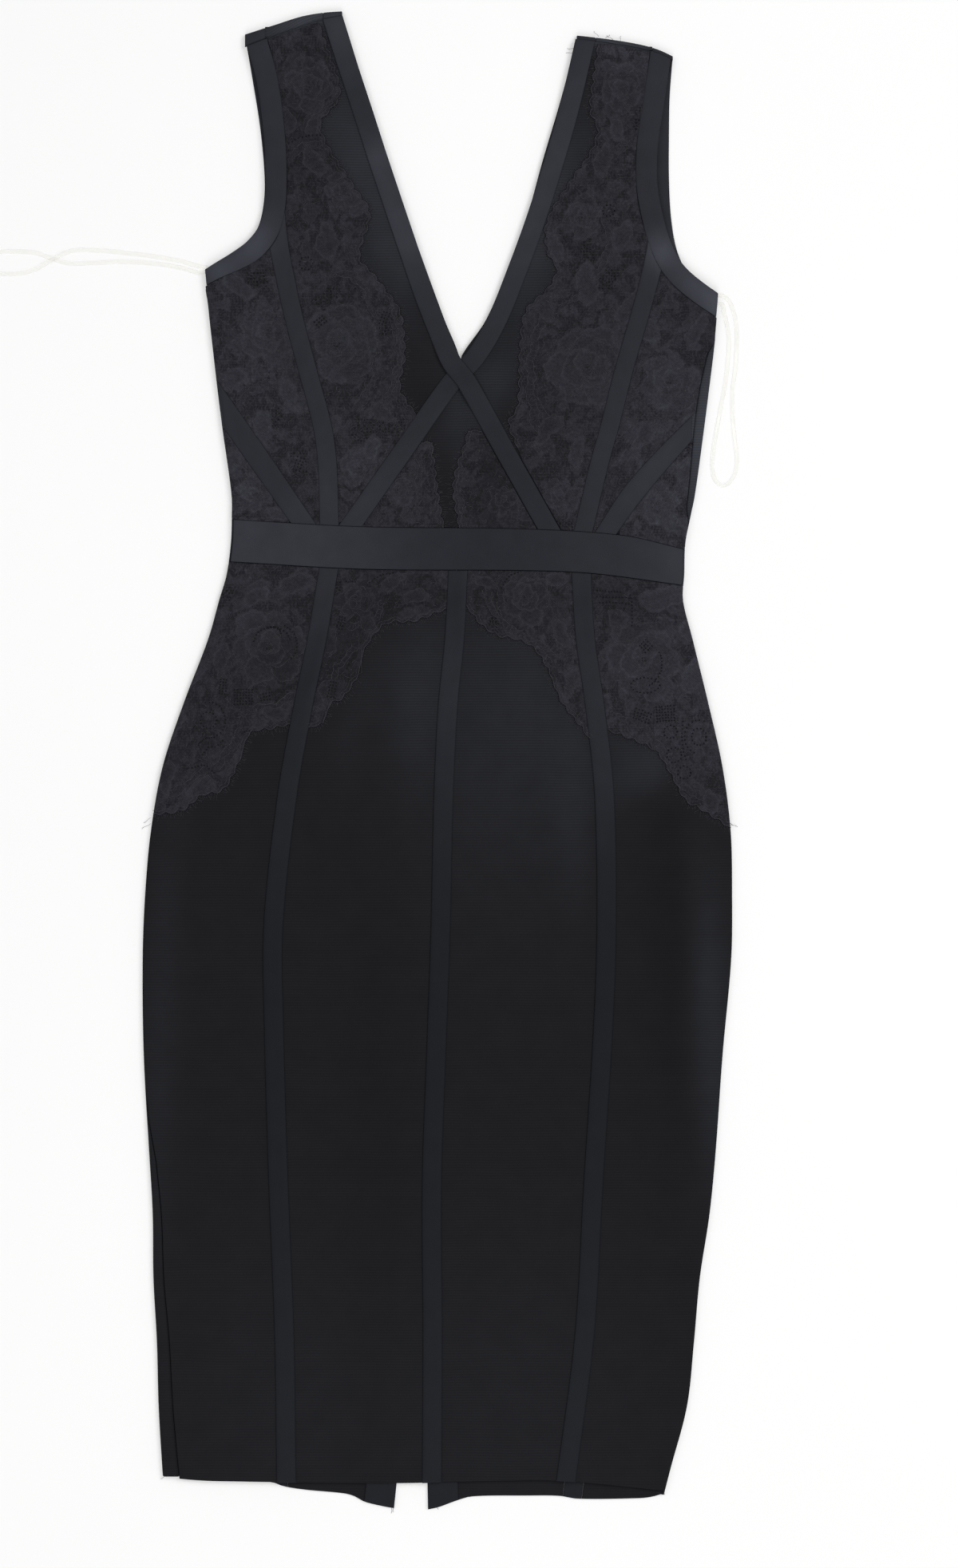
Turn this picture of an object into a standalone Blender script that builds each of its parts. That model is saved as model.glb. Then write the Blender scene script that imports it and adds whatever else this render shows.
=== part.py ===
"""A sleeveless fitted knit dress with lace appliques, laid flat with its front up.

Lengths are millimetres until a mesh is made. X runs across the dress, +Y runs from the
hem to the shoulders and +Z is up. The origin is under the middle of the dress, on the
surface that it lies on. Left and right are as seen from above, so left is -X.

The cloth is a flattened tube: the back lies flat on the surface, turns over at each side
and each shoulder, and meets the front at a seam. Knit bands and lace lie on the front.
"""

from math import cos, exp, hypot, pi, radians, sin

import bpy

MM = 0.001

# Cloth walls and the clearances between neighbours.
KNIT_WALL = 1.5
TRIM_WALL = 1.0
TAPE_WALL = 1.0
WAISTBAND_WALL = 2.9
SEAM_GAP = 0.3
LAYER_GAP = 0.4
HOLLOW = 1.8
SHORTEST_STRIP = 0.6

# Heights of the middle of each layer of cloth.
BACK_LEVEL = KNIT_WALL / 2
FACING_LEVEL = KNIT_WALL + SEAM_GAP + TRIM_WALL / 2
FRONT_LEVEL = KNIT_WALL + HOLLOW + KNIT_WALL / 2
TRIM_RISE = KNIT_WALL / 2 + LAYER_GAP + TRIM_WALL / 2
CROSSING_RISE = TRIM_WALL + LAYER_GAP

# Widths of the knit bands and of what else is cut as a strip.
NECK_BAND = 13.4
ARMHOLE_BAND = 14.5
PRINCESS_BAND = 13.0
SKIRT_BAND = 13.2
VENT_FACING = 21.0
LOOP_TAPE = 3.0

# The back's neck band lies just inside the front's edge and ends below the neck's point.
NECK_INSET = 1.5
NECK_POINT = 277.0
NECK_BAND_FOOT = 268.0
NECK_MITRE = 1.5

# The height where the shoulder folds' size is read.
SHOULDER_HEIGHT = 490.0

# The lowest tip of the left bust lace, how far the bust lace ends below each shoulder, and the inner
# ends and tops of the lace below the diagonal bands and beside the centre.
LACE_TIP = 166.0
LACE_SHORT_LEFT = 1.5
LACE_SHORT_RIGHT = 4.5
SIDE_LACE_INNER_LEFT = -104.0
SIDE_LACE_INNER_RIGHT = 128.0
CENTRE_LACE_TOP_LEFT = 218.0
CENTRE_LACE_TOP_RIGHT = 226.0
LACE_SEAM_INSET = 0.5

# The back vent: half its width at the hem, and where it closes.
VENT_HALF = 11.5
VENT_TOP = -330.0
VENT_FOOT = -515.0

# The back bodice's rows, as shares of its height: closer together where the side fold opens
# out flat below the armhole. Its straight facets sag this much below the curve of the waist.
BACK_ROWS = (
    0, 0.07, 0.14, 0.21, 0.27, 0.33, 0.37, 0.40, 0.43, 0.46, 0.52, 0.60, 0.68, 0.76, 0.84, 0.92, 1
)
CHORD_SAG = 0.9
TURN_STEPS = 4
UNDERARM_LEFT = 292.0
UNDERARM_RIGHT = 277.0
UNDERARM_SPAN = 14.0
UNDERARM_INSET = 1.0

# A grid point is found between its edges by this many eased passes.
EDGE_PASSES = 28
EDGE_EASE = 0.7

# The middle of a hump is cut off flat from a bell this many times its height.
HUMP_BREADTH = 1.7


class Curve:
    """A smooth line through (position, value) knots, read by its position."""

    def __init__(self, *knots):
        self.knots = sorted(knots)

    def slope(self, index):
        low = self.knots[max(index - 1, 0)]
        high = self.knots[min(index + 1, len(self.knots) - 1)]
        return (high[1] - low[1]) / (high[0] - low[0])

    def __call__(self, position):
        first, last = self.knots[0], self.knots[-1]
        if position <= first[0]:
            return first[1] + self.slope(0) * (position - first[0])
        if position >= last[0]:
            return last[1] + self.slope(len(self.knots) - 1) * (position - last[0])
        index = next(i for i in range(len(self.knots) - 1) if position <= self.knots[i + 1][0])
        (start, value), (end, next_value) = self.knots[index], self.knots[index + 1]
        span = end - start
        t = (position - start) / span
        bend = (
            (1 - t) * self.slope(index) * span
            - t * self.slope(index + 1) * span
            + (2 * t - 1) * (next_value - value)
        )
        return value + t * (next_value - value) + t * (1 - t) * bend


def column(table, key, value):
    """The curve of one column of a table against another."""
    return Curve(*((row[key], row[value]) for row in table))


# The sides below the underarm: height, left and right edge, and how far the back wraps
# past the left and the right fold.
SIDES = (
    (-515, -187, 152, 9.0, 0.6),
    (-489, -189, 160, 8.5, 0.6),
    (-445, -192, 171, 7.2, 0.6),
    (-401, -193.5, 176, 6.0, 0.6),
    (-357, -195.5, 180.5, 4.6, 0.6),
    (-313, -196.5, 187, 3.4, 0.6),
    (-269, -198.5, 191, 1.6, 0.6),
    (-203, -202, 196.5, 0.6, 0.6),
    (-137, -202.7, 202, 0.6, 0.6),
    (-93, -201, 202.7, 0.6, 0.6),
    (-49, -197, 201, 0.6, 0.6),
    (-5, -189, 196, 0.6, 0.6),
    (39, -175, 186, 0.6, 0.6),
    (83, -158, 175, 0.6, 0.6),
    (110, -150, 169, 0.6, 0.6),
    (127, -145, 168.5, 0.6, 0.6),
    (149, -142, 171, 0.6, 0.6),
    (182, -141.5, 176.5, 0.6, 1.0),
    (226, -147.5, 183, 0.6, 4.2),
    (255, -151.5, 186.5, 0.6, 5.0),
    (288, -154.5, 190, 0.6, 1.6),
    (314, -158, 193, 0.6, 0.6),
    (336, -161, 194, 0.6, 0.6),
)
SIDE_LEFT = column(SIDES, 0, 1)
SIDE_RIGHT = column(SIDES, 0, 2)
WRAP_LEFT = column(SIDES, 0, 3)
WRAP_RIGHT = column(SIDES, 0, 4)

# The neck edges and the middle of each neck band: height, left edge, right edge.
NECK_EDGES = (
    (277, 15.4, 16.6),
    (303, 5, 33),
    (358, -15, 56),
    (413, -34, 72),
    (457, -48, 86),
    (515, -66, 101),
)
NECK_LEFT = column(NECK_EDGES, 0, 1)
NECK_RIGHT = column(NECK_EDGES, 0, 2)

# The middles of the three front skirt bands: height, left, centre, right.
SKIRT_BANDS = (
    (-497, -103.5, -3.5, 88.5),
    (-394, -105, -3, 101.5),
    (-291, -109, -3.5, 107.5),
    (-188, -112, 0, 114),
    (-115, -112.5, 2.5, 116.5),
    (-25, -103, 4.5, 115),
    (37, -92, 7.5, 108.5),
    (83, -82.5, 12, 102),
    (131, -74.5, 14.5, 99),
)
BAND_LEFT = column(SKIRT_BANDS, 0, 1)
BAND_CENTRE = column(SKIRT_BANDS, 0, 2)
BAND_RIGHT = column(SKIRT_BANDS, 0, 3)
BACK_BAND_SHIFT = 6.0

# The middles of the bodice's princess bands: height, left, right.
PRINCESS_BANDS = (
    (161, -74, 101.5),
    (205, -75.5, 112),
    (230, -79, 119),
    (266, -88.5, 128),
    (304, -98.5, 139),
    (332, -104.5, 146.5),
    (353, -108.5, 151),
    (384, -112, 155),
)
PRINCESS_LEFT = column(PRINCESS_BANDS, 0, 1)
PRINCESS_RIGHT = column(PRINCESS_BANDS, 0, 2)

CENTRE_BACK = Curve((-515, -17.5), (-300, -9), (-150, -2), (0, 6), (150, 14), (277, 15.5))

# Lines across the dress: (x, height).
HEM_FRONT = Curve((-190, -494), (-150, -497), (-30, -498), (40, -496), (85, -496), (155, -501))
HEM_BACK_LEFT = Curve((-190, -494), (-106, -500), (-59, -507), (-45, -512), (-29, -515))
HEM_BACK_RIGHT = Curve((-6, -515), (15, -509), (51, -507), (103, -508.5), (155, -505))
WAIST_HIGH = Curve((-141, 165), (-51, 160), (60, 158.5), (128, 154), (168, 145))
WAIST_LOW = Curve((-141, 136), (-51, 131), (60, 130), (107, 128), (168, 120))
FOLD_TOP_LEFT = Curve((-132, 499), (-112, 506), (-93, 512), (-78, 515), (-65, 515))
SEAM_TOP_LEFT = Curve((-132, 490), (-115, 496.5), (-97, 503), (-82, 508), (-65, 511.5))
FOLD_TOP_RIGHT = Curve((95, 497), (121, 496), (139, 493), (152, 489), (163, 483.5))

# The bust panels: outer edges up the princess seam and then the armhole, and inner edges
# up the seam under the crossed band and then the neck, x by height.
BUST_OUTER_LEFT = Curve((161, -74), (205, -75.5), (230, -79), (266, -88.5), (304, -98.5), (353, -108.5),
                        (392, -117.8), (413, -118), (440, -120), (470, -124), (497, -131))
BUST_OUTER_RIGHT = Curve((161, 101.5), (205, 112), (230, 119), (266, 128), (304, 139), (332, 146.5),
                         (353, 149), (384, 151), (421, 152), (456, 156.5), (484, 163))
BUST_INNER_LEFT = Curve((150, -67), (162, -58.5), (211, -24), (258, 9), (270, 14.5), (277, 15.4),
                        (303, 5), (358, -15), (413, -34), (457, -48), (515, -66))
BUST_INNER_RIGHT = Curve((150, 82), (160, 76), (210, 48), (260, 20), (270, 17), (277, 16.6),
                         (303, 33), (358, 56), (413, 72), (457, 86), (515, 101))
CENTRE_LEFT = Curve((150, -66.4), (162, -57.9), (211, -23.4), (258, 9.6))
CENTRE_RIGHT = Curve((150, 81.4), (160, 75.4), (210, 47.4), (260, 19.4))
CENTRE_TOP = 252.0

# The tops of the side bodice panels along the armhole, height by x.
ARMHOLE_FOOT_LEFT = Curve((-158, 329), (-142, 345.5), (-129, 357), (-122, 370), (-118.5, 382))
ARMHOLE_FOOT_RIGHT = Curve((151, 385), (157, 368), (164, 350), (181, 334), (192, 318))

# The inner edges of the front's armhole bands: x by height, then height by x near the underarm.
LACE_ARM_LEFT = Curve((356, -101.5), (379, -103.2), (406, -101.8), (435, -103.2), (472, -108), (497, -113.5))
LACE_ARM_RIGHT = Curve((345, 141.5), (369, 139.5), (393, 135.5), (421, 136), (449, 140), (492, 145.5))
ARM_FOOT_LEFT = Curve((-157, 323), (-135, 331), (-125, 339), (-115, 349), (-109, 358), (-104, 372))
ARM_FOOT_RIGHT = Curve((141, 365), (148, 348), (160, 329), (174, 314), (190, 299.5))
PRINCESS_TOP_LEFT = 355.0
PRINCESS_TOP_RIGHT = 344.0

# Lace edges on the bodice, by height, and on the hips, by x.
LACE_NECK_LEFT = Curve((237, -14), (255, -25), (276, -22), (297, -23), (310, -26), (333, -43),
                       (345, -53), (376, -46), (394, -57), (435, -80), (453, -68), (464, -67),
                       (504, -80.5))
LACE_NECK_RIGHT = Curve((210, 57), (232, 49), (242, 55), (285, 57), (309, 61), (324, 76), (337, 82),
                        (348, 76), (369, 75), (400, 93), (417, 105), (434, 110), (446, 105),
                        (494, 111))
LACE_CENTRE_LEFT = Curve((158, 5), (190, 0), (226, -4))
LACE_CENTRE_RIGHT = Curve((160, 15), (189, 11), (221, 20), (232, 23))
HIP_SIDE_LEFT = Curve((-198, -38), (-175, -35), (-162, -25), (-146, -20), (-136, -2), (-129, 17),
                      (-114, 21), (-102, 24))
HIP_LEFT = Curve((-85, 23), (-77, 26), (-74, 37), (-64, 43), (-53, 61), (-49, 77), (-35, 93),
                 (-16, 95), (5, 103))
HIP_RIGHT = Curve((22, 103), (30, 93), (42, 85), (53, 83), (67, 76), (78, 58), (84, 42), (96, 26))
HIP_SIDE_RIGHT = Curve((118, 20), (143, 10), (152, 4), (160, -9), (170, -27), (181, -34), (200, -46))

# The diagonal bands from the side seams to the waist: upper edge, lower edge, by x.
DIAGONAL_LEFT = (((-147, 255), (-145, 226)), ((-115, 209), (-122, 193)), ((-84, 163), (-100, 162)))
DIAGONAL_RIGHT = (((175, 236), (175, 219)), ((150, 211), (154, 195)), ((128, 186), (137, 174)),
                  ((111, 160), (124, 156)))
OVER_DIAGONAL_LEFT = Curve((-150, 259), (-115, 209), (-84, 164), (-78, 163))
UNDER_DIAGONAL_LEFT = Curve((-147, 229), (-122, 193), (-100, 162))
OVER_DIAGONAL_RIGHT = Curve((108, 160), (128, 186), (150, 211), (178, 239))
UNDER_DIAGONAL_RIGHT = Curve((124, 155), (137, 172), (154, 193.5), (178, 221))

# The middles of the neck bands, from the shoulder across the front to the waist.
NECK_LINE_LEFT = ((-72.5, 512), (-62, 479), (-50.5, 444), (-40.5, 413), (-21, 355), (-9, 320),
                  (1.5, 293), (10, 273), (20, 260), (48, 210), (76, 160))
NECK_LINE_RIGHT = ((102, 495), (97, 473), (90, 446), (79.5, 411), (67, 372), (53, 334), (40, 302),
                   (26, 277), (9.5, 258.5), (-24, 211), (-58.5, 162))
CROSSING = (16.0, 266.0)
CROSSING_REACH = 30.0
TAIL_LEFT = Curve((162, -58.5), (211, -24), (258.5, 9.5))
TAIL_RIGHT = Curve((160, 76), (210, 48), (260, 20))
TAIL_HALF = 8.2

# The middles of the armhole bands, from the underarm to the shoulder.
ARM_LINE_LEFT = ((-153, 332.5), (-138, 340), (-126.5, 350), (-117, 364), (-112, 380), (-110.5, 406),
                 (-112, 438), (-116.5, 470), (-123, 494))
ARM_LINE_RIGHT = ((187, 314), (170.5, 331), (156, 350), (149, 369), (143.5, 393), (144.5, 421),
                  (149, 453), (154, 486))
BACK_ARM_LINE_LEFT = ((-156, 331), (-138, 340), (-127, 351), (-118, 364), (-113, 380),
                      (-111.5, 400), (-114, 435), (-119, 470), (-124.5, 500))
BACK_ARM_LINE_RIGHT = ((190, 312.5), (170, 331), (158, 349), (152.5, 372), (151, 400), (151, 430),
                       (152, 457), (155.5, 489))
BACK_ARM_EDGE_LEFT = Curve((300, -150), (322, -146), (331, -136), (344, -119.5), (362, -105.5),
                           (380, -103), (400, -102.5), (435, -106), (470, -111), (510, -118))
BACK_ARM_EDGE_RIGHT = Curve((288, 186), (305, 182), (321, 165), (341, 148), (370, 143), (400, 142.5),
                            (430, 143), (457, 144), (500, 149))

# Hanger loops, from one end in the side seam round to the other.
LOOP_LEFT = ((-164.5, 340), (-177, 343.5), (-197, 347), (-219, 349.5), (-238, 351), (-249, 351),
             (-257, 348.5), (-267, 343), (-276, 338), (-287, 335), (-301, 335), (-308, 338),
             (-311, 343), (-307, 348), (-300, 350), (-287, 350), (-276, 349), (-265, 345),
             (-254, 342), (-241, 342), (-219, 343), (-197, 342), (-177, 339), (-164.5, 335.5))
LOOP_RIGHT = ((197, 319.5), (201, 316), (204, 309), (206, 300), (206.5, 287), (205.5, 270),
              (203.5, 254), (203.5, 237), (205, 221), (206.5, 208), (205.5, 198), (201.5, 191),
              (196.5, 189), (191.5, 192.5), (189.5, 202), (190.5, 215), (193, 229), (195.5, 243),
              (198.5, 259), (200.5, 276), (201, 290), (199.5, 300.5), (197.5, 308), (196.5, 313.5))
LOOP_CROSSING = (-265.5, 344.5)
LOOP_CROSSING_REACH = 12.0
LOOP_ROWS = 34

# Soft folds of the front: place, the way it runs from +X, half length, half width, height.
FOLDS = (
    (-62, 255, 100, 80, 50, 0.9),
    (98, 265, 80, 80, 50, 0.9),
    (-150, -60, 80, 130, 48, 1.0),
    (150, -70, 100, 130, 48, 1.1),
    (-30, -250, 93, 150, 60, 1.2),
    (70, -380, 100, 120, 55, 0.8),
    (-120, -400, 88, 110, 50, 0.7),
)


def drape(x, y):
    """How far the front's soft folds lift it."""
    lift = 0.0
    for fold_x, fold_y, turn, half_length, half_width, height in FOLDS:
        along = (x - fold_x) * cos(radians(turn)) + (y - fold_y) * sin(radians(turn))
        across = (y - fold_y) * cos(radians(turn)) - (x - fold_x) * sin(radians(turn))
        lift += height * exp(-((along / half_length) ** 2) - (across / half_width) ** 2)
    return lift


def front_level(x, y):
    return FRONT_LEVEL + drape(x, y)


def trim_level(x, y):
    return front_level(x, y) + TRIM_RISE


def waistband_level(x, y):
    return front_level(x, y) + (WAISTBAND_WALL - KNIT_WALL) / 2


def hump(x, y, place, reach):
    """A smooth rise from 0 at the reach to 1 at a place, with a broad flat top."""
    distance = hypot(x - place[0], y - place[1]) / reach
    if distance >= 1:
        return 0.0
    return min(1.0, HUMP_BREADTH * (1 - distance**2) ** 2 * (1 + 2 * distance**2))


def crossing_level(x, y):
    return trim_level(x, y) + CROSSING_RISE * hump(x, y, CROSSING, CROSSING_REACH)


def back_level(_x, _y):
    return BACK_LEVEL


def facing_level(_x, _y):
    return FACING_LEVEL


def fold_radius(x, y):
    """The radius of the turn that takes the back's cloth up to the front's."""
    return (front_level(x, y) - BACK_LEVEL) / 2


def fold_profile(radius, turn, strip):
    """The cloth past the end of the flat part, as (outward, upward) steps.

    turn is 1 where it lies right over and 0 where it stays flat, and strip is the length of
    cloth after the turn.
    """
    length, angle = pi * radius, pi * max(turn, 0.001)
    arc_radius = length / angle
    steps = [angle * k / TURN_STEPS for k in range(1, TURN_STEPS + 1)]
    arc = [(arc_radius * sin(a), arc_radius * (1 - cos(a))) for a in steps]
    out, up = arc[-1]
    return arc + [(out + strip * cos(angle), up + strip * sin(angle))]


def fold_reach(radius, turn, strip):
    """How far the profile's cloth reaches past the end of the flat part."""
    out = max(step[0] for step in fold_profile(radius, turn, strip))
    return out + (KNIT_WALL / 2 if turn > 0.5 else 0.0)


def between(left, right, bottom, top, columns, rows):
    """A grid of plan points inside four edges.

    left and right give x by height, and bottom and top give height by x. rows is a number of
    even rows, or each row's share of the way up.
    """
    shares = [row / rows for row in range(rows + 1)] if isinstance(rows, int) else rows
    grid = []
    for share in shares:
        points = []
        for step in range(columns + 1):
            x, y = 0.0, (bottom(0.0) + top(0.0)) / 2
            for _ in range(EDGE_PASSES):
                x += EDGE_EASE * (left(y) + (right(y) - left(y)) * step / columns - x)
                y += EDGE_EASE * (bottom(x) + (top(x) - bottom(x)) * share - y)
            points.append((x, y))
        grid.append(points)
    return grid


def smooth_line(points, count):
    """count + 1 points along a smooth line through the given ones, the same distance apart."""
    lengths = [0.0]
    for start, end in zip(points, points[1:]):
        lengths.append(lengths[-1] + hypot(end[0] - start[0], end[1] - start[1]))
    along_x = Curve(*zip(lengths, (p[0] for p in points)))
    along_y = Curve(*zip(lengths, (p[1] for p in points)))
    return [(along_x(lengths[-1] * k / count), along_y(lengths[-1] * k / count)) for k in range(count + 1)]


def strip(line, width, count):
    """A grid of plan points two columns wide along a line."""
    middle = smooth_line(line, count)
    grid = []
    for index, (x, y) in enumerate(middle):
        before, after = middle[max(index - 1, 0)], middle[min(index + 1, count)]
        run = hypot(after[0] - before[0], after[1] - before[1])
        side_x, side_y = (after[1] - before[1]) / run, (before[0] - after[0]) / run
        grid.append([(x - side_x * width / 2, y - side_y * width / 2),
                     (x + side_x * width / 2, y + side_y * width / 2)])
    return grid


def cut_end(grid, line, row):
    """Moves the end row (0 or -1) along the strip's edges to a line across the dress."""
    neighbour = 1 if row == 0 else -2
    for step, (x, y) in enumerate(grid[row]):
        near_x, near_y = grid[neighbour][step]
        for _ in range(6):
            share = (line(x) - near_y) / (y - near_y)
            x, y = near_x + (x - near_x) * share, near_y + (y - near_y) * share
        grid[row][step] = (x, y)
    return grid


def at(grid, level):
    """Lifts a plan grid to a level."""
    return [[(x, y, level(x, y)) for x, y in row] for row in grid]


def knit(name, colour, roughness):
    """A plain cloth finish."""
    material = bpy.data.materials.new(name)
    material.use_nodes = True
    shader = material.node_tree.nodes["Principled BSDF"]
    shader.inputs["Base Color"].default_value = (*colour, 1.0)
    shader.inputs["Roughness"].default_value = roughness
    shader.inputs["Metallic"].default_value = 0.0
    return material


def sew(name, grid, wall, material):
    """Makes one named piece of cloth: the grid is its middle surface, and Solidify is its wall."""
    columns = len(grid[0])
    mesh = bpy.data.meshes.new(name)
    faces = []
    for row in range(len(grid) - 1):
        for step in range(columns - 1):
            corner = row * columns + step
            faces.append((corner, corner + 1, corner + columns + 1, corner + columns))
    middle = [(x * MM, y * MM, z * MM) for row in grid for x, y, z in row]
    mesh.from_pydata(middle, [], faces)
    mesh.materials.append(material)
    mesh.shade_smooth()
    mesh.set_sharp_from_angle(angle=radians(35))
    piece = bpy.data.objects.new(name, mesh)
    bpy.context.scene.collection.objects.link(piece)
    cloth = piece.modifiers.new("wall", "SOLIDIFY")
    cloth.thickness = wall * MM
    cloth.offset = 0.0
    cloth.use_rim = True
    return piece


def shifted(curve, distance):
    return lambda position: curve(position) + distance


def seam_edge(side):
    """The front's edge beside a side seam, x by height. It draws in where the back opens out flat."""
    edge, wrap, underarm = (
        (SIDE_LEFT, WRAP_LEFT, UNDERARM_LEFT) if side < 0 else (SIDE_RIGHT, WRAP_RIGHT, UNDERARM_RIGHT)
    )

    def seam(y):
        x = edge(y)
        freed = UNDERARM_INSET * min(1.0, max(0.0, (y - underarm) / UNDERARM_SPAN + 0.5))
        return x - side * (fold_reach(fold_radius(x, y), 1, 0) + wrap(y) + SEAM_GAP + freed)

    return seam


def shoulder_depth(x):
    """How far below the shoulder fold's top the turned cloth lies flat again."""
    return KNIT_WALL / 2 + fold_radius(x, SHOULDER_HEIGHT)


def shoulder_seam(side):
    """The front's edge at the shoulder seam: height by x."""
    if side < 0:
        return shifted(SEAM_TOP_LEFT, -2 * SEAM_GAP)
    return lambda x: FOLD_TOP_RIGHT(x) - shoulder_depth(x) - SHORTEST_STRIP - SEAM_GAP


SEAM_LEFT = seam_edge(-1)
SEAM_RIGHT = seam_edge(1)
ABOVE_WAIST = shifted(WAIST_HIGH, SEAM_GAP)
BELOW_WAIST = shifted(WAIST_LOW, -SEAM_GAP)


def turned_over(grid, side, turn, wrap):
    """Takes each row of the back's grid over the fold at one side and on to the seam."""
    outward = -1 if side < 0 else 1
    solid = []
    for row in grid:
        x, y = row[0] if side < 0 else row[-1]
        past = [
            (x + outward * out, y, BACK_LEVEL + up)
            for out, up in fold_profile(fold_radius(x, y), turn(y), wrap(y))
        ]
        flat = [(px, py, BACK_LEVEL) for px, py in row]
        solid.append(past[::-1] + flat if side < 0 else flat + past)
    return solid


def over_shoulder(solid, side):
    """Takes the top row of the back's grid over the shoulder and down to the seam."""
    radius = fold_radius(*solid[-1][0][:2])
    extra = [[] for _ in range(TURN_STEPS + 1)]
    for x, y, z in solid[-1]:
        if side < 0:
            length = FOLD_TOP_LEFT(x) - SEAM_TOP_LEFT(x) - radius - KNIT_WALL / 2
        else:
            length = SHORTEST_STRIP
        for row, (out, up) in zip(extra, fold_profile(radius, 1, max(length, SHORTEST_STRIP))):
            row.append((x, y + out, z + up))
    return solid + extra


def back_top(side):
    """The end of the back's flat part below the shoulder fold: height by x."""
    fold = FOLD_TOP_LEFT if side < 0 else FOLD_TOP_RIGHT
    return lambda x: fold(x) - fold_reach(fold_radius(x, SHOULDER_HEIGHT), 1, 0)


def always(value):
    return lambda _: value


def ordered(side, inner, outer):
    """An inner and an outer edge as (left, right)."""
    return (outer, inner) if side < 0 else (inner, outer)


def back_skirt(side, cloth, band_cloth):
    """Half of the back skirt: a centre panel down to the vent, a band, a side panel and a facing."""
    name = "left" if side < 0 else "right"
    hem = HEM_BACK_LEFT if side < 0 else HEM_BACK_RIGHT
    front_band = BAND_LEFT if side < 0 else BAND_RIGHT
    edge, wrap = (SIDE_LEFT, WRAP_LEFT) if side < 0 else (SIDE_RIGHT, WRAP_RIGHT)
    half = SKIRT_BAND / 2

    def vent(y):
        opening = max(0.0, (VENT_TOP - y) / (VENT_TOP - VENT_FOOT))
        return CENTRE_BACK(y) + side * (SEAM_GAP / 2 + VENT_HALF * opening)

    def band(distance):
        return lambda y: front_band(y) + side * (BACK_BAND_SHIFT + distance)

    def fold(y):
        return edge(y) - side * fold_reach(fold_radius(edge(y), y), 1, 0)

    centre = between(*ordered(side, vent, band(-half - SEAM_GAP)), hem, BELOW_WAIST, 3, 14)
    sew(f"back_skirt_centre_{name}", at(centre, back_level), KNIT_WALL, cloth)
    middle = between(*ordered(side, band(-half), band(half)), hem, BELOW_WAIST, 1, 14)
    sew(f"back_skirt_band_{name}", at(middle, back_level), KNIT_WALL, band_cloth)
    flank = between(*ordered(side, band(half + SEAM_GAP), fold), hem, BELOW_WAIST, 2, 14)
    sew(f"back_skirt_side_{name}", turned_over(flank, side, always(1), wrap), KNIT_WALL, cloth)

    near = shifted(vent, side * SEAM_GAP)
    far = shifted(vent, side * VENT_FACING)
    facing = between(*ordered(side, near, far), shifted(hem, 1.0), always(VENT_TOP), 1, 5)
    sew(f"vent_facing_{name}", at(facing, facing_level), TRIM_WALL, band_cloth)


def back_bodice(side, cloth, band_cloth):
    """Half of the back above the skirt: waistband, panel, neck band and armhole band."""
    name = "left" if side < 0 else "right"
    edge, wrap = (SIDE_LEFT, WRAP_LEFT) if side < 0 else (SIDE_RIGHT, WRAP_RIGHT)
    arm_edge = BACK_ARM_EDGE_LEFT if side < 0 else BACK_ARM_EDGE_RIGHT
    arm_line = BACK_ARM_LINE_LEFT if side < 0 else BACK_ARM_LINE_RIGHT
    underarm = UNDERARM_LEFT if side < 0 else UNDERARM_RIGHT
    neck = NECK_LEFT if side < 0 else NECK_RIGHT

    def turn(y):
        return min(1.0, max(0.0, 1 - (y - underarm) / UNDERARM_SPAN))

    def centre(y):
        return CENTRE_BACK(y) + side * SEAM_GAP / 2

    def fold(y):
        return edge(y) - side * fold_reach(fold_radius(edge(y), y), 1, 0)

    def panel_outer(y):
        reach = fold_reach(fold_radius(edge(y), y), turn(y), 0 if turn(y) > 0.5 else wrap(y))
        inward = min(1.0, max(0.0, (y - underarm) / UNDERARM_SPAN - 1))
        inward = inward * inward * (3 - 2 * inward)
        return (1 - inward) * edge(y) + inward * (arm_edge(y) - side * SEAM_GAP) - side * reach

    def band_inner(y):
        return neck(max(y, NECK_POINT)) + side * NECK_INSET

    def band_outer(y):
        return band_inner(y) + side * NECK_BAND

    def panel_inner(y):
        share = min(1.0, max(0.0, 1 + (y - NECK_BAND_FOOT) / NECK_BAND))
        return (1 - share) * centre(y) + share * (band_outer(y) + side * SEAM_GAP)

    waist = between(*ordered(side, centre, fold), WAIST_LOW, WAIST_HIGH, 6, 2)
    sew(f"waistband_back_{name}", turned_over(waist, side, always(1), wrap), KNIT_WALL, band_cloth)

    foot_line = shifted(ABOVE_WAIST, CHORD_SAG)
    panel = between(*ordered(side, panel_inner, panel_outer), foot_line, back_top(side), 3, BACK_ROWS)
    panel = turned_over(panel, side, turn, wrap)
    sew(f"back_bodice_{name}", over_shoulder(panel, side), KNIT_WALL, cloth)

    def foot(x):
        return NECK_BAND_FOOT + NECK_MITRE * abs(x - CENTRE_BACK(NECK_BAND_FOOT))

    neck_band = at(between(*ordered(side, band_inner, band_outer), foot, back_top(side), 1, 9), back_level)
    sew(f"neck_band_back_{name}", over_shoulder(neck_band, side), KNIT_WALL, band_cloth)
    arm_band = at(cut_end(strip(arm_line, ARMHOLE_BAND, 12), back_top(side), -1), back_level)
    sew(f"armhole_band_back_{name}", over_shoulder(arm_band, side), KNIT_WALL, band_cloth)


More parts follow.
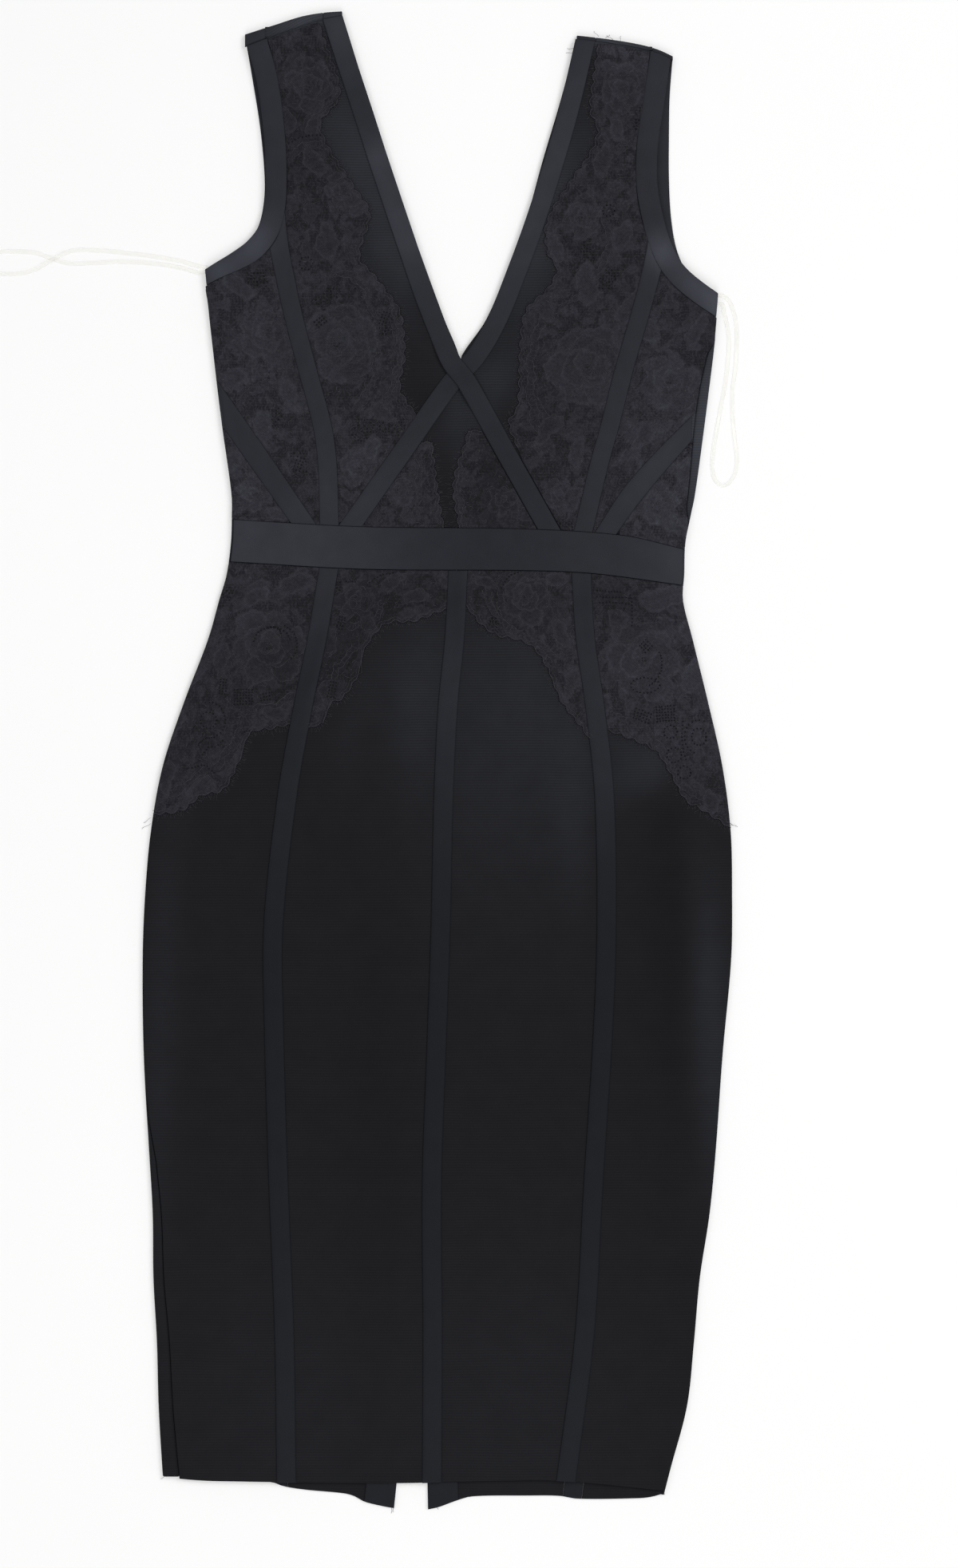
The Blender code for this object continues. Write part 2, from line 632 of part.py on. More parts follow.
def front_skirt(cloth, band_cloth):
    """The four front skirt panels, with a band over each seam between them."""
    seams = (SEAM_LEFT, BAND_LEFT, BAND_CENTRE, BAND_RIGHT, SEAM_RIGHT)
    names = ("side_left", "centre_left", "centre_right", "side_right")
    for name, left, right in zip(names, seams, seams[1:]):
        edges = shifted(left, SEAM_GAP / 2), shifted(right, -SEAM_GAP / 2)
        grid = between(*edges, HEM_FRONT, BELOW_WAIST, 3, 14)
        sew(f"front_skirt_{name}", at(grid, front_level), KNIT_WALL, cloth)
    for name, line in (("left", BAND_LEFT), ("centre", BAND_CENTRE), ("right", BAND_RIGHT)):
        edges = shifted(line, -SKIRT_BAND / 2), shifted(line, SKIRT_BAND / 2)
        grid = between(*edges, HEM_FRONT, BELOW_WAIST, 1, 14)
        sew(f"skirt_band_{name}", at(grid, trim_level), TRIM_WALL, band_cloth)


def front_bodice(cloth):
    """The front's bust panels, side panels and the triangle below the crossing."""
    near, away = SEAM_GAP / 2, -SEAM_GAP / 2
    pieces = (
        ("front_bust_left", shifted(BUST_OUTER_LEFT, near), BUST_INNER_LEFT, shoulder_seam(-1), 3, 17),
        ("front_bust_right", BUST_INNER_RIGHT, shifted(BUST_OUTER_RIGHT, away), shoulder_seam(1), 3, 17),
        ("front_side_left", SEAM_LEFT, shifted(BUST_OUTER_LEFT, away), ARMHOLE_FOOT_LEFT, 3, 10),
        ("front_side_right", shifted(BUST_OUTER_RIGHT, near), SEAM_RIGHT, ARMHOLE_FOOT_RIGHT, 3, 10),
        ("front_centre", CENTRE_LEFT, CENTRE_RIGHT, always(CENTRE_TOP), 4, 6),
    )
    for name, left, right, top, columns, rows in pieces:
        grid = between(left, right, ABOVE_WAIST, top, columns, rows)
        sew(name, at(grid, front_level), KNIT_WALL, cloth)


def front_bands(band_cloth):
    """The waistband, and the bands round the neck and armholes, down the bust and from the sides."""
    waist = between(SEAM_LEFT, SEAM_RIGHT, WAIST_LOW, WAIST_HIGH, 12, 2)
    sew("waistband_front", at(waist, waistband_level), WAISTBAND_WALL, band_cloth)

    for side, line, level in ((-1, NECK_LINE_LEFT, crossing_level), (1, NECK_LINE_RIGHT, trim_level)):
        grid = strip(line, NECK_BAND, 22)
        grid = cut_end(cut_end(grid, shoulder_seam(side), 0), ABOVE_WAIST, -1)
        sew("neck_band_left" if side < 0 else "neck_band_right", at(grid, level), TRIM_WALL, band_cloth)

    for side, line in ((-1, ARM_LINE_LEFT), (1, ARM_LINE_RIGHT)):
        grid = cut_end(strip(line, ARMHOLE_BAND, 14), shoulder_seam(side), -1)
        name = "armhole_band_left" if side < 0 else "armhole_band_right"
        sew(name, at(grid, trim_level), TRIM_WALL, band_cloth)

    half = PRINCESS_BAND / 2
    princess = (("left", PRINCESS_LEFT, ARM_FOOT_LEFT), ("right", PRINCESS_RIGHT, ARM_FOOT_RIGHT))
    for name, line, top in princess:
        grid = between(shifted(line, -half), shifted(line, half), ABOVE_WAIST, top, 1, 10)
        sew(f"princess_band_{name}", at(grid, trim_level), TRIM_WALL, band_cloth)

    for name, rows in (("left", DIAGONAL_LEFT), ("right", DIAGONAL_RIGHT)):
        grid = cut_end([list(row) for row in rows], ABOVE_WAIST, -1)
        sew(f"side_band_{name}", at(grid, trim_level), TRIM_WALL, band_cloth)


def lace_panels(lace):
    """The lace between the bands: on the bust, the sides, the centre and the hips."""
    beside = PRINCESS_BAND / 2 + SEAM_GAP
    by_band = SKIRT_BAND / 2 + SEAM_GAP
    tail = TAIL_HALF + SEAM_GAP

    def bust_left(y):
        return min(LACE_NECK_LEFT(y), TAIL_LEFT(y) - tail)

    def bust_right(y):
        return max(LACE_NECK_RIGHT(y), TAIL_RIGHT(y) + tail)

    def bust_far_left(y):
        return PRINCESS_LEFT(y) + beside if y < PRINCESS_TOP_LEFT else LACE_ARM_LEFT(y)

    def bust_far_right(y):
        return PRINCESS_RIGHT(y) - beside if y < PRINCESS_TOP_RIGHT else LACE_ARM_RIGHT(y)

    above, tip = ABOVE_WAIST, always(LACE_TIP)
    shoulder_left = shifted(SEAM_TOP_LEFT, -LACE_SHORT_LEFT)
    shoulder_right = shifted(FOLD_TOP_RIGHT, -LACE_SHORT_RIGHT)
    over_left = shifted(OVER_DIAGONAL_LEFT, SEAM_GAP)
    over_right = shifted(OVER_DIAGONAL_RIGHT, SEAM_GAP)
    under_left = shifted(UNDER_DIAGONAL_LEFT, -SEAM_GAP)
    under_right = shifted(UNDER_DIAGONAL_RIGHT, -SEAM_GAP)
    inner_left, inner_right = always(SIDE_LACE_INNER_LEFT), always(SIDE_LACE_INNER_RIGHT)
    top_left, top_right = always(CENTRE_LACE_TOP_LEFT), always(CENTRE_LACE_TOP_RIGHT)
    sides = shifted(SEAM_LEFT, LACE_SEAM_INSET), shifted(SEAM_RIGHT, -LACE_SEAM_INSET)
    centre_near, centre_far = shifted(BAND_CENTRE, -by_band), shifted(BAND_CENTRE, by_band)
    pieces = (
        ("bust_left", bust_far_left, bust_left, tip, shoulder_left, 3, 18),
        ("bust_right", bust_right, bust_far_right, above, shoulder_right, 3, 18),
        ("side_left", sides[0], shifted(PRINCESS_LEFT, -beside), over_left, ARM_FOOT_LEFT, 4, 6),
        ("side_right", shifted(PRINCESS_RIGHT, beside), sides[1], over_right, ARM_FOOT_RIGHT, 4, 6),
        ("side_low_left", sides[0], inner_left, above, under_left, 3, 3),
        ("side_low_right", inner_right, sides[1], above, under_right, 3, 3),
        ("centre_left", shifted(TAIL_LEFT, tail), LACE_CENTRE_LEFT, above, top_left, 3, 4),
        ("centre_right", LACE_CENTRE_RIGHT, shifted(TAIL_RIGHT, -tail), above, top_right, 3, 4),
        ("hip_side_left", sides[0], shifted(BAND_LEFT, -by_band), HIP_SIDE_LEFT, BELOW_WAIST, 8, 6),
        ("hip_left", shifted(BAND_LEFT, by_band), centre_near, HIP_LEFT, BELOW_WAIST, 10, 4),
        ("hip_right", centre_far, shifted(BAND_RIGHT, -by_band), HIP_RIGHT, BELOW_WAIST, 10, 4),
        ("hip_side_right", shifted(BAND_RIGHT, by_band), sides[1], HIP_SIDE_RIGHT, BELOW_WAIST, 8, 6),
    )
    for name, left, right, bottom, top, columns, rows in pieces:
        grid = between(left, right, bottom, top, columns, rows)
        sew(f"lace_{name}", at(grid, trim_level), TRIM_WALL, lace)


def hanger_loops(tape):
    """Flat tape loops that lie beside the dress; the left one crosses over itself once."""
    for name, line, crossing in (("left", LOOP_LEFT, LOOP_CROSSING), ("right", LOOP_RIGHT, None)):
        grid = strip(line, LOOP_TAPE, LOOP_ROWS)
        solid = []
        for index, row in enumerate(grid):
            over = crossing is not None and index < LOOP_ROWS / 2
            rise = [hump(x, y, crossing, LOOP_CROSSING_REACH) if over else 0.0 for x, y in row]
            lifted = TAPE_WALL / 2 + (TAPE_WALL + LAYER_GAP) * max(rise)
            solid.append([(x, y, lifted) for x, y in row])
        sew(f"hanger_loop_{name}", solid, TAPE_WALL, tape)


def main():
    for old in list(bpy.data.objects):
        bpy.data.objects.remove(old)
    cloth = knit("black knit", (0.016, 0.017, 0.020), 0.85)
    band_cloth = knit("black band knit", (0.030, 0.030, 0.036), 0.75)
    lace = knit("black lace", (0.022, 0.022, 0.027), 0.90)
    tape = knit("clear tape", (0.85, 0.86, 0.84), 0.35)
    for side in (-1, 1):
        back_skirt(side, cloth, band_cloth)
        back_bodice(side, cloth, band_cloth)
    front_skirt(cloth, band_cloth)
    front_bodice(cloth)
    front_bands(band_cloth)
    lace_panels(lace)
    hanger_loops(tape)


main()
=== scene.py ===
"""A fitted knit dress with lace appliques, laid flat with its front up: its cloth, lace and studio.

Plan sizes are millimetres until a mesh is made. X runs across the dress, +Y runs from the hem to
the shoulders and +Z is up, out of the front. Left is -X, as seen from above.
"""

import logging
from collections.abc import Callable, Iterable, Sequence
from dataclasses import dataclass, field
from enum import Enum
from math import cos, pi, radians, sin
from typing import Any

import bpy
import numpy as np
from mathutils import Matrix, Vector


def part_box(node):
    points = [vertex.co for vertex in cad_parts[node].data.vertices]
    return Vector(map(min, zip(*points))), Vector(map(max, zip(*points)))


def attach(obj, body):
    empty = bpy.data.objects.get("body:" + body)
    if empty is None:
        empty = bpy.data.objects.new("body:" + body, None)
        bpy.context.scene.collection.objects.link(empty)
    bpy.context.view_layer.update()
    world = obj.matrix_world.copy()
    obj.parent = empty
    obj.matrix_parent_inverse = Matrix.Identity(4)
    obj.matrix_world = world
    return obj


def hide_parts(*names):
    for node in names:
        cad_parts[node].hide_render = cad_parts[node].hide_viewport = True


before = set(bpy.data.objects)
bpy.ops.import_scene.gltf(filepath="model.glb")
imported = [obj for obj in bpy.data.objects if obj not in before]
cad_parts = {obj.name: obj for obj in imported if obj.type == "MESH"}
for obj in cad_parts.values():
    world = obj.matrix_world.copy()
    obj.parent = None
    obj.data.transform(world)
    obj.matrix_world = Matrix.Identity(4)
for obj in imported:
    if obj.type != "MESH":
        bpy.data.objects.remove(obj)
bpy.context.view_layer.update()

MM = 0.001
BODY = "root"
CLOTH_MAP = "cloth"
LOG = logging.getLogger("dress")

Array = np.ndarray
Edge = Callable[[Array], Array]


class Side(Enum):
    """A side of the dress, as seen from above."""

    LEFT = -1
    RIGHT = 1

    @property
    def word(self) -> str:
        """The side's word in the names of pieces."""
        return self.name.lower()


class Run(Enum):
    """Which way a piece's knit courses run."""

    ACROSS_DRESS = "across"
    ALONG_PIECE = "along"


# ---------------------------------------------------------------- curves, mounds and grids


@dataclass(frozen=True)
class Curve:
    """A smooth line through (position, value) knots, read by its position."""

    knots: tuple[tuple[float, float], ...]

    def __call__(self, position: Array | float) -> Array:
        """Reads the line.

        Args:
            position: Where to read it; past its ends it runs on straight.

        Returns:
            The values there, in an array of the same shape.
        """
        place, value = np.array(sorted(self.knots), float).T
        slope = np.gradient(value)
        slope[1:-1] = (value[2:] - value[:-2]) / (place[2:] - place[:-2])
        slope[0] = (value[1] - value[0]) / (place[1] - place[0])
        slope[-1] = (value[-1] - value[-2]) / (place[-1] - place[-2])
        at = np.asarray(position, float)
        index = np.clip(np.searchsorted(place, at) - 1, 0, len(place) - 2)
        span, rise = place[index + 1] - place[index], value[index + 1] - value[index]
        t = (at - place[index]) / span
        bend = (1 - t) * slope[index] * span - t * slope[index + 1] * span + (2 * t - 1) * rise
        inside = value[index] + t * rise + t * (1 - t) * bend
        before = value[0] + slope[0] * (at - place[0])
        after = value[-1] + slope[-1] * (at - place[-1])
        return np.where(at < place[0], before, np.where(at > place[-1], after, inside))


def line(*knots: tuple[float, float]) -> Curve:
    """A smooth line through the given knots."""
    return Curve(tuple(knots))


def column(table: Sequence[Sequence[float]], value: int) -> Curve:
    """One column of a table against its first one."""
    return Curve(tuple((row[0], row[value]) for row in table))


def moved(edge: Edge, distance: float) -> Edge:
    """An edge moved by a distance."""
    return lambda at: edge(at) + distance


def always(value: float) -> Edge:
    """An edge at one value everywhere."""
    return lambda at: np.full(np.shape(at), float(value))


# How broad the top of a hump is; above 1, it is flat on top.
HUMP_BREADTH = 1.7


def hump(x: Array, y: Array, middle: tuple[float, float], reach: float) -> Array:
    """A low hump from 0 to 1 round a middle, where one thing lies over another."""
    share = np.hypot(x - middle[0], y - middle[1]) / reach
    return np.minimum(1.0, HUMP_BREADTH * (1 - share**2) ** 2 * (1 + 2 * share**2)) * (share < 1)


def eased(value: Array) -> Array:
    """A share from 0 to 1, with a gentle start and end."""
    share = np.clip(value, 0.0, 1.0)
    return share * share * (3 - 2 * share)


def seen_from(x: Array, y: Array, middle: tuple[float, float], turn: float) -> tuple[Array, Array]:
    """Plan places as distances along a direction and to its left.

    Args:
        x: How far across the dress the places are.
        y: How far up it they are.
        middle: Where the distances start.
        turn: The direction, in degrees from +X.

    Returns:
        The distances along the direction, and to its left.
    """
    way_x, way_y = cos(radians(turn)), sin(radians(turn))
    return ((x - middle[0]) * way_x + (y - middle[1]) * way_y,
            (y - middle[1]) * way_x - (x - middle[0]) * way_y)


@dataclass(frozen=True)
class Mound:
    """A soft oval bump of any quantity, such as height or shade; a negative one is a trough."""

    x: float
    y: float
    turn: float
    half_length: float
    half_width: float
    height: float

    def lift(self, x: Array, y: Array) -> Array:
        """Its height at plan places."""
        along, across = seen_from(x, y, (self.x, self.y), self.turn)
        return self.height * np.exp(-((along / self.half_length) ** 2) - (across / self.half_width) ** 2)


def mounds(*rows: tuple[float, float, float, float, float, float]) -> tuple[Mound, ...]:
    """Mounds from rows of x, y, turn, half length, half width and height."""
    return tuple(Mound(*row) for row in rows)


def heaped(rows: Iterable[Mound], x: Array, y: Array) -> Array:
    """The sum of some mounds at plan places."""
    return sum((row.lift(x, y) for row in rows), np.zeros(np.broadcast(x, y).shape))


@dataclass(frozen=True)
class Spacing:
    """Where a grid's lines lie between two edges: a few close to each edge, and even ones between."""

    pitch: float
    lips: tuple[float, ...] = (0.0, 0.25, 0.8)

    def shares(self, span: float) -> tuple[Array, Array]:
        """The lines between two edges.

        Args:
            span: The widest distance between the edges.

        Returns:
            Each line's share of the way across, and its distance added to that.
        """
        last = self.lips[-1]
        count = max(2, round((span - 2 * last) / self.pitch))
        middle = np.linspace(0, 1, count + 1)[1:-1]
        share = np.concatenate([np.zeros(len(self.lips)), middle, np.ones(len(self.lips))])
        add = np.concatenate([self.lips, last * (1 - 2 * middle), -np.array(self.lips[::-1])])
        return share, add


# How many times a lip's width two edges lie apart where the lines beside them start to close up,
# how often a grid is fitted to its four edges, and how far it moves each time.
LIP_ROOM = 8.0
EDGE_PASSES = 30
EDGE_EASE = 0.7


def placed(low: Array, high: Array, share: Array, add: Array) -> Array:
    """Positions between two edges; the lines beside the edges close up where the edges meet."""
    room = np.clip((high - low) / (LIP_ROOM * max(float(np.abs(add).max()), 0.1)), 0.02, 1.0)
    return low + (high - low) * share + add * room




def between(left: Edge, right: Edge, bottom: Edge, top: Edge, across: Spacing, up: Spacing,
            width: float, height: float) -> Array:
    """A grid of plan points inside four edges.

    Args:
        left: The left edge, x by height.
        right: The right edge, x by height.
        bottom: The bottom edge, height by x.
        top: The top edge, height by x.
        across: The spacing of the columns.
        up: The spacing of the rows.
        width: The widest distance between left and right.
        height: The widest distance between bottom and top.

    Returns:
        An array of rows, columns and (x, y).
    """
    share_x, add_x = (part[None, :] for part in across.shares(width))
    share_y, add_y = (part[:, None] for part in up.shares(height))
    x = np.zeros((share_y.size, share_x.size))
    y = x + (bottom(np.array(0.0)) + top(np.array(0.0))) / 2
    for _ in range(EDGE_PASSES):
        x = x + EDGE_EASE * (placed(left(y), right(y), share_x, add_x) - x)
        y = y + EDGE_EASE * (placed(bottom(x), top(x), share_y, add_y) - y)
    return np.stack([x, y], axis=-1)


# How often the search for a band's cut end steps along the band, and its longest step as a share.
CUT_PASSES = 12
CUT_STRIDE = 0.2


@dataclass(frozen=True)
class Ribbon:
    """A band of cloth with an edge line on each side, read by the share along it and across it."""

    near: tuple[Curve, Curve]
    far: tuple[Curve, Curve]
    length: float
    width: float

    def at(self, along: Array, across: Array) -> Array:
        """The plan places at shares along and across the band."""
        near, far = (np.stack([edge[0](along), edge[1](along)], axis=-1) for edge in (self.near, self.far))
        return near + (far - near) * across[..., None]

    def side_line(self, across: float, by_height: bool) -> Curve:
        """The line along the band at a share across it, for a band that doesn't turn back.

        Args:
            across: The share across the band.
            by_height: Whether the line is x by height; otherwise it is height by x.

        Returns:
            The line.
        """
        points = self.at(np.linspace(0, 1, 40), np.full(40, across))
        return Curve(tuple(tuple(point) for point in (points[:, ::-1] if by_height else points)))

    def cut_at(self, across: Array, guess: float, edge: Edge) -> Array:
        """Finds where the band meets an edge across the dress.

        Args:
            across: The shares across the band of the lines to follow.
            guess: About how far along the band the edge is.
            edge: The edge, height by x.

        Returns:
            How far along each line the edge is.
        """
        along, step = np.full(across.shape, guess), 1e-3
        for _ in range(CUT_PASSES):
            here, there = self.at(along, across), self.at(along + step, across)
            miss = here[..., 1] - edge(here[..., 0])
            slope = (there[..., 1] - edge(there[..., 0]) - miss) / step
            along = along - np.clip(miss / slope, -CUT_STRIDE, CUT_STRIDE)
        return along

    def grid(self, across: Spacing, up: Spacing, start: Edge | None = None, end: Edge | None = None) -> Array:
        """The band's plan grid.

        Args:
            across: The spacing of the columns.
            up: The spacing of the rows.
            start: A line across the dress that cuts the band's start.
            end: A line across the dress that cuts the band's end.

        Returns:
            An array of rows, columns and (x, y).
        """
        share_x, add_x = across.shares(self.width)
        share_y, add_y = (part[:, None] for part in up.shares(self.length))
        side = share_x + add_x / self.width
        first = self.cut_at(side, 0.0, start) if start else np.zeros(side.shape)
        last = self.cut_at(side, 1.0, end) if end else np.ones(side.shape)
        along = first + (last - first) * (share_y + add_y / self.length)
        return self.at(along, np.broadcast_to(side, along.shape))


def distances(points: Array) -> Array:
    """How far along a run of plan points each one is."""
    return np.concatenate([[0.0], np.cumsum(np.hypot(*np.diff(points, axis=0).T))])


def chord_shares(points: Array) -> Array:
    """How far along a run of plan points each one is, from 0 to 1."""
    return distances(points) / distances(points)[-1]


def right_of(points: Array) -> Array:
    """The unit plan directions to the right of a run of points."""
    ahead = np.gradient(points, axis=0)
    return np.stack([ahead[:, 1], -ahead[:, 0]], axis=-1) / np.maximum(np.hypot(*ahead.T), 1e-9)[:, None]


def smooth_path(points: Array, count: int) -> Array:
    """Smooths a run of points.

    Args:
        points: The points, with a height or without.
        count: How many steps to divide the smooth line into.

    Returns:
        count + 1 points along a smooth line through the given ones.
    """
    share, at = chord_shares(points[:, :2]), np.linspace(0, 1, count + 1)
    return np.stack([Curve(tuple(zip(share, part)))(at) for part in points.T], axis=-1)


def ribbon_of(share: Array, edges: Sequence[Array], middle: Array, width: float) -> Ribbon:
    """A band from its two edges' points, at shares along it, and its middle's points."""
    near, far = (tuple(Curve(tuple(zip(share, part))) for part in edge.T) for edge in edges)
    return Ribbon(near, far, float(distances(middle)[-1]), width)


# The share of a band's length over which it widens from its start, and the steps along it.
STRIP_START = 0.25
STRIP_STEPS = 60


def strip(route: Sequence[tuple[float, float]], width: float, start: float | None = None) -> Ribbon:
    """A band along the middle line through a route's points.

    Args:
        route: The points.
        width: The band's width.
        start: Its width at the route's start, where that is narrower.

    Returns:
        The band.
    """
    middle = smooth_path(np.array(route, float), STRIP_STEPS)
    share = np.linspace(0, 1, len(middle))
    widths = width + ((start or width) - width) * (1 - eased(share / STRIP_START))
    side = right_of(middle) * (widths / 2)[:, None]
    return ribbon_of(share, (middle - side, middle + side), middle, width)


def ruled(rows: Sequence[tuple[tuple[float, float], tuple[float, float]]]) -> Ribbon:
    """A band through rows that each give its two edges' points.

    Args:
        rows: The rows.

    Returns:
        The band, whose width is its least.
    """
    table = np.array(rows, float)
    middle = table.mean(axis=1)
    width = float(np.hypot(*(table[:, 1] - table[:, 0]).T).min())
    return ribbon_of(chord_shares(middle), (table[:, 0], table[:, 1]), middle, width)


def raised(plan: Array, level: Callable[[Array, Array], Array]) -> Array:
    """Lifts a plan grid to a level."""
    return np.concatenate([plan, level(plan[..., 0], plan[..., 1])[..., None]], axis=-1)


# ---------------------------------------------------------------- meshes


def add_mesh(name: str, points: Array, faces: Sequence[Array], material: bpy.types.Material,
             cloth_map: Array | None = None, marks: dict[str, Array] | None = None) -> bpy.types.Object:
    """Makes one smooth-shaded piece from arrays.

    Args:
        name: The piece's name.
        points: Its points, in millimetres.
        faces: Arrays of its faces, as rows of point numbers, all of one length in an array.
        material: Its finish.
        cloth_map: Each point's place on its flat cloth, in millimetres, kept as a UV map in metres.
        marks: Named numbers for each point, which the finish reads.

    Returns:
        The new object.
    """
    mesh = bpy.data.meshes.new(name)
    corners = np.concatenate([part.ravel() for part in faces]).astype(np.int32)
    sizes = np.concatenate([np.full(len(part), part.shape[1], np.int32) for part in faces])
    mesh.vertices.add(len(points))
    mesh.vertices.foreach_set("co", (points * MM).astype(np.float32).ravel())
    mesh.loops.add(len(corners))
    mesh.loops.foreach_set("vertex_index", corners)
    mesh.polygons.add(len(sizes))
    mesh.polygons.foreach_set("loop_start", (np.cumsum(sizes) - sizes).astype(np.int32))
    mesh.polygons.foreach_set("use_smooth", np.ones(len(sizes), bool))
    mesh.update(calc_edges=True)
    if cloth_map is not None:
        layer = mesh.uv_layers.new(name=CLOTH_MAP)
        layer.uv.foreach_set("vector", (cloth_map[corners] * MM).astype(np.float32).ravel())
    for mark, values in (marks or {}).items():
        attribute = mesh.attributes.new(mark, "FLOAT", "POINT")
        attribute.data.foreach_set("value", values.astype(np.float32).ravel())
    mesh.materials.append(material)
    mesh.validate()
    piece = bpy.data.objects.new(name, mesh)
    bpy.context.scene.collection.objects.link(piece)
    return piece


def grid_faces(rows: int, columns: int, first: int = 0) -> Array:
    """The faces of a grid of points, as seen with its columns to the right and its rows up.

    Args:
        rows: How many rows of points it has.
        columns: How many columns.
        first: The number of its first point.

    Returns:
        The faces, as rows of four point numbers.
    """
    corner = first + (np.arange(rows - 1)[:, None] * columns + np.arange(columns - 1)).ravel()
    return np.stack([corner, corner + 1, corner + columns + 1, corner + columns], axis=-1)


def along_rows(grid: Array) -> Array:
    """How far along its row each point of a grid is."""
    step = np.linalg.norm(np.diff(grid, axis=1), axis=-1)
    return np.concatenate([np.zeros((len(grid), 1)), np.cumsum(step, axis=1)], axis=1)


def from_rim(grid: Array) -> Array:
    """How far each point of a grid is from the grid's nearest edge, measured along the cloth.

    Args:
        grid: The grid.

    Returns:
        A distance for each point.
    """
    across, up = along_rows(grid), along_rows(grid.swapaxes(0, 1)).T
    across = np.minimum(across, across[:, -1:] - across)
    up = np.minimum(up, up[-1:] - up)
    return np.minimum(across, up)


def normals_of(grid: Array) -> Array:
    """The unit normals of a grid's surface.

    Args:
        grid: The grid.

    Returns:
        A direction for each point, up where the grid's columns run to the right and its rows up.
    """
    across, up = np.gradient(grid, axis=1), np.gradient(grid, axis=0)
    normal = np.cross(across, up)
    return normal / np.maximum(np.linalg.norm(normal, axis=-1, keepdims=True), 1e-9)


# A piece's thickness at its very edge, as a share of its wall.
RIM_WALL = 0.3


@dataclass
class Cloth:
    """A piece of cloth: the grid of its middle surface, made into a closed thin shell with soft edges."""

    name: str
    middle: Array
    wall: float
    finish: bpy.types.Material
    slot: str
    run: Run = Run.ACROSS_DRESS
    lip: float = 0.8
    press: float = 0.0
    press_reach: float = 2.2
    relief: Array | None = None
    marks: dict[str, Array] = field(default_factory=dict)

    def cloth_map(self) -> Array:
        """Each grid point's place on the flat cloth, in millimetres.

        Returns:
            The distances across and up: with the dress's own directions, or along the piece.
        """
        middle = self.middle.shape[1] // 2
        if self.run is Run.ALONG_PIECE:
            across = along_rows(self.middle)
            up = along_rows(self.middle.swapaxes(0, 1)).mean(axis=0)[:, None]
            return np.stack(np.broadcast_arrays(across - across[:, middle:middle + 1], up), axis=-1)
        across = along_rows(self.middle[..., ::2])
        across += (self.middle[..., 0] - across)[:, middle:middle + 1]
        up = along_rows(self.middle[..., 1:].swapaxes(0, 1)).T + self.middle[:1, :, 1]
        return np.stack([across, up], axis=-1)

    def flat_cut(self) -> tuple[float, float, float]:
        """Measures the flat piece.

        Returns:
            Its width and length in metres, and its area in square metres.
        """
        grid = self.middle
        one, two = grid[1:, 1:] - grid[:-1, :-1], grid[1:, :-1] - grid[:-1, 1:]
        area = float(np.linalg.norm(np.cross(one, two), axis=-1).sum() / 2)
        if self.run is Run.ACROSS_DRESS:
            flat = self.cloth_map().reshape(-1, 2)
            wide, long = (float(size) for size in flat.max(axis=0) - flat.min(axis=0))
        else:
            ahead = np.gradient(grid, axis=0)
            ahead /= np.linalg.norm(ahead, axis=-1, keepdims=True)
            steps = np.linalg.norm(np.cross(np.diff(grid, axis=1), ahead[:, 1:]), axis=-1)
            wide = float(steps.sum(axis=1).max())
            long = float(along_rows(grid.swapaxes(0, 1))[:, -1].max())
        return wide * MM, long * MM, area * MM * MM

    def sew(self) -> bpy.types.Object:
        """Makes the piece.

        Returns:
            The new object, riding on the body with its finish.
        """
        grid, rim = self.middle.copy(), from_rim(self.middle)
        rows, columns = grid.shape[:2]
        grid[..., 2] -= self.press * (1 - eased(rim / self.press_reach))
        edge = np.clip(1 - rim / self.lip, 0.0, 1.0)
        half = self.wall / 2 * (RIM_WALL + (1 - RIM_WALL) * np.sqrt(1 - edge**2))
        normal = normals_of(grid)
        extra = np.zeros_like(half) if self.relief is None else self.relief * eased(rim / self.press_reach)
        upper = grid + normal * (half + extra)[..., None]
        lower = grid - normal * half[..., None]
        count = rows * columns
        loop = np.concatenate([
            np.arange(columns), np.arange(1, rows) * columns + columns - 1,
            (rows - 1) * columns + np.arange(columns - 2, -1, -1), np.arange(rows - 2, 0, -1) * columns])
        ahead = np.roll(loop, -1)
        faces = (grid_faces(rows, columns), grid_faces(rows, columns, count)[:, ::-1],
                 np.stack([loop, loop + count, ahead + count, ahead], axis=-1))
        points = np.concatenate([upper.reshape(-1, 3), lower.reshape(-1, 3)])
        flat = np.tile(self.cloth_map().reshape(-1, 2), (2, 1))
        marks = {mark: np.tile(values.ravel(), 2) for mark, values in self.marks.items()}
        piece = add_mesh(self.name, points, faces, self.finish, flat, marks)
        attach(piece, BODY)
        return piece


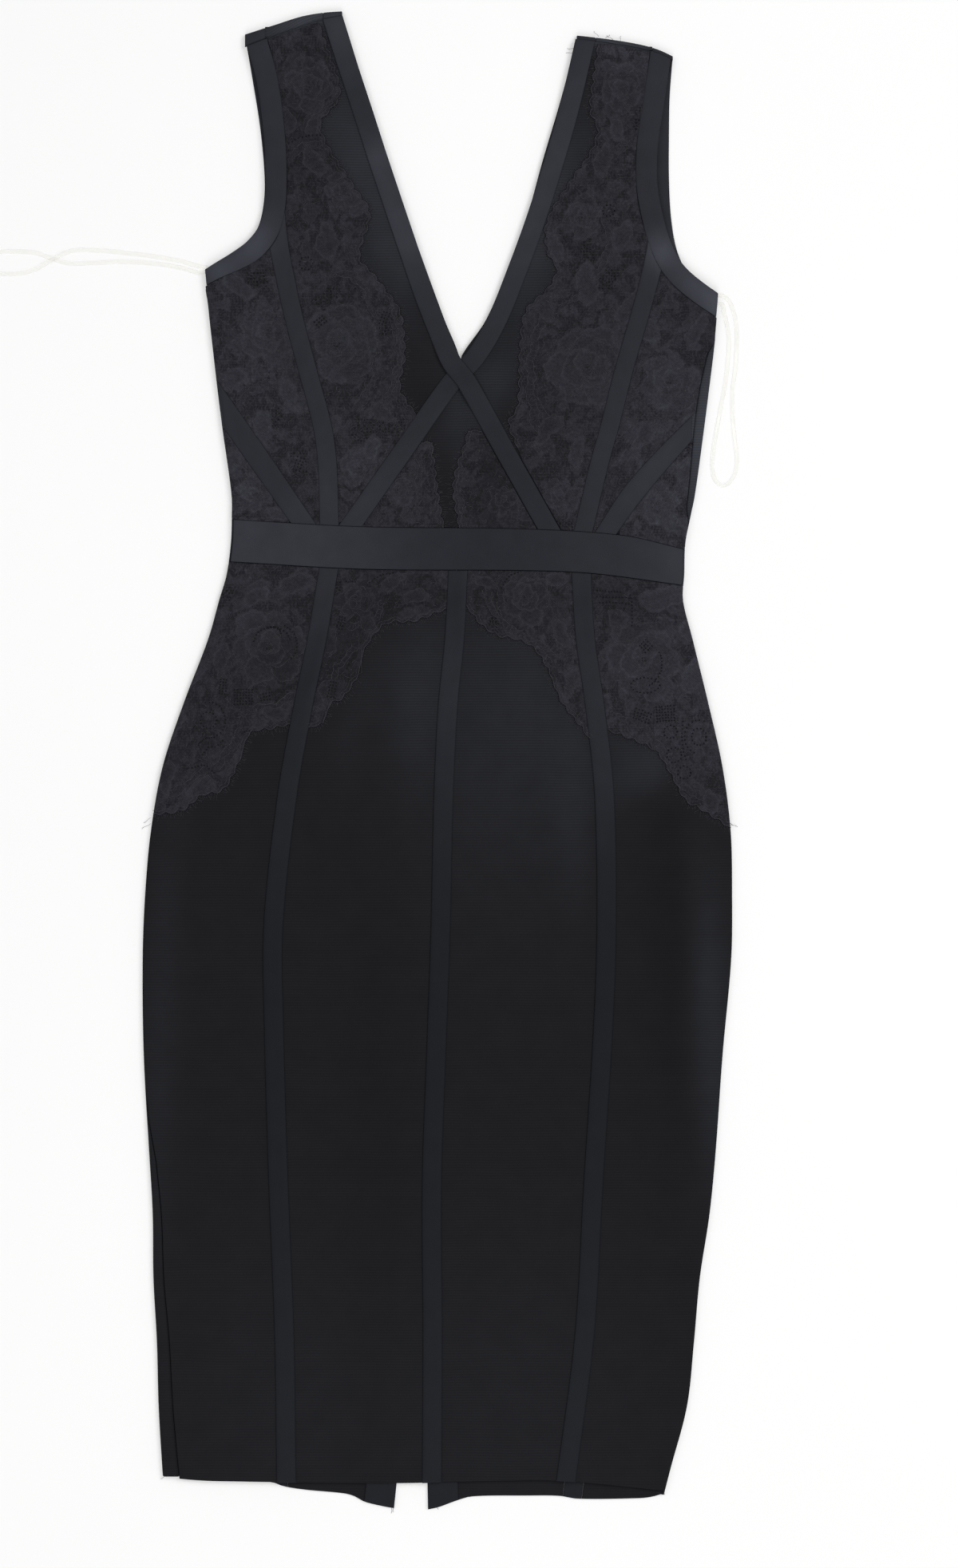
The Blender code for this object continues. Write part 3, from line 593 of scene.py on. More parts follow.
def tube(points: Array, radius: float, sides: int, first: int) -> tuple[Array, Array, Array]:
    """A closed round tube along a run of points.

    Args:
        points: The run, in millimetres.
        radius: The tube's radius.
        sides: How many sides it has.
        first: The number of its first point.

    Returns:
        Its points, its walls' faces of four corners and its ends' faces of three.
    """
    ahead = np.gradient(points, axis=0)
    ahead /= np.maximum(np.linalg.norm(ahead, axis=1, keepdims=True), 1e-9)
    flat = np.cross(ahead, (0.0, 0.0, 1.0))
    flat /= np.maximum(np.linalg.norm(flat, axis=1, keepdims=True), 1e-6)
    over = np.cross(flat, ahead)
    turn = np.arange(sides)[None, :, None] * 2 * pi / sides
    ring = radius * (np.cos(turn) * flat[:, None] + np.sin(turn) * over[:, None])
    body = (points[:, None] + ring).reshape(-1, 3)
    around, after = np.arange(sides), (np.arange(sides) + 1) % sides
    row = np.arange(len(points) - 1)[:, None] * sides
    walls = np.stack([row + around, row + after, row + after + sides, row + around + sides], axis=-1)
    start, last = np.full(sides, len(body)), len(body) - sides
    ends = np.concatenate([np.stack([start, after, around], axis=-1),
                           np.stack([start + 1, last + around, last + after], axis=-1)])
    return np.concatenate([body, points[:1], points[-1:]]), walls.reshape(-1, 4) + first, ends + first


def add_tubes(name: str, runs: Iterable[tuple[Array, float, int]],
              material: bpy.types.Material) -> bpy.types.Object:
    """Makes one piece of many tubes.

    Args:
        name: The piece's name.
        runs: Each tube's points, radius and number of sides.
        material: Its finish.

    Returns:
        The new object, riding on the body.
    """
    parts, first = [], 0
    for points, radius, sides in runs:
        parts.append(tube(points, radius, sides, first))
        first += len(parts[-1][0])
    vertices, walls, ends = (np.concatenate(group) for group in zip(*parts))
    piece = add_mesh(name, vertices, (walls, ends), material)
    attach(piece, BODY)
    return piece


# ---------------------------------------------------------------- finishes


def srgb(code: str) -> tuple[float, float, float, float]:
    """The linear colour of an sRGB hex code such as "1f2024"."""
    parts = [int(code[k:k + 2], 16) / 255 for k in (0, 2, 4)]
    return (*(p / 12.92 if p <= 0.04045 else ((p + 0.055) / 1.055) ** 2.4 for p in parts), 1.0)


def add_node(tree: bpy.types.NodeTree, kind: str, inputs: dict[str | int, Any] | None = None,
             **settings: Any) -> bpy.types.Node:
    """Adds one node.

    Args:
        tree: The material's tree.
        kind: The node's type, without its ShaderNode prefix.
        inputs: What each input is set to: a plain value, or another node's output socket.
        settings: The node's own settings.

    Returns:
        The new node.
    """
    node = tree.nodes.new("ShaderNode" + kind)
    for setting, value in settings.items():
        setattr(node, setting, value)
    for key, value in (inputs or {}).items():
        if isinstance(value, bpy.types.NodeSocket):
            tree.links.new(value, node.inputs[key])
        else:
            node.inputs[key].default_value = value
    return node


Pattern = tuple[bpy.types.NodeSocket, bpy.types.NodeSocket]


@dataclass(frozen=True)
class Finish:
    """What every finish shares: a pattern of colour and height, and how its surface takes light."""

    name: str = "plain cloth"
    roughness: float = 0.8
    specular: float = 0.3
    sheen: float = 0.0
    sheen_colour: str = "ffffff"
    depth: float = 0.1
    strength: float = 0.6

    def pattern(self, tree: bpy.types.NodeTree) -> Pattern:
        """Builds the finish's pattern.

        Args:
            tree: The material's tree.

        Returns:
            The sockets of its colour and its height.
        """
        raise NotImplementedError

    def cloth_place(self, tree: bpy.types.NodeTree) -> tuple[bpy.types.NodeSocket, ...]:
        """Reads a point's place on its flat cloth.

        Args:
            tree: The material's tree.

        Returns:
            The sockets of the whole vector, the distance across and the distance up.
        """
        place = add_node(tree, "UVMap", uv_map=CLOTH_MAP).outputs[0]
        split = add_node(tree, "SeparateXYZ", {0: place})
        return place, split.outputs[0], split.outputs[1]

    def repeat(self, tree: bpy.types.NodeTree, place: bpy.types.NodeSocket,
               pitch: float) -> bpy.types.NodeSocket:
        """A wave from -1 to 1 that repeats each pitch, in millimetres, along a place socket."""
        turn = add_node(tree, "Math", {0: place, 1: 2 * pi / (pitch * MM)}, operation="MULTIPLY")
        return add_node(tree, "Math", {0: turn.outputs[0]}, operation="SINE").outputs[0]

    def mottled(self, tree: bpy.types.NodeTree, colour: Any, place: bpy.types.NodeSocket, patch: float,
                spread: float, toned: bool = True) -> bpy.types.NodeSocket:
        """Varies a colour softly over patches, and by the piece's tone, which is painted light and shade.

        Args:
            tree: The material's tree.
            colour: A colour socket, or a linear colour.
            place: Where a point is.
            patch: The size of the patches, in millimetres.
            spread: How far the patches differ, as a share.
            toned: Whether the piece has tone marks of painted light and shade.

        Returns:
            The varied colour's socket.
        """
        cloud = add_node(tree, "TexNoise", {"Vector": place, "Scale": 1 / (patch * MM), "Detail": 3.0})
        amount = add_node(tree, "MapRange", {0: cloud.outputs[0], 1: 0.3, 2: 0.7, 3: 1 - spread,
                                             4: 1 + spread})
        if toned:
            tone = add_node(tree, "Attribute", attribute_name="tone")
            amount = add_node(tree, "Math", {0: tone.outputs["Fac"], 1: amount.outputs[0]},
                              operation="MULTIPLY")
        return add_node(tree, "VectorMath", {0: colour, "Scale": amount.outputs[0]},
                        operation="SCALE").outputs[0]

    def by_tone(self, tree: bpy.types.NodeTree, colours: tuple[str, str],
                tones: tuple[float, float]) -> bpy.types.NodeSocket:
        """A colour that goes over into another one as the piece's tone, its painted light, rises.

        Args:
            tree: The material's tree.
            colours: The colour where the tone is low, and where it is high.
            tones: The low and the high tone.

        Returns:
            The colour's socket.
        """
        tone = add_node(tree, "Attribute", attribute_name="tone").outputs["Fac"]
        share = add_node(tree, "MapRange", {0: tone, 1: tones[0], 2: tones[1], 3: 0.0, 4: 1.0}).outputs[0]
        return add_node(tree, "Mix", {0: share, 6: srgb(colours[0]), 7: srgb(colours[1])},
                        data_type="RGBA").outputs[2]

    def material(self) -> bpy.types.Material:
        """Builds the material.

        Returns:
            The new material, named for the real one.
        """
        made = bpy.data.materials.new(self.name)
        made.use_nodes = True
        tree = made.node_tree
        tree.nodes.clear()
        colour, height = self.pattern(tree)
        bump = add_node(tree, "Bump", {"Height": height, "Strength": self.strength,
                                       "Distance": self.depth * MM})
        shader = add_node(tree, "BsdfPrincipled", {
            "Base Color": colour, "Roughness": self.roughness, "Specular IOR Level": self.specular,
            "Sheen Weight": self.sheen, "Sheen Roughness": 0.45, "Sheen Tint": srgb(self.sheen_colour),
            "Normal": bump.outputs[0]})
        self.finish_shader(shader)
        add_node(tree, "OutputMaterial", {0: shader.outputs[0]})
        return made

    def finish_shader(self, shader: bpy.types.Node) -> None:
        """Sets what only this finish has on its shader."""


@dataclass(frozen=True)
class RibbedKnit(Finish):
    """Rayon bandage knit: fine raised courses across the cloth, with near-black furrows between them.

    Where the piece's painted light is high, the ridges are painted a little paler and bluer, a painted
    cool sheen; where it is low they are neutral.
    """

    name: str = "rayon bandage knit, ribbed"
    roughness: float = 0.8
    specular: float = 0.12
    sheen: float = 0.04
    sheen_colour: str = "9aa0b0"
    depth: float = 0.08
    strength: float = 0.3
    # The ridges' colour where the painted light is low, and where it is high; the cooler second one is
    # painted sheen.
    ridge: tuple[str, str] = ("1a191d", "191b1f")
    furrow: str = "161619"
    tones: tuple[float, float] = (0.75, 1.4)
    # The loops along a course are really about 0.6 mm apart, too fine to show, so they are drawn coarser.
    course: float = 1.8
    wale: float = 1.1

    def pattern(self, tree: bpy.types.NodeTree) -> Pattern:
        """Courses that sway a little, loops along them and fuzz.

        Args:
            tree: The material's tree.

        Returns:
            The sockets of its colour and its height.
        """
        place, across, up = self.cloth_place(tree)
        drift = add_node(tree, "TexNoise", {"Vector": place, "Scale": 16.0, "Detail": 2.0})
        sway = add_node(tree, "Math", {0: drift.outputs[0], 1: self.course * MM * 1.2, 2: up},
                        operation="MULTIPLY_ADD")
        rib = self.repeat(tree, sway.outputs[0], self.course)
        ribs = add_node(tree, "MapRange", {0: rib, 1: -1.0, 2: 1.0, 3: 0.0, 4: 1.0})
        loops = add_node(tree, "Math", {0: self.repeat(tree, across, self.wale), 1: 0.14,
                                        2: ribs.outputs[0]}, operation="MULTIPLY_ADD")
        fuzz = add_node(tree, "TexNoise", {"Vector": place, "Scale": 900.0, "Detail": 2.0})
        height = add_node(tree, "Math", {0: fuzz.outputs[0], 1: 0.5, 2: loops.outputs[0]},
                          operation="MULTIPLY_ADD")
        shade = add_node(tree, "Mix", {0: ribs.outputs[0], 6: srgb(self.furrow),
                                       7: self.by_tone(tree, self.ridge, self.tones)}, data_type="RGBA")
        return self.mottled(tree, shade.outputs[2], place, 18.0, 0.08), height.outputs[0]


@dataclass(frozen=True)
class BandKnit(Finish):
    """Tight rayon banding: a smooth knit with a hairline grain along it, cooler and paler than the ribs."""

    name: str = "rayon banding, tight knit"
    roughness: float = 0.7
    specular: float = 0.14
    sheen: float = 0.05
    sheen_colour: str = "a9b0c2"
    depth: float = 0.05
    strength: float = 0.5
    # The colour where the painted light is low, and where it is high: painted light and shade tint it.
    colours: tuple[str, str] = ("1f2229", "202126")
    tones: tuple[float, float] = (0.45, 1.1)
    # The grain is really about 0.5 mm apart, too fine to show, so it is drawn coarser.
    grain: float = 0.9

    def pattern(self, tree: bpy.types.NodeTree) -> Pattern:
        """A fine grain and fuzz.

        Args:
            tree: The material's tree.

        Returns:
            The sockets of its colour and its height.
        """
        place, across, _ = self.cloth_place(tree)
        fuzz = add_node(tree, "TexNoise", {"Vector": place, "Scale": 1300.0, "Detail": 2.0})
        height = add_node(tree, "Math", {0: self.repeat(tree, across, self.grain), 1: 0.4,
                                         2: fuzz.outputs[0]}, operation="MULTIPLY_ADD")
        colour = self.by_tone(tree, self.colours, self.tones)
        return self.mottled(tree, colour, place, 14.0, 0.07), height.outputs[0]


@dataclass(frozen=True)
class LaceCloth(Finish):
    """Nylon and rayon lace: smooth cool petals on a browner open ground of threads and small gaps.

    Petals are matt with a faint hatching; the ground is full of paler looped threads and dark gaps,
    which are painted darker than the knit with the shade inside them, and the courses of the knit
    beneath show through it.
    """

    name: str = "nylon and rayon lace"
    specular: float = 0.14
    sheen: float = 0.05
    sheen_colour: str = "b0acb8"
    depth: float = 0.2
    strength: float = 0.8
    worked: str = "26262c"
    ground: str = "1f1e23"
    # The gaps' colour: the dark knit beneath, painted darker with the shade inside each gap.
    hole: str = "0e0e10"
    # Threads of 0.2 to 0.3 mm are too fine to show, so the net, threads and loops are drawn coarser.
    mesh: float = 2.1
    thread: float = 0.8
    loop: float = 2.6
    clump: float = 3.0
    course: float = 1.8

    def pattern(self, tree: bpy.types.NodeTree) -> Pattern:
        """Petals, looped threads between them, net holes and the weave's specks.

        Args:
            tree: The material's tree.

        Returns:
            The sockets of its colour and its height.
        """
        place, _, up = self.cloth_place(tree)
        fill = add_node(tree, "Attribute", attribute_name="fill").outputs["Fac"]
        net = add_node(tree, "Attribute", attribute_name="net").outputs["Fac"]
        cells = add_node(tree, "TexVoronoi", {"Vector": place, "Scale": 1 / (self.mesh * MM),
                                              "Randomness": 0.45}, feature="DISTANCE_TO_EDGE")
        hole = add_node(tree, "MapRange", {0: cells.outputs[0], 1: 0.16, 2: 0.30, 3: 0.0, 4: 1.0})
        pierced = add_node(tree, "Math", {0: hole.outputs[0], 1: net}, operation="MULTIPLY").outputs[0]
        hatch = add_node(tree, "TexWave", {"Vector": place, "Scale": 1 / (self.thread * MM * 3.2),
                                           "Distortion": 3.0, "Detail": 2.0, "Detail Scale": 0.6},
                         bands_direction="DIAGONAL").outputs[1]
        looped = add_node(tree, "TexWave", {"Vector": place, "Scale": 1 / (self.loop * MM * 3.2),
                                            "Distortion": 16.0, "Detail": 1.0,
                                            "Detail Scale": 1.3}).outputs[1]
        speck = add_node(tree, "TexNoise", {"Vector": place, "Scale": 620.0, "Detail": 3.0,
                                            "Roughness": 0.65}).outputs[0]
        smooth = add_node(tree, "MapRange", {0: hatch, 1: 0.0, 2: 1.0, 3: 0.88, 4: 1.12}).outputs[0]
        clump = add_node(tree, "TexNoise", {"Vector": place, "Scale": 1 / (self.clump * MM),
                                            "Detail": 2.0}).outputs[0]
        gap = add_node(tree, "MapRange", {0: clump, 1: 0.35, 2: 0.65, 3: 0.8, 4: 1.13}).outputs[0]
        courses = add_node(tree, "MapRange", {0: self.repeat(tree, up, self.course), 1: -1.0, 2: 1.0,
                                              3: 0.87, 4: 1.13}).outputs[0]
        threads = add_node(tree, "MapRange", {0: looped, 1: 0.4, 2: 0.95, 3: 0.86, 4: 1.36}).outputs[0]
        strewn = add_node(tree, "Math", {0: gap, 1: threads}, operation="MULTIPLY").outputs[0]
        rough = add_node(tree, "Math", {0: strewn, 1: courses}, operation="MULTIPLY").outputs[0]
        texture = add_node(tree, "MapRange", {0: fill, 1: 0.2, 2: 0.8, 3: rough, 4: smooth}).outputs[0]
        grain = add_node(tree, "MapRange", {0: speck, 1: 0.3, 2: 0.72, 3: 0.68, 4: 1.36}).outputs[0]
        amount = add_node(tree, "Math", {0: texture, 1: grain}, operation="MULTIPLY").outputs[0]
        body = add_node(tree, "Mix", {0: fill, 6: srgb(self.ground), 7: srgb(self.worked)},
                        data_type="RGBA").outputs[2]
        # The gaps get the painted shade of the knit deep beneath them.
        colour = add_node(tree, "Mix", {0: pierced, 6: body, 7: srgb(self.hole)},
                          data_type="RGBA").outputs[2]
        woven = add_node(tree, "VectorMath", {0: colour, "Scale": amount}, operation="SCALE").outputs[0]
        raised_thread = add_node(tree, "Math", {0: texture, 1: 0.6, 2: speck}, operation="MULTIPLY_ADD")
        height = add_node(tree, "Math", {0: pierced, 1: -1.0, 2: raised_thread.outputs[0]},
                          operation="MULTIPLY_ADD").outputs[0]
        return self.mottled(tree, woven, place, 5.0, 0.16), height


@dataclass(frozen=True)
class ShadedEyelet(Finish):
    """The dark knit seen through an open eyelet, with the eyelet's shade painted in: almost black and quite
    dull.
    """

    name: str = "open eyelet, dark knit beneath"
    roughness: float = 0.9
    specular: float = 0.05
    colour: str = "161618"

    def pattern(self, tree: bpy.types.NodeTree) -> Pattern:
        """A faint fuzz.

        Args:
            tree: The material's tree.

        Returns:
            The sockets of its colour and its height.
        """
        place = add_node(tree, "TexCoord").outputs["Object"]
        fuzz = add_node(tree, "TexNoise", {"Vector": place, "Scale": 900.0}).outputs[0]
        return self.mottled(tree, srgb(self.colour)[:3], place, 6.0, 0.2, False), fuzz


@dataclass(frozen=True)
class Thread(Finish):
    """Twisted rayon thread: a soft lustre along it, so it reads a little paler than what it lies on."""

    name: str = "rayon thread, twisted"
    roughness: float = 0.6
    specular: float = 0.22
    sheen: float = 0.1
    sheen_colour: str = "b8b4c0"
    colour: str = "302f35"
    # The plies really turn each 0.4 mm, too fine to show, so they are drawn longer.
    twist: float = 0.9

    def pattern(self, tree: bpy.types.NodeTree) -> Pattern:
        """Plies that catch and lose the light.

        Args:
            tree: The material's tree.

        Returns:
            The sockets of its colour and its height.
        """
        place = add_node(tree, "TexCoord").outputs["Object"]
        ply = add_node(tree, "TexNoise", {"Vector": place, "Scale": 1 / (self.twist * MM), "Detail": 2.0})
        return self.mottled(tree, srgb(self.colour)[:3], place, self.twist, 0.5, False), ply.outputs[0]


@dataclass(frozen=True)
class ClearTape(Finish):
    """Clear polyurethane elastic: nearly invisible on white, a faint cream with small glints at its folds."""

    name: str = "polyurethane elastic, clear"
    roughness: float = 0.22
    specular: float = 0.5
    depth: float = 0.3
    colour: str = "f6f5ea"
    transmission: float = 0.35
    opacity: float = 0.18

    def pattern(self, tree: bpy.types.NodeTree) -> Pattern:
        """Fine crinkles.

        Args:
            tree: The material's tree.

        Returns:
            The sockets of its colour and its height.
        """
        place = add_node(tree, "TexCoord").outputs["Object"]
        crinkle = add_node(tree, "TexNoise", {"Vector": place, "Scale": 260.0, "Detail": 3.0})
        return self.mottled(tree, srgb(self.colour)[:3], place, 4.0, 0.03, False), crinkle.outputs[0]

    def finish_shader(self, shader: bpy.types.Node) -> None:
        """Lets some light through."""
        shader.inputs["Transmission Weight"].default_value = self.transmission
        shader.inputs["Alpha"].default_value = self.opacity


@dataclass(frozen=True)
class LightTable(Finish):
    """A matt white table, lit a little from below too, so that what lies on it throws only faint shadows."""

    name: str = "light table, matt white acrylic"
    roughness: float = 0.9
    specular: float = 0.1
    strength: float = 0.1
    colour: str = "cccccc"
    glow_colour: str = "f6f5f3"
    glow: float = 0.37

    def finish_shader(self, shader: bpy.types.Node) -> None:
        """Adds the light from below."""
        shader.inputs["Emission Color"].default_value = srgb(self.glow_colour)
        shader.inputs["Emission Strength"].default_value = self.glow

    def pattern(self, tree: bpy.types.NodeTree) -> Pattern:
        """A broad faint cloud and a fine tooth.

        Args:
            tree: The material's tree.

        Returns:
            The sockets of its colour and its height.
        """
        place = add_node(tree, "TexCoord").outputs["Object"]
        tooth = add_node(tree, "TexNoise", {"Vector": place, "Scale": 700.0})
        return self.mottled(tree, srgb(self.colour)[:3], place, 330.0, 0.006, False), tooth.outputs[0]


@dataclass(frozen=True)
class Finishes:
    """The dress's materials, built once."""

    rib: bpy.types.Material
    band: bpy.types.Material
    lace: bpy.types.Material
    shadedeyelet: bpy.types.Material
    thread: bpy.types.Material
    tape: bpy.types.Material


# ---------------------------------------------------------------- the pattern block


KNIT_WALL = 1.5
TRIM_WALL = 1.0
SEAM_GAP = 0.3
LAYER_GAP = 0.4
HOLLOW = 1.8
SHORTEST_STRIP = 0.6
SHOULDER_GAP = 0.1
WAIST_JOIN = 0.06
BACK_JOIN = 0.06
BACK_MARGIN = 1.0
BACK_LEVEL = KNIT_WALL / 2
FACING_LEVEL = KNIT_WALL + SEAM_GAP + TRIM_WALL / 2
FRONT_LEVEL = KNIT_WALL + HOLLOW + KNIT_WALL / 2
TRIM_RISE = KNIT_WALL / 2 + LAYER_GAP + TRIM_WALL / 2
# Grid lines beside a side seam, where the front bends down to it.
BEND_LIPS = (0.0, 0.2, 0.5, 0.9, 1.5, 2.3)
CROSSING_RISE = TRIM_WALL + LAYER_GAP
NECK_BAND = 13.4
ARMHOLE_BAND = 14.5
PRINCESS_BAND = 13.0
SKIRT_BAND = 13.2
SHOULDER_HEIGHT = 490.0
UNDERARM_SPAN = 14.0

# The armhole bands' width at the underarm, and the line that cuts them there, height by x.
ARMHOLE_BAND_END = {Side.LEFT: 9.5, Side.RIGHT: 14.5}
ARMHOLE_CUT = {Side.LEFT: line((-161, 352), (-157.5, 318)), Side.RIGHT: line((190.5, 290), (195.5, 345))}

# The sides below the underarm: height, left and right edge, and how far the back wraps past
# the left and the right fold.
SIDES = (
    (-515, -187, 154, 9.0, 0.6),
    (-489, -189, 160.6, 8.5, 0.6),
    (-445, -191.6, 172.2, 7.2, 0.6),
    (-401, -192.8, 177, 6.0, 0.6),
    (-357, -195.2, 181, 4.6, 0.6),
    (-313, -195.7, 187.7, 3.4, 0.6),
    (-269, -198.2, 192, 1.6, 0.6),
    (-203, -202, 196.7, 0.6, 0.6),
    (-137, -202.7, 202.6, 0.6, 0.6),
    (-93, -201, 203.2, 0.6, 0.6),
    (-49, -197, 202.2, 0.6, 0.6),
    (-5, -189, 196.6, 0.6, 0.6),
    (39, -174.4, 186.8, 0.6, 0.6),
    (83, -157.6, 176, 0.6, 0.6),
    (110, -150, 169.4, 0.6, 0.6),
    (127, -145, 170.3, 0.6, 0.6),
    (149, -142, 171, 0.6, 0.6),
    (165, -141.4, 174, 0.6, 1.2),
    (182, -141.5, 177.5, 0.6, 2.4),
    (226, -147.5, 183.6, 0.6, 4.4),
    (255, -151.2, 187.3, 0.6, 4.2),
    (288, -155, 191.3, 0.6, 1.0),
    (314, -158, 193.3, 0.6, 0.6),
    (336, -161, 194, 0.6, 0.6),
)

# The neck edges: height, left edge, right edge.
NECK_EDGES = (
    (277, 15.4, 16.6),
    (303, 5, 34),
    (358, -15, 57.2),
    (413, -34, 73),
    (457, -48, 86),
    (515, -66, 101),
)

# The middles of the three front skirt bands: height, left, centre, right.
SKIRT_BANDS = (
    (-497, -103.5, -3.5, 88.5),
    (-394, -105, -3, 101.5),
    (-291, -109, -3.5, 107.5),
    (-188, -112, 0, 114),
    (-115, -112.5, 2.5, 116.5),
    (-25, -103, 4.5, 115),
    (37, -92, 7.5, 108.5),
    (83, -82.5, 12, 102),
    (131, -74.5, 14.5, 99),
)

# The middles of the bodice's princess bands: height, left, right.
PRINCESS_BANDS = (
    (161, -74, 101.5),
    (205, -75.5, 112),
    (230, -79, 119),
    (266, -88.5, 128),
    (304, -98.5, 139),
    (332, -104.5, 146.5),
    (353, -108.5, 151),
    (384, -112, 155),
)

# The side bands' rows from the side seam down to the waistband: upper edge and lower edge.
DIAGONALS = {
    Side.LEFT: (((-151.6, 261.5), (-147.8, 229.5)), ((-115, 209), (-122, 193)), ((-84, 163), (-100, 162))),
    Side.RIGHT: (((175, 236), (175, 219)), ((150, 211), (154, 195)), ((128, 186), (137, 174)),
                 ((111, 160), (124, 156)))}

# The front's soft folds, which the solids under the cloth share: x, y, turn, half length, half
# width, height. The creases after them are the cloth's own.
FOLDS = mounds(
    (-62, 255, 100, 80, 50, 0.9), (98, 265, 80, 80, 50, 0.9), (-150, -60, 80, 130, 48, 1.0),
    (150, -70, 100, 130, 48, 1.1), (-30, -250, 93, 150, 60, 1.2), (70, -380, 100, 120, 55, 0.8),
    (-120, -400, 88, 110, 50, 0.7),
)
CREASES = mounds(
    (-60, 118, 8, 46, 5, -0.25), (40, 112, -6, 52, 6, 0.30), (130, 95, -14, 30, 6, -0.35),
    (148, 82, -18, 26, 5, 0.45), (-128, 92, 14, 26, 6, 0.35), (-60, -40, 70, 60, 16, 0.55),
    (55, -30, 97, 70, 18, 0.60), (20, -150, 84, 90, 22, -0.45), (150, -210, 92, 110, 18, 0.50),
    (-155, -230, 90, 120, 17, 0.45), (-60, -330, 86, 100, 20, -0.40), (35, -300, 95, 110, 18, 0.45),
    (-150, -440, 86, 60, 14, 0.40), (130, -430, 100, 60, 13, 0.40), (16, 210, 90, 60, 4, -0.35),
    (-30, 350, 108, 60, 14, 0.35), (68, 335, 74, 60, 14, 0.35), (-86, 420, 96, 70, 16, 0.35),
    (124, 410, 86, 66, 15, 0.30), (-120, 300, 60, 34, 9, -0.30), (158, 285, 118, 34, 9, -0.30),
    (-20, 205, 52, 40, 8, 0.25),
)
BACK_CREASES = mounds(
    (-100, -200, 88, 140, 16, 0.45), (90, -120, 93, 120, 15, 0.40), (-50, 40, 70, 60, 11, 0.35),
    (70, 30, 104, 70, 12, 0.35), (-90, 260, 80, 70, 12, 0.30), (110, 250, 98, 66, 12, 0.35),
    (-70, -380, 84, 90, 13, 0.40), (60, -390, 97, 80, 12, 0.35), (0, 200, 90, 60, 9, 0.25),
)


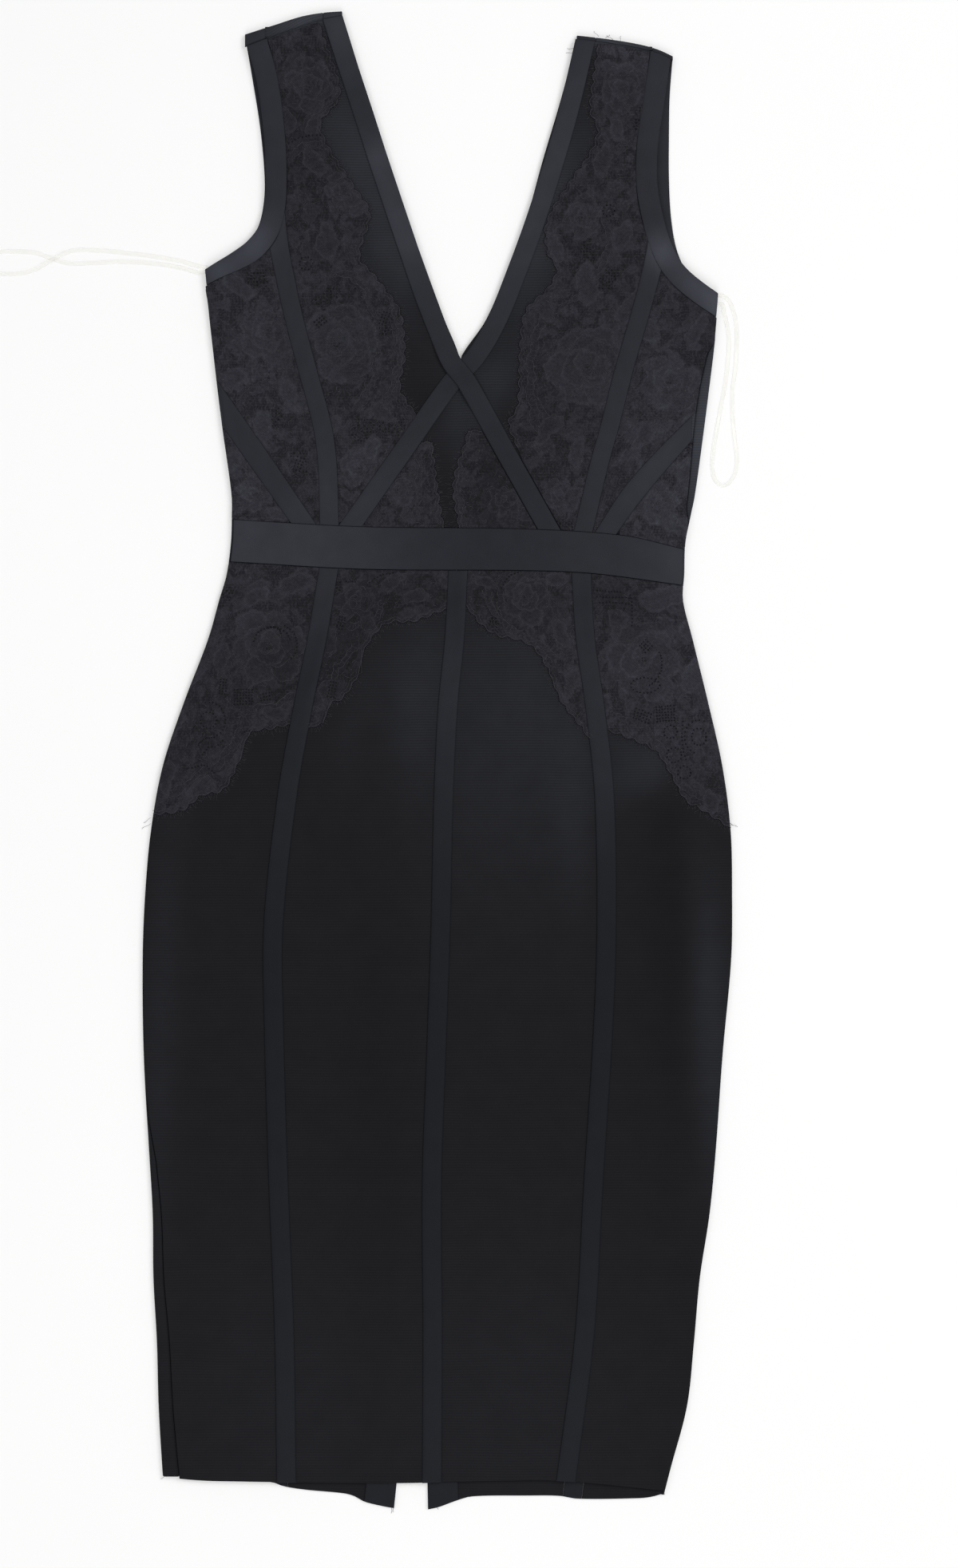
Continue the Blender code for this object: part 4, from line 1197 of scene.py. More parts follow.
@dataclass(frozen=True)
class Block:
    """The dress's pattern block: its outline, seams and levels, which every piece is cut from."""

    side_left: Curve = column(SIDES, 1)
    side_right: Curve = column(SIDES, 2)
    wrap_left: Curve = column(SIDES, 3)
    wrap_right: Curve = column(SIDES, 4)
    neck_left: Curve = column(NECK_EDGES, 1)
    neck_right: Curve = column(NECK_EDGES, 2)
    band_left: Curve = column(SKIRT_BANDS, 1)
    band_centre: Curve = column(SKIRT_BANDS, 2)
    band_right: Curve = column(SKIRT_BANDS, 3)
    princess_left: Curve = column(PRINCESS_BANDS, 1)
    princess_right: Curve = column(PRINCESS_BANDS, 2)
    centre_back: Curve = line((-515, -17.9), (-300, -9), (-150, -2), (0, 6), (150, 14), (277, 15.5))
    hem_front: Curve = line((-190, -493.2), (-169, -495.3), (-150, -496.2), (-30, -497.6), (40, -496),
                            (85, -496), (155, -502.5))
    hem_back_left: Curve = line((-190, -493), (-176, -493.6), (-169, -495.2), (-127, -496.4),
                                (-113, -497.8), (-106, -500.3), (-92, -502.6), (-64, -505.3),
                                (-57, -507.2), (-50, -511), (-36, -514.4), (-29, -515.6))
    hem_back_right: Curve = line((-6, -516.3), (1, -514.8), (13, -510.4), (24, -507.4), (62, -506.8),
                                 (84, -507), (97, -509), (139, -508.6), (148, -507.6), (157, -505))
    waist_high: Curve = line((-141, 165), (-51, 160), (60, 158.5), (128, 154), (168, 145))
    waist_low: Curve = line((-141, 136), (-51, 131), (60, 130), (107, 128), (168, 120))
    fold_top_left: Curve = line((-132, 499), (-112, 505.4), (-93, 511.4), (-78, 514), (-65, 515))
    seam_top_left: Curve = line((-132, 490), (-115, 496.5), (-97, 503), (-82, 508), (-65, 511.5))
    fold_top_right: Curve = line((95, 498.4), (103, 497.6), (121, 495.3), (139, 492.2), (152, 488.6),
                                 (163, 483.5))
    arm_foot_left: Curve = line((-161.6, 324.1), (-147.9, 331.4), (-134.2, 337.4), (-120.5, 345.8),
                                (-109.5, 359.7), (-104.3, 378))
    arm_foot_right: Curve = line((142.5, 364.8), (149.5, 344.7), (159.9, 328.6), (175.6, 314.9), (194, 302.7))
    underarm_left: float = 306.0
    underarm_right: float = 290.0
    underarm_inset: float = 1.0
    trim_inset: float = 0.3
    # How far in from the outline the front's creases fade out, and how far past its fold the back
    # wraps where the seam leaves the outline, and over how much more it comes right up.
    crease_fade: float = 14.0
    seam_shows: float = 0.7
    seam_turns: float = 1.2

    def edge(self, side: Side) -> Curve:
        """The outline at a side, x by height."""
        return self.side_left if side is Side.LEFT else self.side_right

    def wrap(self, side: Side) -> Curve:
        """How far the back wraps past the fold at a side."""
        return self.wrap_left if side is Side.LEFT else self.wrap_right

    def underarm(self, side: Side) -> float:
        """The height where the side fold opens out below an armhole."""
        return self.underarm_left if side is Side.LEFT else self.underarm_right

    def front(self, x: Array, y: Array) -> Array:
        """The height of the middle of the front's cloth."""
        near = eased(np.minimum(x - self.side_left(y), self.side_right(y) - x) / self.crease_fade)
        return FRONT_LEVEL + heaped(FOLDS, x, y) + near * heaped(CREASES, x, y) - self.droop(x, y)

    def fold_share(self, side: Side, y: Array) -> Array:
        """How much of its half turn the back makes at a side: half where the seam is on the outline."""
        return 0.5 + 0.5 * eased((self.wrap(side)(y) - self.seam_shows) / self.seam_turns)

    def droop(self, x: Array, y: Array) -> Array:
        """How far the front bends down to side seams that are on the outline.

        Args:
            x: How far across the dress the places are.
            y: How far up it they are.

        Returns:
            The distances, in millimetres.
        """
        total = np.zeros(np.broadcast(x, y).shape)
        for side in Side:
            edge = self.edge(side)(y)
            radius = (FRONT_LEVEL - BACK_LEVEL) / 2
            share = np.clip(1 - (side.value * (edge - x) - KNIT_WALL / 2) / radius, 0.0, 1.0)
            total = total + 2 * (1 - self.fold_share(side, y)) * radius * (1 - np.sqrt(1 - share**2))
        return total

    def trim(self, x: Array, y: Array) -> Array:
        """The height of the middle of what lies on the front."""
        return self.front(x, y) + TRIM_RISE

    def back(self, x: Array, y: Array) -> Array:
        """The height of the middle of the back's cloth."""
        return BACK_LEVEL + heaped(BACK_CREASES, x, y)

    def fold_radius(self, x: Array, y: Array) -> Array:
        """The radius of the turn that takes the back's cloth up to the front's."""
        return (FRONT_LEVEL + heaped(FOLDS, x, y) - BACK_LEVEL) / 2

    def fold_line(self, side: Side) -> Edge:
        """Where the back's cloth starts to turn up at a side, x by height."""
        edge = self.edge(side)
        return lambda y: edge(y) - side.value * (self.fold_radius(edge(y), y) + KNIT_WALL / 2)

    def seam_edge(self, side: Side) -> Edge:
        """The front's edge beside a side seam.

        Args:
            side: The seam's side.

        Returns:
            The edge, x by height.
        """
        edge, wrap, sign = self.edge(side), self.wrap(side), side.value

        def seam(y: Array) -> Array:
            """Inside the outline by the fold and by the back's strip past it.

            Args:
                y: The heights.

            Returns:
                The edge there.
            """
            freed = np.clip((y - self.underarm(side)) / UNDERARM_SPAN + 0.5, 0.0, 1.0)
            share = self.fold_share(side, y)
            inset = self.fold_radius(edge(y), y) * (1 - np.sin(pi * share)) + KNIT_WALL / 2
            over = inset + (2 * share - 1) * wrap(y) + SEAM_GAP + self.underarm_inset * freed
            return edge(y) - sign * over

        return seam

    def trim_edge(self, side: Side) -> Edge:
        """The lace's edge at a side: on the outline, or beside the seam where that shows.

        Args:
            side: The side.

        Returns:
            The edge, x by height.
        """
        edge, wrap, sign = self.edge(side), self.wrap(side), side.value

        def trim_side(y: Array) -> Array:
            """Inside the outline by as much of the fold and of the back's strip as shows."""
            whole = self.fold_radius(edge(y), y) + KNIT_WALL / 2 + wrap(y)
            return edge(y) - sign * ((2 * self.fold_share(side, y) - 1) * whole + self.trim_inset)

        return trim_side

    def shoulder_depth(self, x: Array) -> Array:
        """How far below the shoulder fold's top the turned cloth lies flat again."""
        return KNIT_WALL / 2 + self.fold_radius(x, np.full(np.shape(x), SHOULDER_HEIGHT))

    def shoulder_seam(self, side: Side) -> Edge:
        """The front's edge at the shoulder seam.

        Args:
            side: The shoulder's side.

        Returns:
            The edge, height by x.
        """
        if side is Side.LEFT:
            return moved(self.seam_top_left, -SHOULDER_GAP)
        return lambda x: self.fold_top_right(x) - self.shoulder_depth(x) - SHORTEST_STRIP - SHOULDER_GAP

    def back_top(self, side: Side) -> Edge:
        """The end of the back's flat part below the shoulder fold, height by x."""
        fold = self.fold_top_left if side is Side.LEFT else self.fold_top_right
        return lambda x: fold(x) - self.shoulder_depth(x)

    def above_waist(self, x: Array) -> Array:
        """The bodice's lower edge, height by x."""
        return self.waist_high(x) + WAIST_JOIN

    def back_waist(self) -> tuple[Edge, Edge]:
        """The back waistband's lower and upper edges, just outside the front one's."""
        return moved(self.waist_low, -BACK_MARGIN), moved(self.waist_high, BACK_MARGIN)

    def below_waist(self, x: Array) -> Array:
        """The skirt's upper edge, height by x."""
        return self.waist_low(x) - SEAM_GAP


def ordered(side: Side, inner: Edge, outer: Edge) -> tuple[Edge, Edge]:
    """An inner and an outer edge as (left, right)."""
    return (outer, inner) if side is Side.LEFT else (inner, outer)


# ---------------------------------------------------------------- shade of the cloth


# Painted light and shade on the knit, laid into its colour in soft patches: x, y, turn, half length,
# half width, and the share added to its colour.
KNIT_PAINTED_SHADE = mounds(
    (45, 20, 90, 110, 60, 0.55), (66, 48, 115, 50, 30, 0.25), (92, -30, 90, 70, 16, 0.5),
    (144, -10, 30, 26, 14, 0.7), (140, 4, 0, 24, 14, 0.25), (-14, 48, 84, 50, 20, 0.5),
    (-48, 50, 70, 40, 16, 0.22), (188, -180, 92, 110, 14, 0.85), (-190, -190, 88, 200, 14, 0.35),
    (-100, -440, 90, 120, 90, 0.22), (60, -440, 90, 110, 80, 0.25), (140, 40, 90, 40, 30, 0.3),
    (-50, 405, 112, 80, 26, 1.35), (-26, 345, 110, 30, 20, 0.45), (74, 375, 72, 70, 26, 1.4),
    (36, 262, 30, 16, 14, 0.4), (18, 236, 90, 36, 20, 0.72), (52, 268, 60, 30, 16, 0.35),
    (182, 230, 80, 70, 12, 3.4), (-90, 511, 22, 36, 9, 3.0), (122, 497, -8, 40, 9, 3.2),
    (-43, -275, 90, 250, 26, -0.12), (88, -60, 90, 60, 22, -0.1), (6, 188, 92, 40, 9, -0.14),
    (-8, 242, 45, 20, 10, -0.3), (-62, 4, 90, 30, 14, 0.16), (140, 6, 0, 30, 14, 0.14),
    (-30, 318, 110, 30, 12, 0.16), (64, 344, 72, 30, 12, 0.2), (-56, 428, 112, 24, 12, 0.16),
    (-16, 10, 90, 60, 14, 0.1), (164, -130, 92, 150, 22, -0.26),
)


def knit_painted_shade(x: Array, y: Array) -> Array:
    """How much paler than its darkest the ribbed knit is painted: painted light and shade."""
    return 0.8 + heaped(KNIT_PAINTED_SHADE, x, y)


# Painted light and shade on the banding: how pale it is painted by height, and painted highlights and shade
# in patches on top of that.
BAND_SHADE = line((-515, 0.62), (-440, 0.58), (-300, 0.45), (-130, 0.4), (-40, 0.6), (40, 0.95), (116, 1.15),
                  (300, 1.15), (515, 1.1))
BAND_PAINTED_LIGHT = mounds(
    (-71, 506, 110, 32, 14, 0.72), (-40.5, 413, 110, 15, 14, 0.85), (-26, 370, 110, 34, 14, 1.05),
    (52, 204, 120, 66, 14, -0.3), (6, 256, 45, 50, 12, -0.16), (-30, 378, 110, 12, 10, -0.2),
    (-50, 176, 56, 30, 12, 0.3), (60, 366, 70, 60, 16, 0.4), (88, 436, 72, 80, 16, 0.45),
    (-116, 450, 95, 60, 16, 0.16), (-121, 492, 100, 22, 14, 0.15), (-126, 354, 55, 17, 12, 1.6),
    (-151, 337, 28, 14, 12, 1.4), (155, 349, 120, 13, 13, 1.7), (194, 313, 130, 16, 12, 2.2),
    (173, 330, 130, 16, 12, 1.25), (151, 464, 90, 40, 14, 0.2), (-74, 170, 95, 30, 9, 0.2),
    (115, 215, 75, 26, 9, 0.12), (154, 206, 50, 50, 12, 0.46), (-95, 170, 55, 26, 12, 0.34),
    (-98, 5, 80, 34, 10, -0.16), (-88, 60, 72, 42, 9, -0.38), (13, 108, 90, 34, 10, -0.46),
    (102, 104, 90, 30, 10, -0.3), (114, -10, 90, 40, 10, 0.18), (172, 133, 90, 20, 5, 2.0),
    (165, 334, 130, 14, 12, -0.3), (-115, 372, 70, 20, 12, 0.2), (-80, 200, 90, 40, 10, 0.1),
)
# Painted light and shade on the waistband, by x.
WAIST_SHADE = line((-150, 1.9), (-130, 1.85), (-110, 1.74), (-90, 1.76), (-70, 1.6), (-50, 1.48), (-30, 1.27),
                   (-10, 1.05), (10, 1.0), (30, 0.92), (50, 0.95), (70, 1.0), (90, 1.11), (110, 1.22),
                   (130, 1.25), (150, 1.48), (163, 1.75), (175, 1.9))


def band_painted_shade(x: Array, y: Array) -> Array:
    """How much paler than its darkest the banding is painted, as painted light and shade: the bodice's bands
    more than the skirt's.
    """
    return BAND_SHADE(y) + heaped(BAND_PAINTED_LIGHT, x, y)


def waist_painted_shade(x: Array, y: Array) -> Array:
    """How much paler than its darkest the waistband is painted, as painted light and shade: its left end
    most.
    """
    return WAIST_SHADE(x) + 0 * y


def painted_shade_marks(grid: Array, shade: Callable[[Array, Array], Array]) -> dict[str, Array]:
    """The tone marks of a grid: its painted light and shade."""
    return {"tone": shade(grid[..., 0], grid[..., 1])}


# ---------------------------------------------------------------- folds of the back


TURN_STEPS = 10


def turned(flat: Array, radius: Array, angle: Array, wrap: Array, outward: Array,
           share: Array | float = 1.0) -> Array:
    """The cloth past the end of the flat part: round a fold and on to a seam.

    Args:
        flat: The last flat point of each line, with its height.
        radius: The fold's radius at each line.
        angle: How far each line turns over, in radians.
        wrap: The length of cloth after the turn.
        outward: The plan direction in which the fold faces, for each line.
        share: How much of the turn is made before the seam.

    Returns:
        An array of lines, steps and (x, y, z).
    """
    angle = np.maximum(angle, 0.003)
    arc = pi * radius / angle
    angle = angle * share
    steps = angle[:, None] * (np.arange(1, TURN_STEPS + 1) / TURN_STEPS)
    out = arc[:, None] * np.sin(steps)
    up = arc[:, None] * (1 - np.cos(steps))
    strip_shares = np.array([0.35, 0.7, 1.0])
    length = wrap[:, None] * strip_shares
    out = np.concatenate([out, out[:, -1:] + length * np.cos(angle)[:, None]], axis=1)
    up = np.concatenate([up, up[:, -1:] + length * np.sin(angle)[:, None]], axis=1)
    plan = flat[:, None, :2] + out[..., None] * outward[:, None, :]
    return np.concatenate([plan, flat[:, None, 2:] + up[..., None]], axis=-1)


def turned_side(block: Block, grid: Array, side: Side, turn: Edge) -> Array:
    """Takes each row of the back's grid over the fold at one side and on to the seam.

    Args:
        block: The pattern block.
        grid: The flat part's grid.
        side: The side.
        turn: How much of its turn the cloth makes, as a share by height.

    Returns:
        The whole grid, with its columns still from left to right.
    """
    ends = grid[:, 0] if side is Side.LEFT else grid[:, -1]
    y = ends[:, 1]
    outward = np.tile([float(side.value), 0.0], (len(ends), 1))
    radius, share = block.fold_radius(ends[:, 0], y), block.fold_share(side, y)
    past = turned(ends, radius, pi * turn(y), 0.1 + (2 * share - 1) * block.wrap(side)(y), outward, share)
    if side is Side.LEFT:
        return np.concatenate([past[:, ::-1], grid], axis=1)
    return np.concatenate([grid, past], axis=1)


def over_shoulder(block: Block, grid: Array, side: Side) -> Array:
    """Takes the top row of the back's grid over the shoulder and down to the seam.

    Args:
        block: The pattern block.
        grid: The flat part's grid.
        side: The side.

    Returns:
        The whole grid, with its rows still from the bottom up.
    """
    top = grid[-1]
    x, count = top[:, 0], len(top)
    radius = np.full(count, float(block.fold_radius(x[0], top[0, 1])))
    wrap = np.full(count, SHORTEST_STRIP)
    if side is Side.LEFT:
        wrap = block.fold_top_left(x) - block.seam_top_left(x) - radius - KNIT_WALL / 2 + SHOULDER_GAP
    past = turned(top, radius, np.full(count, pi), np.maximum(wrap, SHORTEST_STRIP),
                  np.tile([0.0, 1.0], (count, 1)))
    return np.concatenate([grid, past.swapaxes(0, 1)], axis=0)


# ---------------------------------------------------------------- sub-assemblies of knit


FLOOR = ("floor",)


@dataclass
class Dress:
    """What every sub-assembly shares: the block, the finishes and the list of cloth pieces."""

    block: Block
    finishes: Finishes
    pieces: list[bpy.types.Object] = field(default_factory=list)

    def add(self, cloth: Cloth, node: str, rests_on: Sequence[str],
            with_pieces: Sequence[bpy.types.Object] = ()) -> None:
        """Makes a piece of cloth, hides the solid that it stands for and logs how it was cut.

        Args:
            cloth: The piece of cloth.
            node: The solid that it stands for.
            rests_on: Not used.
            with_pieces: Not used.
        """
        piece = cloth.sew()
        wide, long, area = cloth.flat_cut()
        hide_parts(node)
        points = np.array([vertex.co for vertex in piece.data.vertices])
        box = np.array([points.min(axis=0), points.max(axis=0)])
        off = float(np.abs(box - np.array([tuple(corner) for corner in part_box(node)])).max())
        LOG.info("%s: %.1f x %.1f mm flat, %d faces, at most %.1f mm off its solid's box",
                 piece.name, wide / MM, long / MM, len(piece.data.polygons), off / MM)
        self.pieces.append(piece)

    def knit(self, name: str, grid: Array, under: Sequence[str] = FLOOR, lip: float = 0.8) -> None:
        """Sews a panel of ribbed knit with a lip's width."""
        # Its tone marks are painted light and shade.
        self.add(Cloth(f"{name}_cloth", grid, KNIT_WALL, self.finishes.rib, "knit", lip=lip,
                       marks=painted_shade_marks(grid, knit_painted_shade)), name, under)

    def banding(self, name: str, grid: Array, under: Sequence[str] = FLOOR, wall: float = KNIT_WALL,
                run: Run = Run.ALONG_PIECE, **settings: Any) -> None:
        """Sews a band of tight knit.

        Args:
            name: The band's name.
            grid: Its points.
            under: Passed on to add, which doesn't use it.
            wall: How thick the cloth is.
            run: Which way its grain runs.
            settings: Other settings of its cloth.
        """
        # The band's tone marks are painted light and shade.
        tone = {"marks": painted_shade_marks(grid, band_painted_shade)} | settings
        cloth = Cloth(f"{name}_cloth", grid, wall, self.finishes.band, "band_knit", run, **tone)
        self.add(cloth, name, under)


@dataclass
class BackSkirt:
    """The back skirt: centre panels down to the vent, bands, side panels round to the seams, facings."""

    dress: Dress
    band_shift: float = 6.0
    vent_half: float = 11.5
    vent_top: float = -330.0
    vent_foot: float = -515.0
    facing: float = 21.0
    facing_height: float = 184.0
    across: Spacing = Spacing(4.5)
    up: Spacing = Spacing(5.0)
    height: float = 645.0
    centre_width: float = 110.0
    side_width: float = 80.0

    def build(self) -> None:
        """Makes both sides."""
        for side in Side:
            self.half(side)

    def half(self, side: Side) -> None:
        """Makes one side of the back skirt.

        Args:
            side: The side.
        """
        block, sign, word = self.dress.block, side.value, side.word
        hem = block.hem_back_left if side is Side.LEFT else block.hem_back_right
        front_band = block.band_left if side is Side.LEFT else block.band_right
        half, top = SKIRT_BAND / 2, moved(block.back_waist()[0], -BACK_JOIN)

        def vent(y: Array) -> Array:
            """The centre seam's edge, which leans away below the vent's top."""
            opening = np.maximum(0.0, (self.vent_top - y) / (self.vent_top - self.vent_foot))
            return block.centre_back(y) + sign * (SEAM_GAP / 2 + self.vent_half * opening)

        def band(distance: float) -> Edge:
            """A line at a distance outside the band's middle."""
            return lambda y: front_band(y) + sign * (self.band_shift + distance)

        def plan(inner: Edge, outer: Edge, width: float) -> Array:
            """The plan grid of a panel from the hem to the waistband."""
            return between(*ordered(side, inner, outer), hem, top, self.across, self.up, width, self.height)

        centre = plan(vent, band(-half - BACK_JOIN), self.centre_width)
        self.dress.knit(f"back_skirt_centre_{word}", raised(centre, block.back))
        middle = plan(band(-half), band(half), SKIRT_BAND)
        self.dress.banding(f"back_skirt_band_{word}", raised(middle, block.back))
        flank = raised(plan(band(half + BACK_JOIN), block.fold_line(side), self.side_width), block.back)
        self.dress.knit(f"back_skirt_side_{word}", turned_side(block, flank, side, always(1.0)))
        near, far = moved(vent, sign * SEAM_GAP), moved(vent, sign * self.facing)
        facing = between(*ordered(side, near, far), moved(hem, 1.0), always(self.vent_top),
                         self.across, self.up, self.facing, self.facing_height)
        self.dress.banding(f"vent_facing_{word}", raised(facing, lambda x, y: FACING_LEVEL + 0 * x),
                           [f"back_skirt_centre_{word}_cloth"], TRIM_WALL, Run.ACROSS_DRESS)


@dataclass
class BackBodice:
    """The back above the skirt: waistband, panels, neck bands and armhole bands."""

    dress: Dress
    neck_inset: float = 1.5
    neck_point: float = 277.0
    foot_height: float = 268.0
    mitre: float = 1.5
    inset_end: float = 465.0
    inset_fade: float = 25.0
    lip: float = 0.4
    across: Spacing = Spacing(4.5)
    up: Spacing = Spacing(4.5)
    band_across: Spacing = Spacing(2.5)
    waist_up: Spacing = Spacing(3.5)
    width: float = 150.0
    height: float = 352.0
    waist_width: float = 155.0
    waist_height: float = 30.0
    neck_height: float = 240.0
    arm_routes: dict[Side, tuple] = field(default_factory=lambda: {
        Side.LEFT: ((-164, 327.5), (-150.5, 335.5), (-138, 342), (-126.5, 350.5), (-117, 363), (-112.5, 380),
                    (-111.5, 400), (-114.5, 435), (-120, 470), (-125.3, 500)),
        Side.RIGHT: ((198, 307.5), (180, 320), (166.5, 331.5), (158.3, 348.5), (154, 372), (152.5, 400),
                     (152.5, 430), (153, 457), (155.5, 489))})

    def build(self) -> None:
        """Makes both sides."""
        for side in Side:
            self.half(side)

    def half(self, side: Side) -> None:
        """Makes one side of the back above the skirt.

        Args:
            side: The side.
        """
        block, sign, word = self.dress.block, side.value, side.word
        edge, wrap, underarm = block.edge(side), block.wrap(side), block.underarm(side)
        neck = block.neck_left if side is Side.LEFT else block.neck_right
        arm = strip(self.arm_routes[side], ARMHOLE_BAND, ARMHOLE_BAND_END[side])
        arm_edge = arm.side_line(1.0 if side is Side.LEFT else 0.0, True)
        low, high = block.back_waist()
        end = block.back_top(side)

        def turn(y: Array) -> Array:
            """How much of its turn the cloth makes, which ends at the underarm."""
            return np.clip(1 - (y - underarm) / UNDERARM_SPAN, 0.0, 1.0)

        def centre(y: Array) -> Array:
            """The edge beside the centre seam."""
            return block.centre_back(y) + sign * BACK_JOIN / 2

        def fold_reach(y: Array) -> Array:
            """How far the turned cloth reaches past the flat part.

            Args:
                y: The heights.

            Returns:
                The distances there.
            """
            whole, share = pi * np.maximum(turn(y), 0.001), block.fold_share(side, y)
            arc, angle = pi * block.fold_radius(edge(y), y) / whole, whole * share
            wide = np.where(angle > pi / 2, arc, arc * np.sin(angle))
            flat_strip = np.where(angle > pi / 2, 0.0, wrap(y) * (2 * share - 1) * np.cos(angle))
            return wide + flat_strip + KNIT_WALL / 2 * eased(2 * turn(y))

        def panel_outer(y: Array) -> Array:
            """The panel's flat part ends inside the outline, or beside the armhole band."""
            reach = np.minimum(sign * edge(y), sign * arm_edge(y) - BACK_JOIN)
            return sign * (reach - fold_reach(y))

        def band_inner(y: Array) -> Array:
            """The neck band's edge at the neck, a little inside the front's."""
            inset = self.neck_inset * (1 - eased((y - self.inset_end) / self.inset_fade))
            return neck(np.maximum(y, self.neck_point)) + sign * inset

        def band_outer(y: Array) -> Array:
            """The neck band's edge on the panel."""
            return band_inner(y) + sign * NECK_BAND

        def panel_inner(y: Array) -> Array:
            """The panel's edge goes over from the centre seam to the neck band."""
            share = np.clip(1 + (y - self.foot_height) / NECK_BAND, 0.0, 1.0)
            return (1 - share) * centre(y) + share * (band_outer(y) + sign * BACK_JOIN)

        def foot(x: Array) -> Array:
            """The neck band's mitred end at the centre seam."""
            return self.foot_height + self.mitre * np.abs(x - block.centre_back(self.foot_height))

        waist = raised(between(*ordered(side, centre, block.fold_line(side)), low, high, self.across,
                               self.waist_up, self.waist_width, self.waist_height), block.back)
        self.dress.banding(f"waistband_back_{word}", turned_side(block, waist, side, always(1.0)))
        panel = raised(between(*ordered(side, panel_inner, panel_outer), moved(high, BACK_JOIN), end,
                               self.across, self.up, self.width, self.height), block.back)
        self.dress.knit(f"back_bodice_{word}",
                        over_shoulder(block, turned_side(block, panel, side, turn), side), lip=self.lip)
        neck_band = between(*ordered(side, band_inner, band_outer), foot, end, self.band_across, self.up,
                            NECK_BAND, self.neck_height)
        arm_band = arm.grid(self.band_across, self.up, start=ARMHOLE_CUT[side], end=end)
        for name, plan in (("neck", neck_band), ("armhole", arm_band)):
            self.dress.banding(f"{name}_band_back_{word}",
                               over_shoulder(block, raised(plan, block.back), side),
                               lip=self.lip)


@dataclass
class FrontSkirt:
    """The four front skirt panels, with a band over each seam between them."""

    dress: Dress
    across: Spacing = Spacing(3.4, BEND_LIPS)
    up: Spacing = Spacing(3.6)
    band_across: Spacing = Spacing(2.0)
    width: float = 115.0
    height: float = 632.0
    band_press: float = 0.32

    def build(self) -> None:
        """Makes the panels and the bands."""
        block = self.dress.block
        seams = (block.seam_edge(Side.LEFT), block.band_left, block.band_centre, block.band_right,
                 block.seam_edge(Side.RIGHT))

        def plan(left: Edge, right: Edge, margin: float, across: Spacing, width: float) -> Array:
            """The plan grid between two lines moved in by a margin."""
            return between(moved(left, margin), moved(right, -margin), block.hem_front, block.below_waist,
                           across, self.up, width, self.height)

        for name, left, right in zip(("side_left", "centre_left", "centre_right", "side_right"), seams,
                                     seams[1:]):
            panel = plan(left, right, SEAM_GAP / 2, self.across, self.width)
            self.dress.knit(f"front_skirt_{name}", raised(panel, block.front),
                            ["back_skirt_side_left_cloth", "back_skirt_side_right_cloth"])
        for name, middle in zip(("left", "centre", "right"), seams[1:]):
            band = plan(middle, middle, -SKIRT_BAND / 2, self.band_across, SKIRT_BAND)
            self.dress.banding(f"skirt_band_{name}", raised(band, block.trim),
                               ["front_skirt_centre_left_cloth", "front_skirt_centre_right_cloth"],
                               TRIM_WALL, press=self.band_press)


@dataclass
class FrontBodice:
    """The front's bust panels, side panels and the triangle below the crossing of the neck bands."""

    dress: Dress
    across: Spacing = Spacing(3.4, BEND_LIPS)
    up: Spacing = Spacing(3.6)
    centre_top: float = 255.5
    bust_outer: dict[Side, Curve] = field(default_factory=lambda: {
        Side.LEFT: line((161, -74), (205, -75.5), (230, -79), (266, -88.5), (304, -98.5), (353, -108.5),
                        (392, -117.8), (413, -118), (440, -120), (470, -124), (497, -131)),
        Side.RIGHT: line((161, 101.5), (205, 112), (230, 119), (266, 128), (304, 139), (332, 146.5),
                         (353, 149), (384, 151), (421, 152), (456, 156.5), (484, 163))})
    bust_inner: dict[Side, Curve] = field(default_factory=lambda: {
        Side.LEFT: line((150, -67), (162, -58.5), (211, -24), (258, 9), (270, 14.5), (277, 15.4), (303, 5),
                        (358, -15), (413, -34), (457, -48), (515, -66)),
        Side.RIGHT: line((150, 82), (160, 76), (210, 48), (260, 20), (270, 17), (277, 16.6), (303, 34),
                         (358, 57.2), (413, 73), (457, 86), (515, 101))})
    centre_left: Curve = line((150, -66.4), (162, -57.9), (211, -23.4), (258, 9.6))
    centre_right: Curve = line((150, 81.4), (160, 75.4), (210, 47.4), (260, 19.4))
    armhole_foot: dict[Side, Curve] = field(default_factory=lambda: {
        Side.LEFT: line((-161, 333.5), (-152.3, 339.7), (-139.4, 346.2), (-128, 353.8), (-119.4, 365.2),
                        (-115.5, 381)),
        Side.RIGHT: line((148, 388), (153.4, 368), (159, 350.5), (167.3, 337), (182, 324.7), (193.5, 314))})

    def build(self) -> None:
        """Makes the five panels."""
        block, near, away = self.dress.block, SEAM_GAP / 2, -SEAM_GAP / 2
        left, right = Side.LEFT, Side.RIGHT
        panels = (
            ("front_bust_left", moved(self.bust_outer[left], near), self.bust_inner[left],
             block.shoulder_seam(left), 85.0, 350.0),
            ("front_bust_right", self.bust_inner[right], moved(self.bust_outer[right], away),
             block.shoulder_seam(right), 100.0, 335.0),
            ("front_side_left", block.seam_edge(left), moved(self.bust_outer[left], away),
             self.armhole_foot[left], 65.0, 225.0),
            ("front_side_right", moved(self.bust_outer[right], near), block.seam_edge(right),
             self.armhole_foot[right], 60.0, 235.0),
            ("front_centre", self.centre_left, self.centre_right, always(self.centre_top), 135.0, 93.0),
        )
        for name, low, high, top, width, height in panels:
            plan = between(low, high, block.above_waist, top, self.across, self.up, width, height)
            self.dress.knit(name, raised(plan, block.front),
                            ["back_bodice_left_cloth", "back_bodice_right_cloth"])


